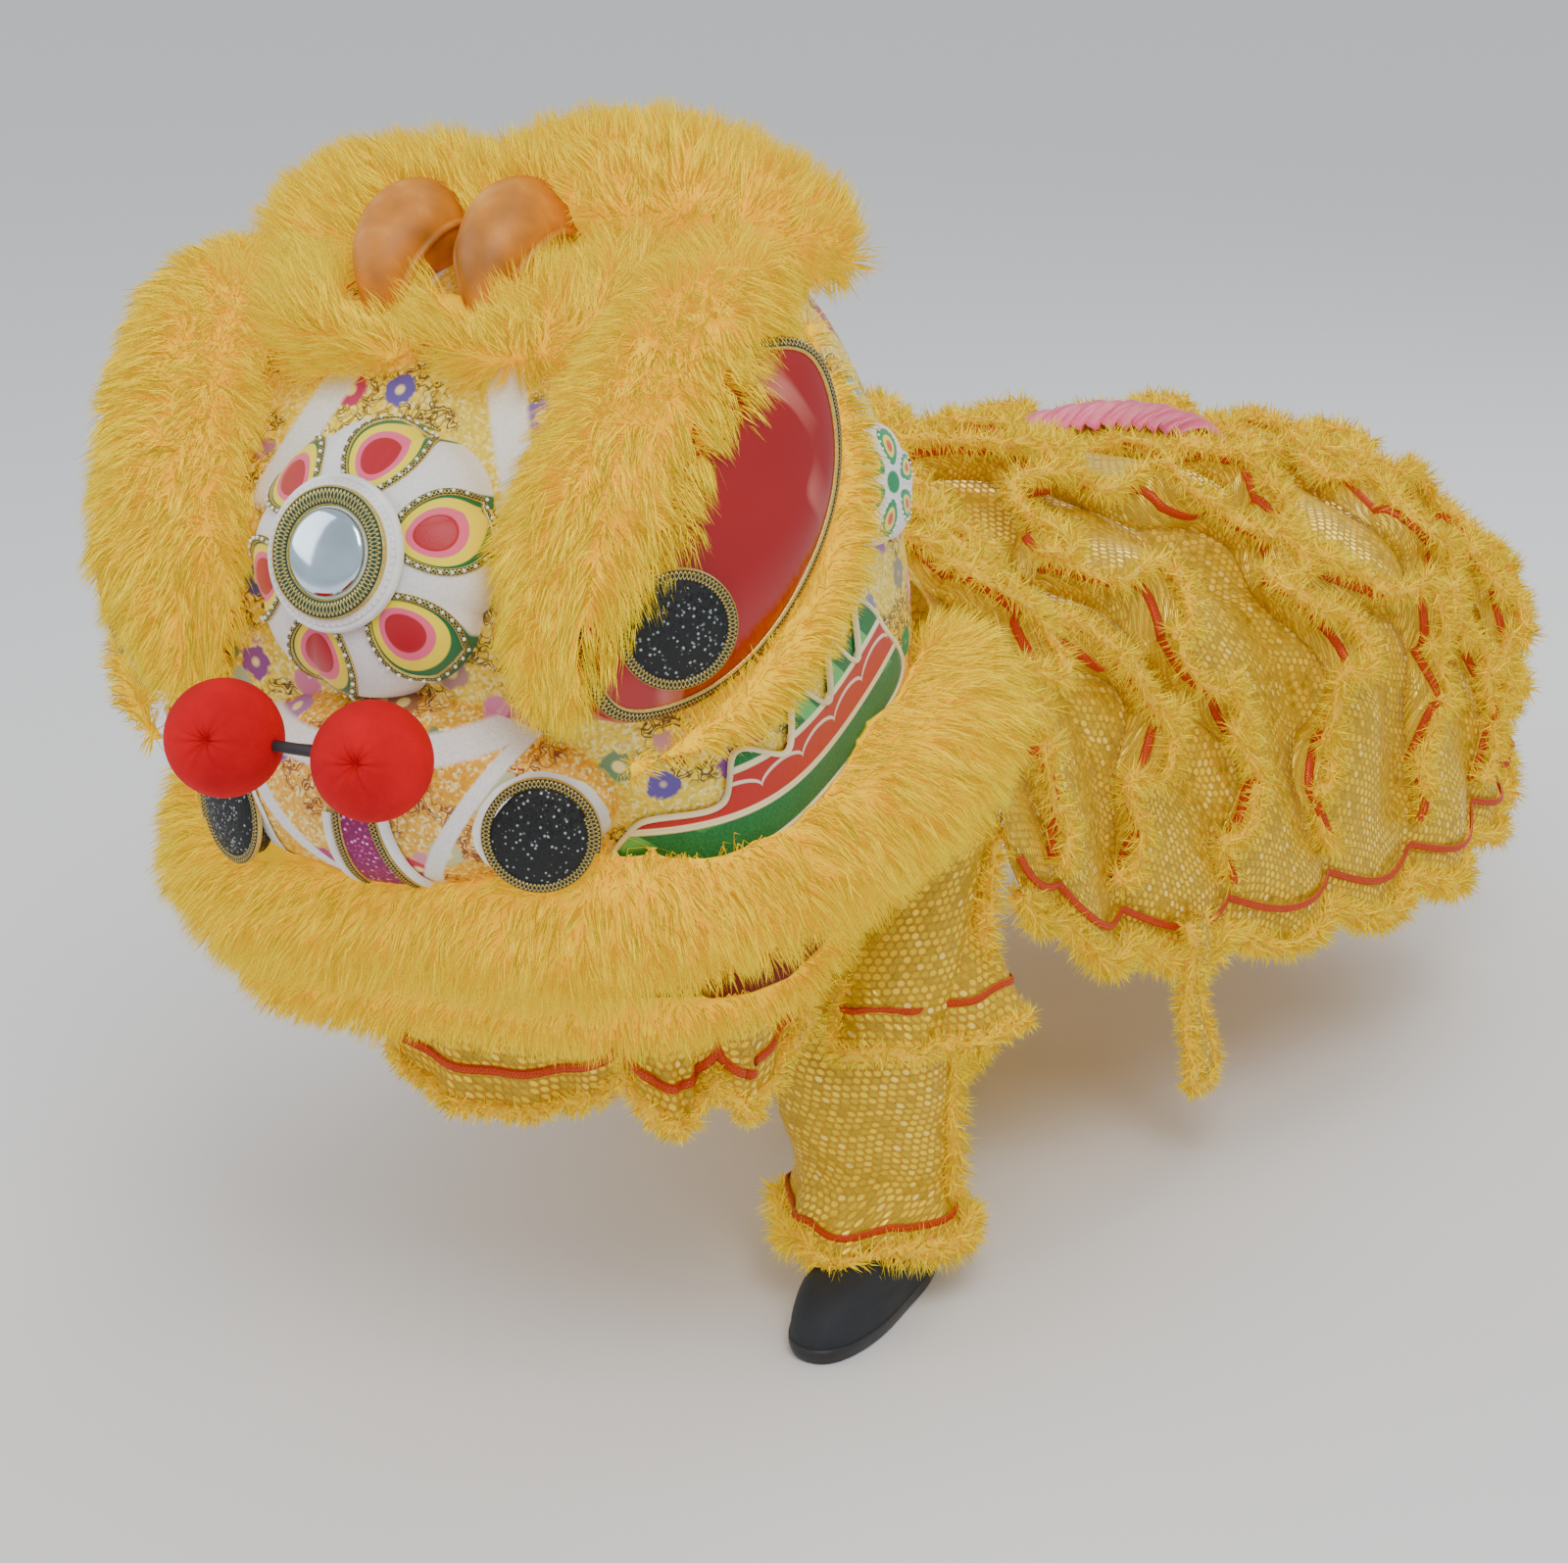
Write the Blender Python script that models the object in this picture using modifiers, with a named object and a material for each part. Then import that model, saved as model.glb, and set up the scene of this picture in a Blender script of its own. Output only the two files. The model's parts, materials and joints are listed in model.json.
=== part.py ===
"""A lion dance costume as it is worn: the fur-trimmed head with its hinged lower jaw, the cloth body with its
plush ruffles, the trousers of the front legs and a pair of shoes. The lion looks along -Y, its left is +X, and the
origin is the middle of the head, where it is held up."""

import math

import bmesh
import bpy
import numpy as np
from mathutils import Matrix, Vector

# Driving sizes in metres.
GAP = 0.0003  # between pieces that touch
FLOOR = -0.77  # height of the floor, on which the shoes stand
HEAD_ROLL = math.radians(5.0)  # the head leans with its left side up

HEAD_WIDTH = 0.64  # of the shell, without fur
HEAD_HEIGHT = 0.565  # of the shell, from its rim to its top
HEAD_RIM = -0.215  # height of the shell's open rim
HEAD_FACE = 0.345  # from the origin forward to the shell's face
HEAD_NAPE = 0.17  # from the origin back to the shell's nape
SHELL_WALL = 0.003
SHELL_SIDES = 20
NAPE_OPENING_WIDTH = 0.50
NAPE_OPENING_TOP = 0.15  # height of the top of the opening in the nape
NAPE_OPENING_FRONT = 0.02  # where the opening's front edge starts, behind the origin

BROW_RADIUS = 0.078
LIP_RADIUS = 0.086
CROWN_RADIUS = 0.066
CROWN_LEAN = 0.09  # how far the crown rises to the left, for each metre across
COLLAR_RADIUS = 0.042
EYE_FUR_RADIUS = 0.030
JAW_FUR_RADIUS = 0.036
LOCK_LENGTH = 0.12  # of a lock of the fur
LOCK_LIFT = 0.13  # how far a lock's tip stands out, as a share of the roll's radius
LOCK_SLANT = 0.15  # how far a lock's tip reaches ahead, as a share of its length
ROLL_END = 0.22  # how blunt a roll's end is
ROLL_SWELL = 0.6  # how fast a roll reaches its full size from its end

BOSS_RADIUS = 0.118
BOSS_HEIGHT = 0.064
BOSS_TILT = math.radians(18.0)  # how far the boss looks up
DISC_RADIUS = 0.062
DISC_HEIGHT = 0.010
MIRROR_RADIUS = 0.037
MIRROR_HEIGHT = 0.009

NOSE_WIDTH = 0.40
NOSE_HEIGHT = 0.185
NOSE_DEPTH = 0.10
NOSTRIL_RADIUS = 0.043
NOSTRIL_HEIGHT = 0.011
STRIP_WIDTH = 0.05
STRIP_HEIGHT = 0.07
STRIP_TAPER = 0.7  # width of the strip's top as a share of its foot's

POMPOM_RADIUS = 0.050
POMPOM_SPREAD = 0.145  # between the two pompoms' middles
BAR_RADIUS = 0.005
DIMPLE_EDGE = 0.8  # where a pompom's dimple starts, and how deep it is, as shares of the radius
DIMPLE_DEPTH = 0.14

EYE_LENGTH = 0.36
EYE_WIDTH = 0.20
EYE_BULGE = 0.045
PUPIL_RADIUS = 0.046
PUPIL_BULGE = 0.012
PUPIL_PLACE = (0.02, -0.25, 0.72)  # on the eye, as shares of its width, length and bulge
PUPIL_TILT = math.radians(16.0)

HORN_RADIUS = 0.044
HORN_SPACING = 0.026  # between the rings of the horn's form

TEMPLE_RADIUS = 0.055
TEMPLE_HEIGHT = 0.02
CHEEK_LENGTH = 0.30
CHEEK_HEIGHT = 0.13
CHEEK_RELIEF = 0.006
SATIN_WIDTH = 0.20
SATIN_HEIGHT = 0.07

JAW_HINGE_BACK = 0.06  # how far behind the origin the jaw's hinge lies
JAW_HINGE_HEIGHT = -0.190
JAW_DROP = 0.105  # from the hinge down to the tray
JAW_BAND = 0.10  # width of the tray at the chin
JAW_ARM = 0.030  # height of the tray and of its arms
JAW_ARM_WIDTH = 0.012
JAW_TAPER = 3  # how late the tray narrows to its arms
JAW_SLOPE = 1.3  # how soon the arms come down to the tray
JAW_MIDDLE = 0.06  # how far before the origin the tray's middle lies
JAW_CLEARANCE = 0.003  # round the moving jaw
PIN_RADIUS = 0.005
PIN_CLEARANCE = 0.0006
APRON_DROP = 0.150
APRON_WALL = 0.002
APRON_WAVE = 0.012
APRON_LOBES = 3
APRON_SCALLOP = 0.34  # how much shorter the apron is between its lobes, as a share of its drop
APRON_SPAN = (0.44, 0.80)  # from and to along the tray's edge, from the right hinge to the left one

CLOTH_WALL = 0.002
BODY_START = 0.10  # how far behind the origin the body cloth starts
BODY_LENGTH = 1.40  # from the nape to the rump
BODY_WIDTH = 0.90  # across the hems at the rump
BODY_HEIGHT = 0.56  # from the lowest hem to the line of the origin
BODY_BEND = 0.18  # how far the rump swings to the left
PANELS_PER_ROW = 2  # cloth panels along the body for each row of ruffles
BODY_SIDES = 12  # cloth panels across it
PUFF = 0.022  # how far the cloth puffs out between two ruffles
HEM_WAVE = 0.030  # depth of the hem's scallops
NECK_SHARE = 1.40625  # the body cloth's full width at the nape, as a share of the head's
GATHERS = 14.0  # how closely the cloth is gathered across it
GATHER_DEPTH = 0.45  # as a share of the puffs
GATHER_SHIFT = (2.4, 1.5)  # how the gathers wander from row to row: how often, and how far
CALM_NAPE = 6.0  # how soon behind the nape the puffs reach their full depth
HEM_LAG = 1.4  # how late across the cloth its edge falls behind the spine
RUFFLE_ROWS = 8  # evenly spaced from the nape to the rump
RUFFLE_HEIGHT = 0.058
RUFFLE_SWING = 0.034  # how far a ruffle winds to each side of its row
RUFFLE_WALL = 0.003
RUFFLE_SEAT = 0.002  # from a ruffle's middle line to the crease that it is sewn into
RUFFLE_WAVES = 6
RUFFLE_FLOP = 0.45  # how far a ruffle flops over, as a share of its height
RUFFLE_RISE = 0.72  # how high it then stands, as a share of its height
RUFFLE_SHIFT = 1.3  # how the waves move on from row to row
UNDER_DEPTH = 0.0232  # how far below the cloth a piece that lies on it is cut off
SATIN_PATCH = (0.585, 0.655, -0.14, 0.12)  # from and to along the body, from and to across it
SATIN_PATCH_RISE = 0.014
SATIN_RIB = 0.006
STRIP_ALONG = 0.27  # where the hanging strip is along the body and across it
STRIP_ACROSS = 0.98
STRIP_OFF = 0.008  # how far it stands off the cloth
STRIP_TUCK = 0.04  # how far above the hem it starts
STRIP_SWAY = 0.03  # how far back its end hangs
STRIP_DROP = 0.20
STRIP_BREADTH = 0.04

FOOT_SIDE = 0.250  # the left ankle's place
FOOT_BACK = 0.175
LEG_HEM_WIDTH = 0.18
LEG_DEPTH = 0.92  # depth of a leg as a share of its width
KNEE_BOW = 0.075  # how far the knee stands forward of the line from hip to foot
WAIST_SIDE = 0.11
WAIST_BACK = 0.36
WAIST_HEIGHT = -0.10
WAIST_WIDTH = 0.36
WAIST_DEPTH = 0.26
HIP_SIDE = 0.0792  # from the waist's middle to each leg's
# The trousers' seat from its crotch to its waistband: height over the waist's middle, and size.
SEAT_CROTCH = (-0.16, 0.92)
SEAT_HIPS = (-0.05, 1.0)
SEAT_BAND = (0.16, 1.0)
TROUSER_WALL = 0.002
HEM_OFFSET = 0.018  # how far the left hem hangs to the right of its shoe
HEM_HEIGHT = 0.082  # of the trouser legs' hems over the floor
STRIDE = 0.42  # how far the right foot stands behind the left one
STRIDE_TURN = math.radians(22.5)  # how far the stride turns to the right of straight back
FLAP_TOP = -0.36
FLAP_DROP = 0.10
FLAP_PANELS = 15
FLAP_START = math.radians(-85.0)  # where the flap starts round the leg, and how far round it goes
FLAP_TURN = math.radians(200.0)
FLAP_WAVE = 0.06  # depth of its hem's folds as a share of its reach
FLAP_BOW = 0.8  # how much of the knee's bow the flap takes
FLAP_REACH = (0.55, 0.66, 0.76)  # the flap's reach at its top, middle and hem, as shares of the leg's width

SHOE_LENGTH = 0.262
SHOE_WIDTH = 0.094
SHOE_HEIGHT = 0.10
SHOE_WALL = 0.004
SHOE_SIDES = 12
SOLE = 0.014
HEEL_SHARE = 0.26  # of the shoe's length that lies behind the ankle

# Places on the head, as shares of its half width (to its left), of its face (forward) and of its height (up).
BOSS_PLACE = (0.00, 0.94, 0.170)
EYE_PLACE = (0.86, 0.72, 0.20)
EYE_OUTWARD = (0.80, -0.56, 0.16)
EYE_LONG_WAY = (0.15, 0.69, 0.71)
NOSE_PLACE = (0.00, 0.87, -0.185)
NOSTRIL_PLACE = (0.49, 1.05, -0.225)
NOSTRIL_OUTWARD = (0.42, -0.90, 0.05)
STRIP_PLACE = (0.00, 1.145, -0.262)
STRIP_OUTWARD = (0, -0.95, -0.30)
POMPOM_PLACE = (0.00, 1.36, -0.050)
POMPOM_LEAN = math.radians(4.0)  # how far their bar leans down to the left
POMPOM_OUTWARD = (0.25, -0.93, 0.25)
STEM_FOOT = (0.00, 1.00, -0.130)
CHEEK_PLACE = (1.00, 0.56, -0.14)
CHEEK_OUTWARD = (0.86, -0.50, 0.05)
CHEEK_UP = (0, -0.34, 0.94)
TEMPLE_PLACE = (1.00, 0.04, 0.17)
TEMPLE_OUTWARD = (0.98, -0.10, 0.14)
SATIN_PLACE = (0.34, -0.20, 0.56)
SATIN_OUTWARD = (0.1, 0.25, 0.96)

# The cheek panel's outline in shares of its length (backwards) and height (up): flames along its upper side.
CHEEK_OUTLINE = (
    (-0.50, -0.50), (0.50, -0.50), (0.50, 0.10), (0.40, 0.42), (0.34, 0.05), (0.22, 0.36), (0.16, 0.00),
    (0.02, 0.30), (-0.06, -0.05), (-0.22, 0.20), (-0.30, -0.12), (-0.50, -0.06),
)  # fmt: skip

# The shell's plan sections from its rim to its top: height, width, reach to the face and to the nape as shares
# of the head's sizes, and how square the section is.
SHELL_SECTIONS = (
    # height, width, face, nape, squareness
    (0.00, 0.93, 0.82, 0.94, 4.0),
    (0.17, 0.97, 0.90, 0.98, 4.0),
    (0.34, 1.00, 0.97, 1.00, 3.8),
    (0.52, 0.98, 0.94, 1.00, 3.4),
    (0.68, 0.91, 0.80, 0.98, 3.0),
    (0.82, 0.77, 0.60, 0.92, 2.6),
    (0.92, 0.56, 0.38, 0.75, 2.3),
    (0.98, 0.30, 0.17, 0.45, 2.0),
)

# Middle lines of the fur rolls in shares of the head's half width (to its left), of its face (forward) and of its
# height (over the origin), with the roll's radius as a share of its own.
LIP_LINE = (
    # left, forward, up, radius
    (0.00, 0.84, -0.390, 0.90),
    (0.33, 0.86, -0.395, 0.96),
    (0.61, 0.78, -0.385, 1.00),
    (0.81, 0.56, -0.365, 1.02),
    (0.94, 0.18, -0.325, 1.05),
    (0.99, -0.26, -0.255, 1.08),
    (0.98, -0.53, -0.180, 0.92),
)
BROW_LINE = (
    (0.80, 0.14, 0.545, 0.72),
    (0.78, 0.46, 0.465, 0.95),
    (0.70, 0.77, 0.300, 1.02),
    (0.62, 0.96, 0.120, 1.00),
    (0.58, 1.06, -0.025, 0.86),
)
CROWN_LINE = (
    (0.00, 0.20, 0.600, 0.85),
    (0.28, 0.20, 0.630, 1.00),
    (0.56, 0.16, 0.595, 1.05),
    (0.78, 0.02, 0.525, 1.00),
    (0.90, -0.16, 0.450, 0.85),
)
COLLAR_LINE = (
    (0.00, 0.50, 0.470, 0.85),
    (0.22, 0.58, 0.450, 1.00),
    (0.44, 0.50, 0.480, 1.00),
    (0.52, 0.32, 0.560, 0.90),
)
EYE_FUR_LINE = (
    (0.90, 0.20, 0.460, 0.80),
    (1.01, 0.24, 0.320, 1.00),
    (1.06, 0.36, 0.150, 1.10),
    (1.04, 0.62, 0.010, 1.10),
    (0.94, 0.86, -0.075, 1.05),
    (0.76, 1.01, -0.120, 0.85),
)
HORN_LINE = (
    (0.165, 0.18, 0.550, 1.00),
    (0.165, 0.36, 0.605, 1.00),
    (0.165, 0.50, 0.580, 0.78),
    (0.165, 0.56, 0.520, 0.42),
    (0.165, 0.555, 0.460, 0.08),
)
JAW_FUR_LINE = (
    (0.00, 0.79, -0.560, 1.00),
    (0.38, 0.81, -0.560, 1.00),
    (0.67, 0.72, -0.555, 1.00),
    (0.82, 0.46, -0.545, 0.95),
    (0.86, 0.10, -0.525, 0.80),
)

# Sections across the body cloth from the nape to the rump. Places along it are shares of its length, and the
# spine's swing, the width and the heights are shares of the bend, the width and the height.
BODY_SECTIONS = (
    # hem place, spine place, swing, width, spine height, hem height, how full the arch is
    (0.11, 0.000, 0.00, 0.76, 0.28, -0.60, 2.2),
    (0.15, 0.060, 0.00, 0.79, 0.09, -0.70, 2.2),
    (0.21, 0.140, 0.04, 0.83, -0.03, -0.81, 2.2),
    (0.30, 0.250, 0.12, 0.87, -0.10, -0.88, 2.2),
    (0.39, 0.370, 0.24, 0.92, -0.12, -0.92, 2.2),
    (0.49, 0.490, 0.41, 0.97, -0.14, -0.95, 2.2),
    (0.58, 0.610, 0.60, 0.99, -0.17, -0.97, 2.2),
    (0.68, 0.730, 0.77, 0.96, -0.20, -0.97, 2.2),
    (0.76, 0.840, 0.89, 0.92, -0.27, -0.95, 2.3),
    (0.81, 0.930, 0.97, 0.88, -0.38, -0.92, 2.4),
    (0.84, 0.980, 1.00, 0.84, -0.58, -0.88, 2.5),
    (0.85, 1.000, 1.01, 0.82, -0.82, -0.86, 2.5),
)

# A trouser leg from the hip down: the height as a share of the way from the hem to the hip, how much of the knee's
# bow it takes, its width as a share of the hem's, and how deep its pleats are.
LEG_SECTIONS = (
    # height, bow, width, pleats
    (1.00, 0.00, 1.10, 0.00),
    (0.78, 0.40, 1.22, 0.02),
    (0.52, 0.95, 1.30, 0.04),
    (0.34, 1.00, 1.18, 0.05),
    (0.18, 0.60, 0.98, 0.06),
    (0.07, 0.20, 0.86, 0.05),
    (0.00, 0.00, 1.02, 0.10),
)

# The shoe's plan sections over the floor: height as a share, how far the toe has drawn back, and the width.
SHOE_SECTIONS = (
    # height, toe draws back, width
    (0.00, 0.02, 0.94),
    (0.14, 0.00, 1.00),
    (0.38, 0.03, 0.99),
    (0.58, 0.12, 0.92),
    (0.76, 0.32, 0.82),
    (1.00, 0.44, 0.74),
)


def clear_scene():
    for obj in list(bpy.data.objects):
        bpy.data.objects.remove(obj)


def new_collection(name):
    collection = bpy.data.collections.new(name)
    bpy.context.scene.collection.children.link(collection)
    return collection


def material(name, color, roughness, metallic=0.0):
    """A plain Principled material of this colour."""
    made = bpy.data.materials.get(name) or bpy.data.materials.new(name)
    made.use_nodes = True
    surface = made.node_tree.nodes["Principled BSDF"]
    surface.inputs["Base Color"].default_value = (*color, 1.0)
    surface.inputs["Roughness"].default_value = roughness
    surface.inputs["Metallic"].default_value = metallic
    made.diffuse_color = (*color, 1.0)
    return made


def place(name, mesh, collection, look=None, parent=None):
    """An object of this mesh in the collection, carried by the parent."""
    obj = bpy.data.objects.new(name, mesh)
    collection.objects.link(obj)
    obj.parent = parent
    if look is not None:
        mesh.materials.append(look)
    mesh.shade_smooth()
    return obj


def mesh_of(points, faces, closed=True):
    """A mesh of these faces, in triangles so that a piece and its cutter bend along the same edges."""
    mesh = bpy.data.meshes.new("shape")
    mesh.from_pydata([tuple(point) for point in points], [], faces)
    work = bmesh.new()
    work.from_mesh(mesh)
    if closed:
        bmesh.ops.recalc_face_normals(work, faces=work.faces)
    bmesh.ops.triangulate(work, faces=work.faces)
    work.to_mesh(mesh)
    work.free()
    return mesh


def loft(rings, start=True, end=True):
    """A mesh through closed rings of points, with a flat cap at either end."""
    rings = np.asarray(rings)
    count, sides = rings.shape[:2]
    faces = []
    for ring in range(count - 1):
        for side in range(sides):
            following = (side + 1) % sides
            low, high = ring * sides, (ring + 1) * sides
            faces.append((low + side, low + following, high + following, high + side))
    if start:
        faces.append(tuple(range(sides)))
    if end:
        faces.append(tuple(range((count - 1) * sides, count * sides)))
    return mesh_of(rings.reshape(-1, 3), faces)


def sheet(grid):
    """An open surface through a grid of points."""
    grid = np.asarray(grid)
    rows, columns = grid.shape[:2]
    faces = []
    for row in range(rows - 1):
        for column in range(columns - 1):
            first = row * columns + column
            faces.append((first, first + 1, first + columns + 1, first + columns))
    return mesh_of(grid.reshape(-1, 3), faces, closed=False)


def thicken(obj, wall, offset):
    """Gives an open surface a wall, inwards with an offset of -1 and outwards with 1."""
    modifier = obj.modifiers.new("Wall", "SOLIDIFY")
    modifier.thickness = wall
    modifier.offset = offset


def grow(obj, distance):
    modifier = obj.modifiers.new("Grow", "DISPLACE")
    modifier.mid_level = 0.0
    modifier.strength = distance


def carve(obj, *cutters, operation="DIFFERENCE"):
    for cutter in cutters:
        modifier = obj.modifiers.new("Carve", "BOOLEAN")
        modifier.operation = operation
        modifier.object = cutter


def cutter_of(mesh, parent=None, distance=GAP):
    """A hidden copy of a mesh, grown by a distance, for carving what lies against it."""
    obj = place("cutter", mesh.copy(), cutters, None, parent)
    obj.hide_render = True
    obj.display_type = "WIRE"
    if distance:
        grow(obj, distance)
    return obj


def mirrored(mesh):
    """A copy of a mesh on the other side of the head."""
    copy = mesh.copy()
    copy.materials.clear()
    copy.transform(Matrix.Scale(-1, 4, (1, 0, 0)))
    copy.flip_normals()
    return copy


def pair(name, mesh, look, parent):
    """The left and right objects of a piece that is modelled on the left."""
    left = place(name + "_left", mesh, parts, look, parent)
    right = place(name + "_right", mirrored(mesh), parts, look, parent)
    return left, right


def shares_to_head(line):
    """Points and radii of a fur roll's middle line, from its shares of the head's sizes."""
    table = np.array(line)
    scale = np.array([HEAD_WIDTH / 2, -HEAD_FACE, HEAD_HEIGHT])
    return table[:, :3] * scale, table[:, 3]


def across(points, radii, lean=0.0):
    """A line that starts at the middle of the face, continued on the right side, and raised on the left."""
    right = points[:0:-1] * (-1, 1, 1)
    whole = np.concatenate([right, points])
    whole[:, 2] += whole[:, 0] * lean
    return whole, np.concatenate([radii[:0:-1], radii])


def bent(before, start, stop, after, share):
    """A value on the smooth curve from start to stop, which also heeds the values before and after them."""
    bend = 2 * before - 5 * start + 4 * stop - after
    twist = 3 * start - before - 3 * stop + after
    return start + 0.5 * share * (stop - before + share * (bend + share * twist))


def smooth_line(points, values, spacing):
    """Evenly spaced points, and the values there, along a smooth curve through a few chosen points."""
    rows = np.column_stack([points, values])
    ends = np.vstack([2 * rows[0] - rows[1], rows, 2 * rows[-1] - rows[-2]])
    fine = []
    for before, start, stop, after in zip(ends, ends[1:], ends[2:], ends[3:]):
        for share in np.linspace(0, 1, 16, endpoint=False):
            fine.append(bent(before, start, stop, after, share))
    fine = np.array(fine + [rows[-1]])
    steps = np.linalg.norm(np.diff(fine[:, :3], axis=0), axis=1)
    along = np.concatenate([[0], np.cumsum(steps)])
    count = max(4, int(round(along[-1] / spacing)) + 1)
    places = np.linspace(0, along[-1], count)
    even = np.column_stack([np.interp(places, along, fine[:, k]) for k in range(rows.shape[1])])
    return even[:, :3], even[:, 3]


def frames_along(points, up):
    """Unit vectors along the line, and two across it that turn as little as they can."""
    along = np.gradient(points, axis=0)
    along /= np.linalg.norm(along, axis=1)[:, None]
    side = np.zeros_like(points)
    last = np.cross(along[0], up)
    for index, direction in enumerate(along):
        last = last - direction * (last @ direction)
        last /= np.linalg.norm(last)
        side[index] = last
    return along, side, np.cross(side, along)


def fur_roll(points, radii, radius, sides=8):
    """A roll of fur along a line: locks that lap over each other like tiles and end in points."""
    rings_per_lock = 2
    points, radii = smooth_line(points, radii, LOCK_LENGTH / rings_per_lock)
    along, side, over = frames_along(points, (0.0, 0.0, 1.0))
    count = len(points)
    rings = []
    for index in range(count):
        # The ends are rounded off.
        left = min(index, count - 1 - index) / rings_per_lock
        size = radius * radii[index] * math.sin(min(1.0, ROLL_END + ROLL_SWELL * left) * math.pi / 2)
        ring = []
        for corner in range(sides):
            angle = 2 * math.pi * corner / sides
            step = (index + corner) % rings_per_lock / (rings_per_lock - 1)
            reach = size * (1 + LOCK_LIFT * (step - 0.5))
            outward = side[index] * math.cos(angle) + over[index] * math.sin(angle)
            ring.append(points[index] + outward * reach + along[index] * LOCK_LENGTH * LOCK_SLANT * step)
        rings.append(ring)
    return loft(rings)


def round_bar(points, radii, sides=8):
    """A round bar through a few points, with its radius at each."""
    points = np.array([tuple(point) for point in points], dtype=float)
    _, side, over = frames_along(points, (0.1, 0.3, 1.0))
    rings = []
    for index, point in enumerate(points):
        turns = [2 * math.pi * corner / sides for corner in range(sides)]
        rings.append(
            [point + radii[index] * (side[index] * math.cos(turn) + over[index] * math.sin(turn)) for turn in turns]
        )
    return loft(rings)


def ball_mesh(radius, segments, rings):
    work = bmesh.new()
    bmesh.ops.create_uvsphere(work, u_segments=segments, v_segments=rings, radius=radius)
    mesh = bpy.data.meshes.new("ball")
    work.to_mesh(mesh)
    work.free()
    return mesh


def superellipse(angle, power):
    """A point on a rounded square of half width 1."""
    across_x, across_y = math.cos(angle), math.sin(angle)
    return (
        math.copysign(abs(across_x) ** (2 / power), across_x),
        math.copysign(abs(across_y) ** (2 / power), across_y),
    )


def shell_rings(extend=0.0):
    """The shell's plan sections, with the lowest one carried down by a length."""
    rings = []
    for height, width, face, nape, power in SHELL_SECTIONS:
        front, back = -HEAD_FACE * face, HEAD_NAPE * nape
        middle, reach = (front + back) / 2, (back - front) / 2
        level = HEAD_RIM + HEAD_HEIGHT * height
        ring = []
        for step in range(SHELL_SIDES):
            across_x, across_y = superellipse(2 * math.pi * (step + 0.5) / SHELL_SIDES, power)
            ring.append((HEAD_WIDTH / 2 * width * across_x, middle + reach * across_y, level))
        rings.append(ring)
    if extend:
        rings.insert(0, [(x, y, z - extend) for x, y, z in rings[0]])
    return rings


def circle(radius, sides=24):
    turns = [2 * math.pi * step / sides for step in range(sides)]
    return [(radius * math.cos(turn), radius * math.sin(turn)) for turn in turns]


def almond(length, width, sides=16):
    """A leaf outline with its points on the local Y axis."""
    outline = []
    for step in range(sides):
        turn = 2 * math.pi * step / sides
        tall = math.sin(turn)
        outline.append((width / 2 * math.cos(turn) * (1 - 0.25 * tall**4), length / 2 * tall))
    return outline


def flower(radius, petals, depth, sides=40):
    """A ring of round petals."""
    outline = []
    for step in range(sides):
        turn = 2 * math.pi * step / sides
        reach = radius * (1 - depth + depth * abs(math.cos(petals * turn / 2)) ** 0.6)
        outline.append((reach * math.cos(turn), reach * math.sin(turn)))
    return outline


def dome_levels(height, rings):
    """How far in and how high each ring of a dome is, from its rim to its flat top."""
    turns = [math.pi / 2 * step / rings for step in range(rings)]
    return [(math.cos(turn), height * math.sin(turn)) for turn in turns] + [(0.12, height)]


def dome(outline, height, back, rings=4):
    """A bulged solid on this outline, facing local +Z, whose straight sides reach back."""
    outline = np.array(outline)
    levels = dome_levels(height, rings)
    if back:
        levels.insert(0, (1.0, -back))
    rows = [np.column_stack([outline * size, np.full(len(outline), level)]) for size, level in levels]
    return loft(rows)


def facing(location, outward, upward):
    """The matrix that stands local +Z outwards at a place, with local +Y as near upwards as it can be."""
    normal = Vector(outward).normalized()
    up = Vector(upward)
    up = (up - normal * up.dot(normal)).normalized()
    return Matrix.LocRotScale(
        Vector(location), Matrix((up.cross(normal), up, normal)).transposed().to_quaternion(), None
    )


def posed(mesh, matrix):
    mesh.transform(matrix)
    return mesh


def head_point(left, forward, up):
    return Vector((HEAD_WIDTH / 2 * left, -HEAD_FACE * forward, HEAD_HEIGHT * up))


def make_shell(head):
    """The hollow shell, open below and at the nape, and the solid that everything on it is carved with."""
    rings = shell_rings()
    shell = place("head_shell", loft(rings, start=False), parts, PRINT, head)
    thicken(shell, SHELL_WALL, -1)
    reach = HEAD_NAPE * 2
    bottom = HEAD_RIM - reach
    bpy.ops.mesh.primitive_cube_add(size=1)
    opening = bpy.context.object
    opening.name = "nape_opening"
    opening.data.transform(
        Matrix.Translation((0, NAPE_OPENING_FRONT + reach / 2, (NAPE_OPENING_TOP + bottom) / 2))
        @ Matrix.Diagonal((NAPE_OPENING_WIDTH, reach, NAPE_OPENING_TOP - bottom, 1))
    )
    for holder in list(opening.users_collection):
        holder.objects.unlink(opening)
    cutters.objects.link(opening)
    opening.parent = head
    opening.hide_render = True
    opening.display_type = "WIRE"
    carve(shell, opening)
    block = cutter_of(loft(shell_rings(extend=LIP_RADIUS * 1.6)), head)
    return shell, block


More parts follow.
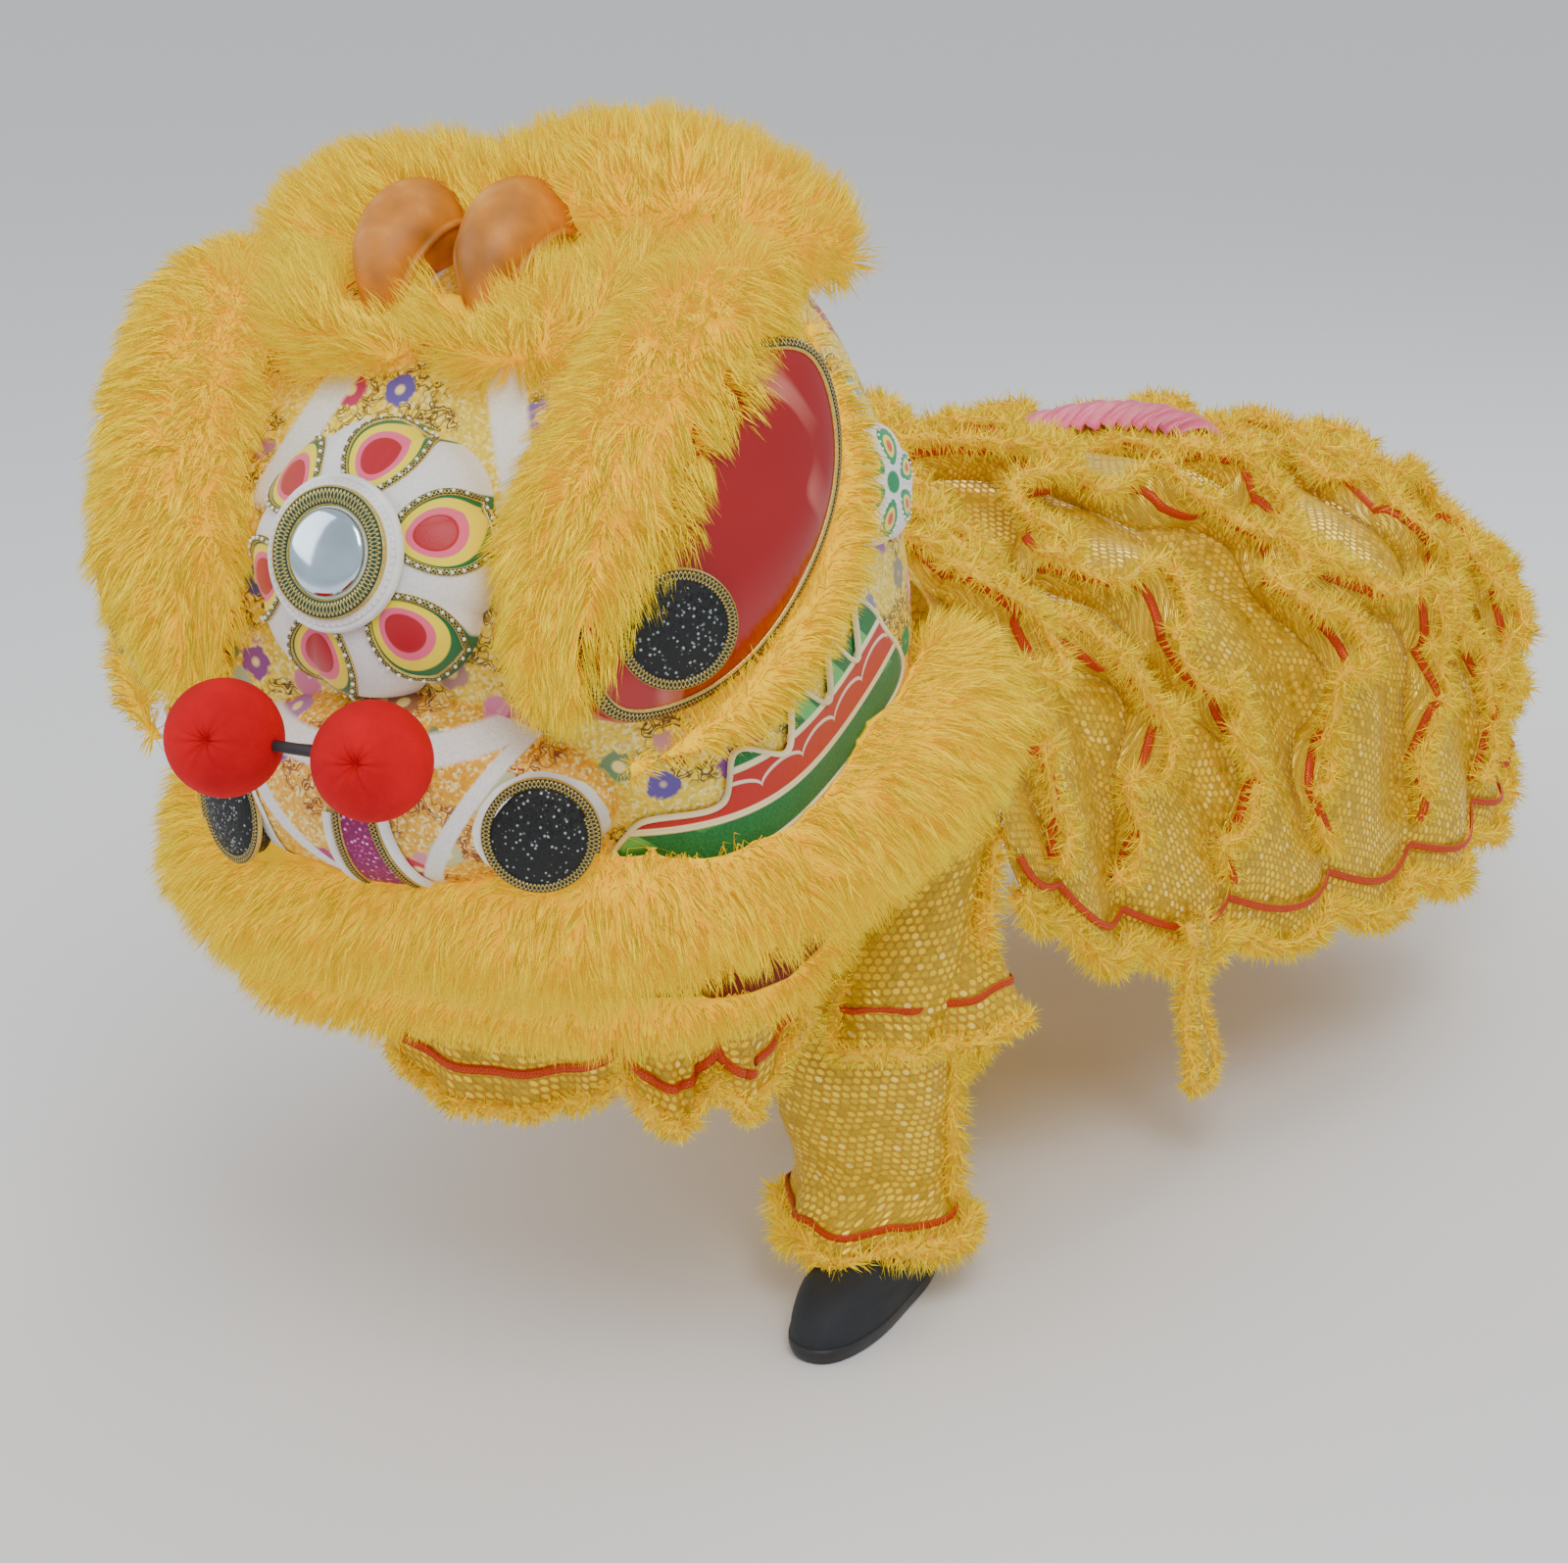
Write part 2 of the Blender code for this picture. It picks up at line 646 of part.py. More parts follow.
def make_boss(head, block):
    """The boss on the forehead, with its white disc and the mirror, each on the one below."""
    outward = Vector((0, -math.cos(BOSS_TILT), math.sin(BOSS_TILT)))
    pose = facing(head_point(*BOSS_PLACE), outward, (0, 0, 1))
    scallops = flower(BOSS_RADIUS, 8, 0.06, 24)
    boss_mesh = posed(dome(scallops, BOSS_HEIGHT, BOSS_RADIUS * 0.5, rings=3), pose)
    boss = place("forehead_boss", boss_mesh, parts, WHITE, head)
    carve(boss, block)
    boss_cutter = cutter_of(boss_mesh, head)

    disc_pose = pose @ Matrix.Translation((0, 0, BOSS_HEIGHT))
    disc_mesh = posed(dome(circle(DISC_RADIUS, 16), DISC_HEIGHT, DISC_HEIGHT * 2, rings=2), disc_pose)
    disc = place("boss_disc", disc_mesh, parts, WHITE, head)
    carve(disc, boss_cutter)

    mirror_pose = pose @ Matrix.Translation((0, 0, BOSS_HEIGHT + DISC_HEIGHT + GAP))
    mirror_mesh = posed(dome(circle(MIRROR_RADIUS, 16), MIRROR_HEIGHT, 0.0, rings=2), mirror_pose)
    mirror = place("mirror", mirror_mesh, parts, SILVER, head)
    carve(mirror, cutter_of(disc_mesh, head))
    return boss_cutter


def make_rolls(head, block, boss_cutter):
    """The brow rolls, the crown roll over the top and the lip roll round the mouth."""
    brow_mesh = fur_roll(*shares_to_head(BROW_LINE), BROW_RADIUS)
    brows = pair("brow", brow_mesh, FUR, head)
    brow_cutters = [cutter_of(brow.data, head) for brow in brows]
    for brow in brows:
        carve(brow, block, boss_cutter)
    crown_mesh = fur_roll(*across(*shares_to_head(CROWN_LINE), CROWN_LEAN), CROWN_RADIUS)
    crown = place("crown_fur", crown_mesh, parts, FUR, head)
    carve(crown, block, *brow_cutters)
    lip_mesh = fur_roll(*across(*shares_to_head(LIP_LINE)), LIP_RADIUS)
    lip = place("lip_fur", lip_mesh, parts, FUR, head)
    carve(lip, block)
    return brow_cutters, cutter_of(crown_mesh, head), cutter_of(lip_mesh, head)


def make_horns(head, block, brow_cutters, crown_cutter):
    """Two hooks that rise out of a fur collar and curl forward to a point."""
    points, sizes = smooth_line(*shares_to_head(HORN_LINE), HORN_SPACING)
    horn_mesh = round_bar(points, sizes * HORN_RADIUS, sides=10)
    horns = pair("horn", horn_mesh, LEATHER, head)
    horn_cutters = [cutter_of(horn.data, head) for horn in horns]
    for horn in horns:
        carve(horn, block, crown_cutter)
    collar_mesh = fur_roll(*across(*shares_to_head(COLLAR_LINE)), COLLAR_RADIUS, sides=6)
    collar = place("horn_fur", collar_mesh, parts, FUR, head)
    carve(collar, block, crown_cutter, *brow_cutters, *horn_cutters)


def make_eyes(head, block, brow_cutters):
    """The bulging red eyes beside the brows, their pupils, and the fur strip round each eye's outer side."""
    pose = facing(head_point(*EYE_PLACE), EYE_OUTWARD, EYE_LONG_WAY)
    eye_mesh = posed(dome(almond(EYE_LENGTH, EYE_WIDTH), EYE_BULGE, EYE_BULGE * 1.5, rings=3), pose)
    eyes = pair("eye", eye_mesh, RED_VINYL, head)
    beside, along, over = PUPIL_PLACE
    pupil_pose = pose @ Matrix.Translation((EYE_WIDTH * beside, EYE_LENGTH * along, EYE_BULGE * over))
    pupil_pose = pupil_pose @ Matrix.Rotation(PUPIL_TILT, 4, "X")
    pupil_mesh = posed(dome(circle(PUPIL_RADIUS, 14), PUPIL_BULGE, EYE_BULGE, rings=1), pupil_pose)
    pupils = pair("pupil", pupil_mesh, BLACK_SEQUIN, head)
    strip_mesh = fur_roll(*shares_to_head(EYE_FUR_LINE), EYE_FUR_RADIUS, sides=6)
    strips = pair("eye_fur", strip_mesh, FUR, head)
    strip_cutters = []
    for eye, pupil, strip, brow_cutter in zip(eyes, pupils, strips, brow_cutters):
        carve(eye, block, brow_cutter)
        eye_cutter = cutter_of(eye.data, head)
        carve(pupil, eye_cutter, brow_cutter)
        carve(strip, block, brow_cutter, eye_cutter)
        strip_cutters.append(cutter_of(strip.data, head))
    return strip_cutters


def make_nose(head, block, brow_cutters, boss_cutter, lip_cutter):
    """The muzzle, its two nostrils and the sequin strip between them."""
    nose_mesh = ball_mesh(1.0, 16, 8)
    nose_mesh.transform(
        Matrix.Translation(head_point(*NOSE_PLACE))
        @ Matrix.Diagonal((NOSE_WIDTH / 2, NOSE_DEPTH, NOSE_HEIGHT / 2, 1))
    )
    nose = place("nose", nose_mesh, parts, PRINT, head)
    carve(nose, block, boss_cutter, lip_cutter, *brow_cutters)
    nose_cutter = cutter_of(nose_mesh, head)

    pose = facing(head_point(*NOSTRIL_PLACE), NOSTRIL_OUTWARD, (0, 0, 1))
    nostril_mesh = posed(
        dome(circle(NOSTRIL_RADIUS, 14), NOSTRIL_HEIGHT, NOSTRIL_HEIGHT * 4, rings=1), pose
    )
    for nostril in pair("nostril", nostril_mesh, BLACK_SEQUIN, head):
        carve(nostril, nose_cutter, block, lip_cutter)

    half = STRIP_WIDTH / 2
    outline = [(-half * STRIP_TAPER, 1), (half * STRIP_TAPER, 1), (half, -1), (-half, -1)]
    outline = [(x, y * STRIP_HEIGHT / 2) for x, y in outline]
    pose = facing(head_point(*STRIP_PLACE), STRIP_OUTWARD, (0, 0, 1))
    strip_mesh = posed(dome(outline, NOSTRIL_HEIGHT * 0.5, NOSTRIL_HEIGHT * 4, rings=1), pose)
    strip = place("nose_strip", strip_mesh, parts, MAGENTA, head)
    carve(strip, nose_cutter, block, lip_cutter)
    return nose_cutter


def make_pompoms(head, nose_cutter):
    """Two round pompoms with a dimple, on a dark bar whose stem stands on the muzzle."""
    middle = head_point(*POMPOM_PLACE)
    lean = Vector((math.cos(POMPOM_LEAN), 0, -math.sin(POMPOM_LEAN)))
    for side, name in ((1, "pompom_left"), (-1, "pompom_right")):
        mesh = ball_mesh(POMPOM_RADIUS, 14, 9)
        for corner in mesh.vertices:
            # The gathered end of the ball is a shallow dimple.
            near = max(0.0, corner.co.z / POMPOM_RADIUS - DIMPLE_EDGE) / (1 - DIMPLE_EDGE)
            corner.co.z -= near * POMPOM_RADIUS * DIMPLE_DEPTH
        mesh.transform(facing(middle + lean * side * POMPOM_SPREAD / 2, POMPOM_OUTWARD, (0, 0, 1)))
        place(name, mesh, parts, RED_CLOTH, head)
    reach = lean * (POMPOM_SPREAD / 2 - POMPOM_RADIUS - GAP)
    rail = round_bar([middle - reach, middle + reach], [BAR_RADIUS, BAR_RADIUS])
    stem = round_bar([middle, head_point(*STEM_FOOT)], [BAR_RADIUS, BAR_RADIUS])
    bar = place("pompom_bar", rail, parts, DARK, head)
    carve(bar, cutter_of(stem, head, 0.0), operation="UNION")
    carve(bar, nose_cutter)


def make_cheeks(head, block, strip_cutters, lip_cutter):
    """The flame panel low on each cheek, and the flower boss on each temple."""
    layer = cutter_of(loft(shell_rings(extend=LIP_RADIUS)), head, CHEEK_RELIEF)
    outline = [(along * CHEEK_LENGTH, up * CHEEK_HEIGHT) for along, up in CHEEK_OUTLINE]
    pose = facing(head_point(*CHEEK_PLACE), CHEEK_OUTWARD, CHEEK_UP)
    flame_mesh = posed(dome(outline, CHEEK_HEIGHT, CHEEK_HEIGHT, rings=1), pose)
    for index, cheek in enumerate(pair("cheek", flame_mesh, GREEN, head)):
        carve(cheek, layer, operation="INTERSECT")
        carve(cheek, block, strip_cutters[index], lip_cutter)

    pose = facing(head_point(*TEMPLE_PLACE), TEMPLE_OUTWARD, (0, 0, 1))
    temple_mesh = posed(dome(flower(TEMPLE_RADIUS, 6, 0.10, 18), TEMPLE_HEIGHT, TEMPLE_RADIUS, rings=2), pose)
    for index, temple in enumerate(pair("temple_boss", temple_mesh, GREEN, head)):
        carve(temple, block, strip_cutters[index], lip_cutter)


def make_satin(head, block, crown_cutter):
    """The gathered satin puff that stands behind the crown."""
    pose = facing(head_point(*SATIN_PLACE), SATIN_OUTWARD, (0, 1, 0))
    puff_mesh = posed(dome(flower(SATIN_WIDTH / 2, 8, 0.12, 24), SATIN_HEIGHT, SATIN_HEIGHT, rings=2), pose)
    satin = place("crown_satin", puff_mesh, parts, PINK_SATIN, head)
    carve(satin, block, crown_cutter)


def rim_outline(inset):
    """The plan outline of the chin inside the shell's rim, from the right hinge round to the left one."""
    _, width, face, nape, power = SHELL_SECTIONS[0]
    front, back = -HEAD_FACE * face, HEAD_NAPE * nape
    middle, reach = (front + back) / 2, (back - front) / 2 - inset
    half = HEAD_WIDTH / 2 * width - inset
    # The outline ends behind each hinge.
    past = math.asin(((JAW_HINGE_BACK + JAW_ARM / 2 - middle) / reach) ** (power / 2))
    points = []
    for turn in np.linspace(math.pi - past, 2 * math.pi + past, 17):
        across_x, across_y = superellipse(turn, power)
        points.append((half * across_x, middle + reach * across_y))
    return points


def make_jaw(head, jaw, shell, lip_cutter):
    """The tray of the chin on its two arms with their hinge pins, the thin fur roll on its edge, and the apron
    that hangs from it. The meshes are made in the head's frame and then moved to the hinge's."""
    to_hinge = Matrix.Translation((0, -JAW_HINGE_BACK, -JAW_HINGE_HEIGHT))
    inset = SHELL_WALL + JAW_CLEARANCE
    outer = rim_outline(inset)
    chin = SHELL_SECTIONS[0][2]
    rings = []
    for x, y in outer:
        # The tray is wide and low at the chin, and narrows to the arms, which rise to the hinge.
        ahead = min(1.0, max(0.0, (JAW_HINGE_BACK - y) / (HEAD_FACE * chin + JAW_HINGE_BACK)))
        wide = JAW_ARM_WIDTH + (JAW_BAND - JAW_ARM_WIDTH) * ahead**JAW_TAPER
        inward = Vector((-x, -JAW_MIDDLE - y, 0)).normalized() * wide
        low = JAW_HINGE_HEIGHT - JAW_ARM / 2 - JAW_DROP * math.sin(math.pi / 2 * min(1.0, ahead * JAW_SLOPE))
        high = low + JAW_ARM
        rings.append(
            [(x, y, low), (x, y, high), (x + inward.x, y + inward.y, high), (x + inward.x, y + inward.y, low)]
        )
    plate_mesh = posed(loft(rings), to_hinge)
    plate = place("jaw_plate", plate_mesh, parts, DARK_RED, jaw)
    inside = cutter_of(loft(shell_rings(extend=LIP_RADIUS)), head, -SHELL_WALL * 0.25)
    half = HEAD_WIDTH / 2 * SHELL_SECTIONS[0][1]
    for side in (-1, 1):
        ends = [(side * (half - JAW_ARM * 0.6), 0, 0), (side * (half + JAW_ARM), 0, 0)]
        pin = cutter_of(round_bar(ends, [PIN_RADIUS, PIN_RADIUS]), jaw, 0.0)
        carve(pin, inside, operation="INTERSECT")
        carve(plate, pin, operation="UNION")
        hole = round_bar(ends, [PIN_RADIUS + PIN_CLEARANCE] * 2, sides=10)
        carve(shell, cutter_of(hole, jaw, 0.0))

    fur_mesh = posed(fur_roll(*across(*shares_to_head(JAW_FUR_LINE)), JAW_FUR_RADIUS, sides=6), to_hinge)
    fur = place("jaw_fur", fur_mesh, parts, FUR, jaw)
    plate_cutter = cutter_of(plate_mesh, jaw)
    clear_lip = cutter_of(lip_cutter.data, head, JAW_CLEARANCE)
    carve(fur, plate_cutter, clear_lip)

    tray_floor = JAW_HINGE_HEIGHT - JAW_ARM / 2 - JAW_DROP
    rim = np.array(rim_outline(inset + JAW_FUR_RADIUS * 1.85))
    samples = APRON_LOBES * 6
    spots = np.linspace(*APRON_SPAN, samples + 1) * (len(rim) - 1)
    edge = np.column_stack([np.interp(spots, range(len(rim)), rim[:, k]) for k in range(2)])
    grid = []
    for down in np.linspace(0, 1, 4):
        row = []
        for index, (x, y) in enumerate(edge):
            lobe = abs(math.sin(math.pi * APRON_LOBES * index / samples)) ** 0.6
            fold = APRON_WAVE * math.sin(2 * math.pi * APRON_LOBES * index / samples) * down
            drop = APRON_DROP * (1 - APRON_SCALLOP * (1 - lobe)) * down
            away = Vector((x, y + JAW_MIDDLE, 0)).normalized() * fold
            row.append((x + away.x, y + away.y, tray_floor - GAP - drop))
        grid.append(row)
    apron = place("apron", posed(sheet(grid), to_hinge), parts, SEQUIN, jaw)
    thicken(apron, APRON_WALL, 0)
    carve(apron, plate_cutter)


def smooth_rows(table, count):
    """Evenly spaced rows along a smooth curve through the rows of a table."""
    rows = np.array(table)
    ends = np.vstack([2 * rows[0] - rows[1], rows, 2 * rows[-1] - rows[-2]])
    result = []
    for place_along in np.linspace(0, len(rows) - 1, count):
        index = min(int(place_along), len(rows) - 2)
        before, start, stop, after = ends[index : index + 4]
        result.append(bent(before, start, stop, after, place_along - index))
    return np.array(result)


def body_point(along, across_share, sections):
    """A point of the body cloth's outer side, from 0 at the nape to 1 at the rump, and from the right hem (-1)
    over the spine (0) to the left hem (1)."""
    place_along = along * (len(sections) - 1)
    index = min(int(place_along), len(sections) - 2)
    hem, spine, swing, width, top, low, power = sections[index] + (sections[index + 1] - sections[index]) * (
        place_along - index
    )
    turn = math.pi / 2 * across_share
    side, rise = math.sin(turn), math.cos(turn)
    side = math.copysign(abs(side) ** (2 / power), side)
    rise = abs(rise) ** (2 / power)
    edge = abs(across_share)
    row_phase = along * (RUFFLE_ROWS + 1)
    calm = min(1.0, along * CALM_NAPE)
    puff = PUFF * abs(math.sin(math.pi * row_phase)) * calm
    often, far = GATHER_SHIFT
    gather = PUFF * GATHER_DEPTH * math.sin(across_share * GATHERS + math.sin(row_phase * often) * far) * calm
    hem_wave = HEM_WAVE * abs(math.sin(math.pi * row_phase)) * edge**4
    lag = spine + (hem - spine) * edge**HEM_LAG
    # The cloth is as wide as the head at the nape, and has its own width at the rump.
    half = (HEAD_WIDTH * NECK_SHARE * (1 - along) + BODY_WIDTH * along) / 2
    swell = 1 + (puff + gather) / half
    return Vector(
        (
            BODY_BEND * swing + half * width * side * swell,
            BODY_START + BODY_LENGTH * lag,
            BODY_HEIGHT * (low + (top - low) * rise) + (puff + gather) * rise - hem_wave,
        )
    )


def body_grid(sections):
    steps = PANELS_PER_ROW * (RUFFLE_ROWS + 1)
    rows = []
    for step in range(steps + 1):
        turns = np.linspace(-1, 1, BODY_SIDES + 1)
        rows.append([tuple(body_point(step / steps, turn, sections)) for turn in turns])
    return rows


def body_outward(along, across_share, sections):
    """The unit vector out of the body cloth at a place on it."""
    step = 0.01
    here = body_point(along, across_share, sections)
    ahead = body_point(min(1.0, along + step), across_share, sections) - here
    if along + step > 1.0:
        ahead = here - body_point(along - step, across_share, sections)
    beside = body_point(along, across_share + step, sections) - here
    return beside.cross(ahead).normalized()


def make_body(block, lip_cutter):
    """The body cloth, its rows of winding plush ruffles, the satin patch on its back and the hanging strip."""
    sections = smooth_rows(BODY_SECTIONS, 40)
    grid = body_grid(sections)
    cloth = place("body_cloth", sheet(grid), parts, SEQUIN)
    thicken(cloth, CLOTH_WALL, -1)
    carve(cloth, block, lip_cutter)
    under = place("cutter", sheet(grid), cutters)
    under.hide_render = True
    under.display_type = "WIRE"
    thicken(under, UNDER_DEPTH, -1)
    grow(under, GAP)
    above = place("cutter", sheet(grid), cutters)
    above.hide_render = True
    above.display_type = "WIRE"
    thicken(above, WAIST_DEPTH, 1)
    grow(above, CLOTH_WALL + GAP)

    satin_rows = []
    for step in range(4):
        along = SATIN_PATCH[0] + (SATIN_PATCH[1] - SATIN_PATCH[0]) * step / 3
        row = []
        for column in range(7):
            turn = SATIN_PATCH[2] + (SATIN_PATCH[3] - SATIN_PATCH[2]) * column / 6
            rib = SATIN_PATCH_RISE + SATIN_RIB * (column % 2)
            row.append(tuple(body_point(along, turn, sections) + body_outward(along, turn, sections) * rib))
        satin_rows.append(row)
    patch = place("back_satin", sheet(satin_rows), parts, PINK_SATIN)
    thicken(patch, SATIN_PATCH_RISE + RUFFLE_HEIGHT * 0.2, -1)
    carve(patch, under)

    for index in range(RUFFLE_ROWS):
        seam = grid[PANELS_PER_ROW * (index + 1)]
        row_place = (index + 1) / (RUFFLE_ROWS + 1)
        rows = []
        # A point at each corner and at the middle of each panel, short of the hems.
        samples = BODY_SIDES * 2
        for step in range(2, samples - 1):
            turn = 2 * step / samples - 1
            wave = 2 * math.pi * RUFFLE_WAVES * step / samples + index * RUFFLE_SHIFT
            outward = body_outward(row_place, turn, sections)
            root = Vector(seam[step // 2]).lerp(Vector(seam[(step + 1) // 2]), 0.5) + outward * RUFFLE_SEAT
            # The plush edge winds to and fro, and flops over towards the rump, less where the rows lie close.
            pitch = 1 / (RUFFLE_ROWS + 1)
            backward = body_point(row_place + pitch / 4, turn, sections) - body_point(row_place, turn, sections)
            backward *= 4 / (pitch * BODY_LENGTH)
            flop = backward * (RUFFLE_HEIGHT * RUFFLE_FLOP + RUFFLE_SWING * math.sin(wave)) / max(1.0, backward.length)
            rise = outward * RUFFLE_HEIGHT * RUFFLE_RISE + flop
            # It narrows towards the hems.
            rows.append([tuple(root), tuple(root + rise * min(1.0, 2.5 * (1 - abs(turn))))])
        ruffle = place(f"ruffle_{index + 1}", sheet(rows), parts, PLUSH)
        thicken(ruffle, RUFFLE_WALL, 0)
        carve(ruffle, under)

    strip = []
    for step in range(5):
        share = step / 4
        top = body_point(STRIP_ALONG, STRIP_ACROSS, sections) + Vector((STRIP_OFF, 0, STRIP_TUCK))
        middle = top + Vector((0, STRIP_SWAY * share, -STRIP_DROP * share))
        half = Vector((0.1, 1, 0)).normalized() * STRIP_BREADTH * (0.5 - 0.12 * math.sin(share * 5))
        strip.append([tuple(middle - half), tuple(middle + half)])
    hanging = place("side_strip", sheet(strip), parts, PLUSH)
    thicken(hanging, CLOTH_WALL * 4, 0)
    carve(hanging, under)
    return above


def ellipse_ring(middle, width, depth, ribs=0.0, sides=11):
    ring = []
    for step in range(sides):
        turn = 2 * math.pi * step / sides
        reach = 1 + ribs * math.cos(turn * 4 + middle[2] * 9)
        ring.append(
            (middle[0] + width / 2 * reach * math.cos(turn), middle[1] + depth / 2 * reach * math.sin(turn), middle[2])
        )
    return ring


def leg_mesh(foot, hip, shrink, extend):
    """A trouser leg from the hip down to its flared hem, its walls drawn in by a length."""
    rings = []
    bottom = FLOOR + HEM_HEIGHT
    hem = Vector((foot.x - HEM_OFFSET, foot.y, bottom))
    for height, bow, size, ribs in LEG_SECTIONS:
        middle = hem.lerp(hip, height) - Vector((0, bow * KNEE_BOW, 0))
        width = LEG_HEM_WIDTH * size - 2 * shrink
        rings.append(ellipse_ring(middle, width, width * LEG_DEPTH, ribs))
    if extend:
        rings.append([(x, y, z - extend) for x, y, z in rings[-1]])
    return loft(rings[::-1])


def shoe_mesh(foot, shrink, low, extend):
    """The shoe's form over its sole, its walls drawn in by a length."""
    rings = []
    heel = foot.y + SHOE_LENGTH * HEEL_SHARE
    for height, toe_back, width in SHOE_SECTIONS:
        level = FLOOR + SHOE_HEIGHT * height
        if level < low + FLOOR:
            continue
        toe = heel - SHOE_LENGTH * (1 - toe_back) + shrink
        middle, reach = (toe + heel - shrink) / 2, (heel - shrink - toe) / 2
        ring = []
        for step in range(SHOE_SIDES):
            across_x, across_y = superellipse(2 * math.pi * step / SHOE_SIDES, 2.5)
            ring.append((foot.x + (SHOE_WIDTH / 2 * width - shrink) * across_x, middle + reach * across_y, level))
        rings.append(ring)
    if low:
        rings.insert(0, [(x, y, FLOOR + low) for x, y, z in rings[0]])
    if extend:
        rings.append([(x, y, z + extend) for x, y, z in rings[-1]])
    return loft(rings)


def make_legs(above):
    """The trousers, open at the waist and the hems, the flap on their left knee, and the two shoes."""
    stride = Vector((-math.sin(STRIDE_TURN), math.cos(STRIDE_TURN), 0)) * STRIDE
    left_foot = Vector((FOOT_SIDE, FOOT_BACK, 0))
    feet = (left_foot, left_foot + stride)
    waist = Vector((WAIST_SIDE, WAIST_BACK, WAIST_HEIGHT))
    hips = (waist + Vector((HIP_SIDE, 0, 0)), waist - Vector((HIP_SIDE, 0, 0)))
    tubs = []
    for shrink in (0.0, TROUSER_WALL):
        rings = []
        for level, size in (SEAT_CROTCH, SEAT_HIPS, SEAT_BAND):
            middle = waist + Vector((0, 0, level))
            rings.append(ellipse_ring(middle, WAIST_WIDTH * size - 2 * shrink, WAIST_DEPTH * size - 2 * shrink))
        if shrink:
            rings.append([(x, y, z + WAIST_DEPTH / 2) for x, y, z in rings[-1]])
        tubs.append(loft(rings))
    trousers = place("trousers", tubs[0], parts, SEQUIN)
    for foot, hip in zip(feet, hips):
        carve(trousers, cutter_of(leg_mesh(foot, hip, 0.0, 0.0), None, 0.0), operation="UNION")
    carve(trousers, cutter_of(tubs[1], None, 0.0))
    for foot, hip in zip(feet, hips):
        carve(trousers, cutter_of(leg_mesh(foot, hip, TROUSER_WALL, HEM_HEIGHT * 0.3), None, 0.0))
    carve(trousers, above)
    for foot, name in zip(feet, ("shoe_left", "shoe_right")):
        outer = shoe_mesh(foot, 0.0, 0.0, 0.0)
        shoe = place(name, outer, parts, SHOE_BLACK)
        carve(shoe, cutter_of(shoe_mesh(foot, SHOE_WALL, SOLE, SHOE_HEIGHT), None, 0.0))
        carve(trousers, cutter_of(outer, None))

    flap = []
    for step in range(3):
        level = FLAP_TOP - FLAP_DROP * step / 2
        row = []
        for column in range(FLAP_PANELS + 1):
            turn = FLAP_START + FLAP_TURN * column / FLAP_PANELS
            share = (level - FLOOR - HEM_HEIGHT) / (waist.z - FLOOR - HEM_HEIGHT)
            middle = left_foot.lerp(Vector((hips[0].x, hips[0].y, 0)), share)
            reach = LEG_HEM_WIDTH * FLAP_REACH[step] * (1 + FLAP_WAVE * step * math.cos(turn * 5))
            forward = reach * LEG_DEPTH * math.sin(turn) - KNEE_BOW * FLAP_BOW
            row.append((middle.x + reach * math.cos(turn), middle.y + forward, level))
        flap.append(row)
    hanging = place("trouser_flap", sheet(flap), parts, SEQUIN)
    thicken(hanging, RUFFLE_WALL, 0)
    solid_leg = cutter_of(leg_mesh(feet[0], hips[0], 0.0, 0.0), None)
    carve(hanging, solid_leg)


def main():
    head = bpy.data.objects.new("head", None)
    parts.objects.link(head)
    head.rotation_euler = (0, -HEAD_ROLL, 0)
    jaw = bpy.data.objects.new("jaw", None)
    parts.objects.link(jaw)
    jaw.parent = head
    jaw.location = (0, JAW_HINGE_BACK, JAW_HINGE_HEIGHT)

    shell, block = make_shell(head)
    boss_cutter = make_boss(head, block)
    brow_cutters, crown_cutter, lip_cutter = make_rolls(head, block, boss_cutter)
    make_horns(head, block, brow_cutters, crown_cutter)
    strip_cutters = make_eyes(head, block, brow_cutters)
    nose_cutter = make_nose(head, block, brow_cutters, boss_cutter, lip_cutter)
    make_pompoms(head, nose_cutter)
    make_cheeks(head, block, strip_cutters, lip_cutter)
    make_satin(head, block, crown_cutter)
    make_jaw(head, jaw, shell, lip_cutter)
    above = make_body(block, lip_cutter)
    make_legs(above)


clear_scene()
parts = new_collection("lion_dance_costume")
cutters = new_collection("cutters")
FUR = material("yellow_fur", (0.95, 0.62, 0.03), 0.9)
PRINT = material("gold_print", (0.85, 0.55, 0.12), 0.5)
WHITE = material("white_felt", (0.9, 0.88, 0.84), 0.9)
SILVER = material("mirror", (0.85, 0.88, 0.9), 0.1, 1.0)
LEATHER = material("tan_leather", (0.78, 0.42, 0.14), 0.5)
RED_VINYL = material("red_vinyl", (0.7, 0.03, 0.02), 0.25)
BLACK_SEQUIN = material("black_sequin", (0.02, 0.02, 0.02), 0.35)
RED_CLOTH = material("red_cloth", (0.75, 0.01, 0.03), 0.8)
MAGENTA = material("magenta_sequin", (0.6, 0.02, 0.3), 0.4)
GREEN = material("green_felt", (0.02, 0.35, 0.1), 0.8)
PINK_SATIN = material("pink_satin", (0.85, 0.1, 0.2), 0.3)
DARK = material("dark_metal", (0.05, 0.05, 0.05), 0.5)
DARK_RED = material("dark_red_cloth", (0.25, 0.02, 0.01), 0.8)
SEQUIN = material("gold_sequin", (0.8, 0.5, 0.05), 0.35, 0.6)
PLUSH = material("yellow_plush", (0.9, 0.55, 0.04), 0.9)
SHOE_BLACK = material("black_canvas", (0.015, 0.02, 0.025), 0.7)
main()
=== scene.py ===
"""Dresses the lion dance costume in deep fur, printed and sequin cloth, felt, vinyl, leather and plush."""

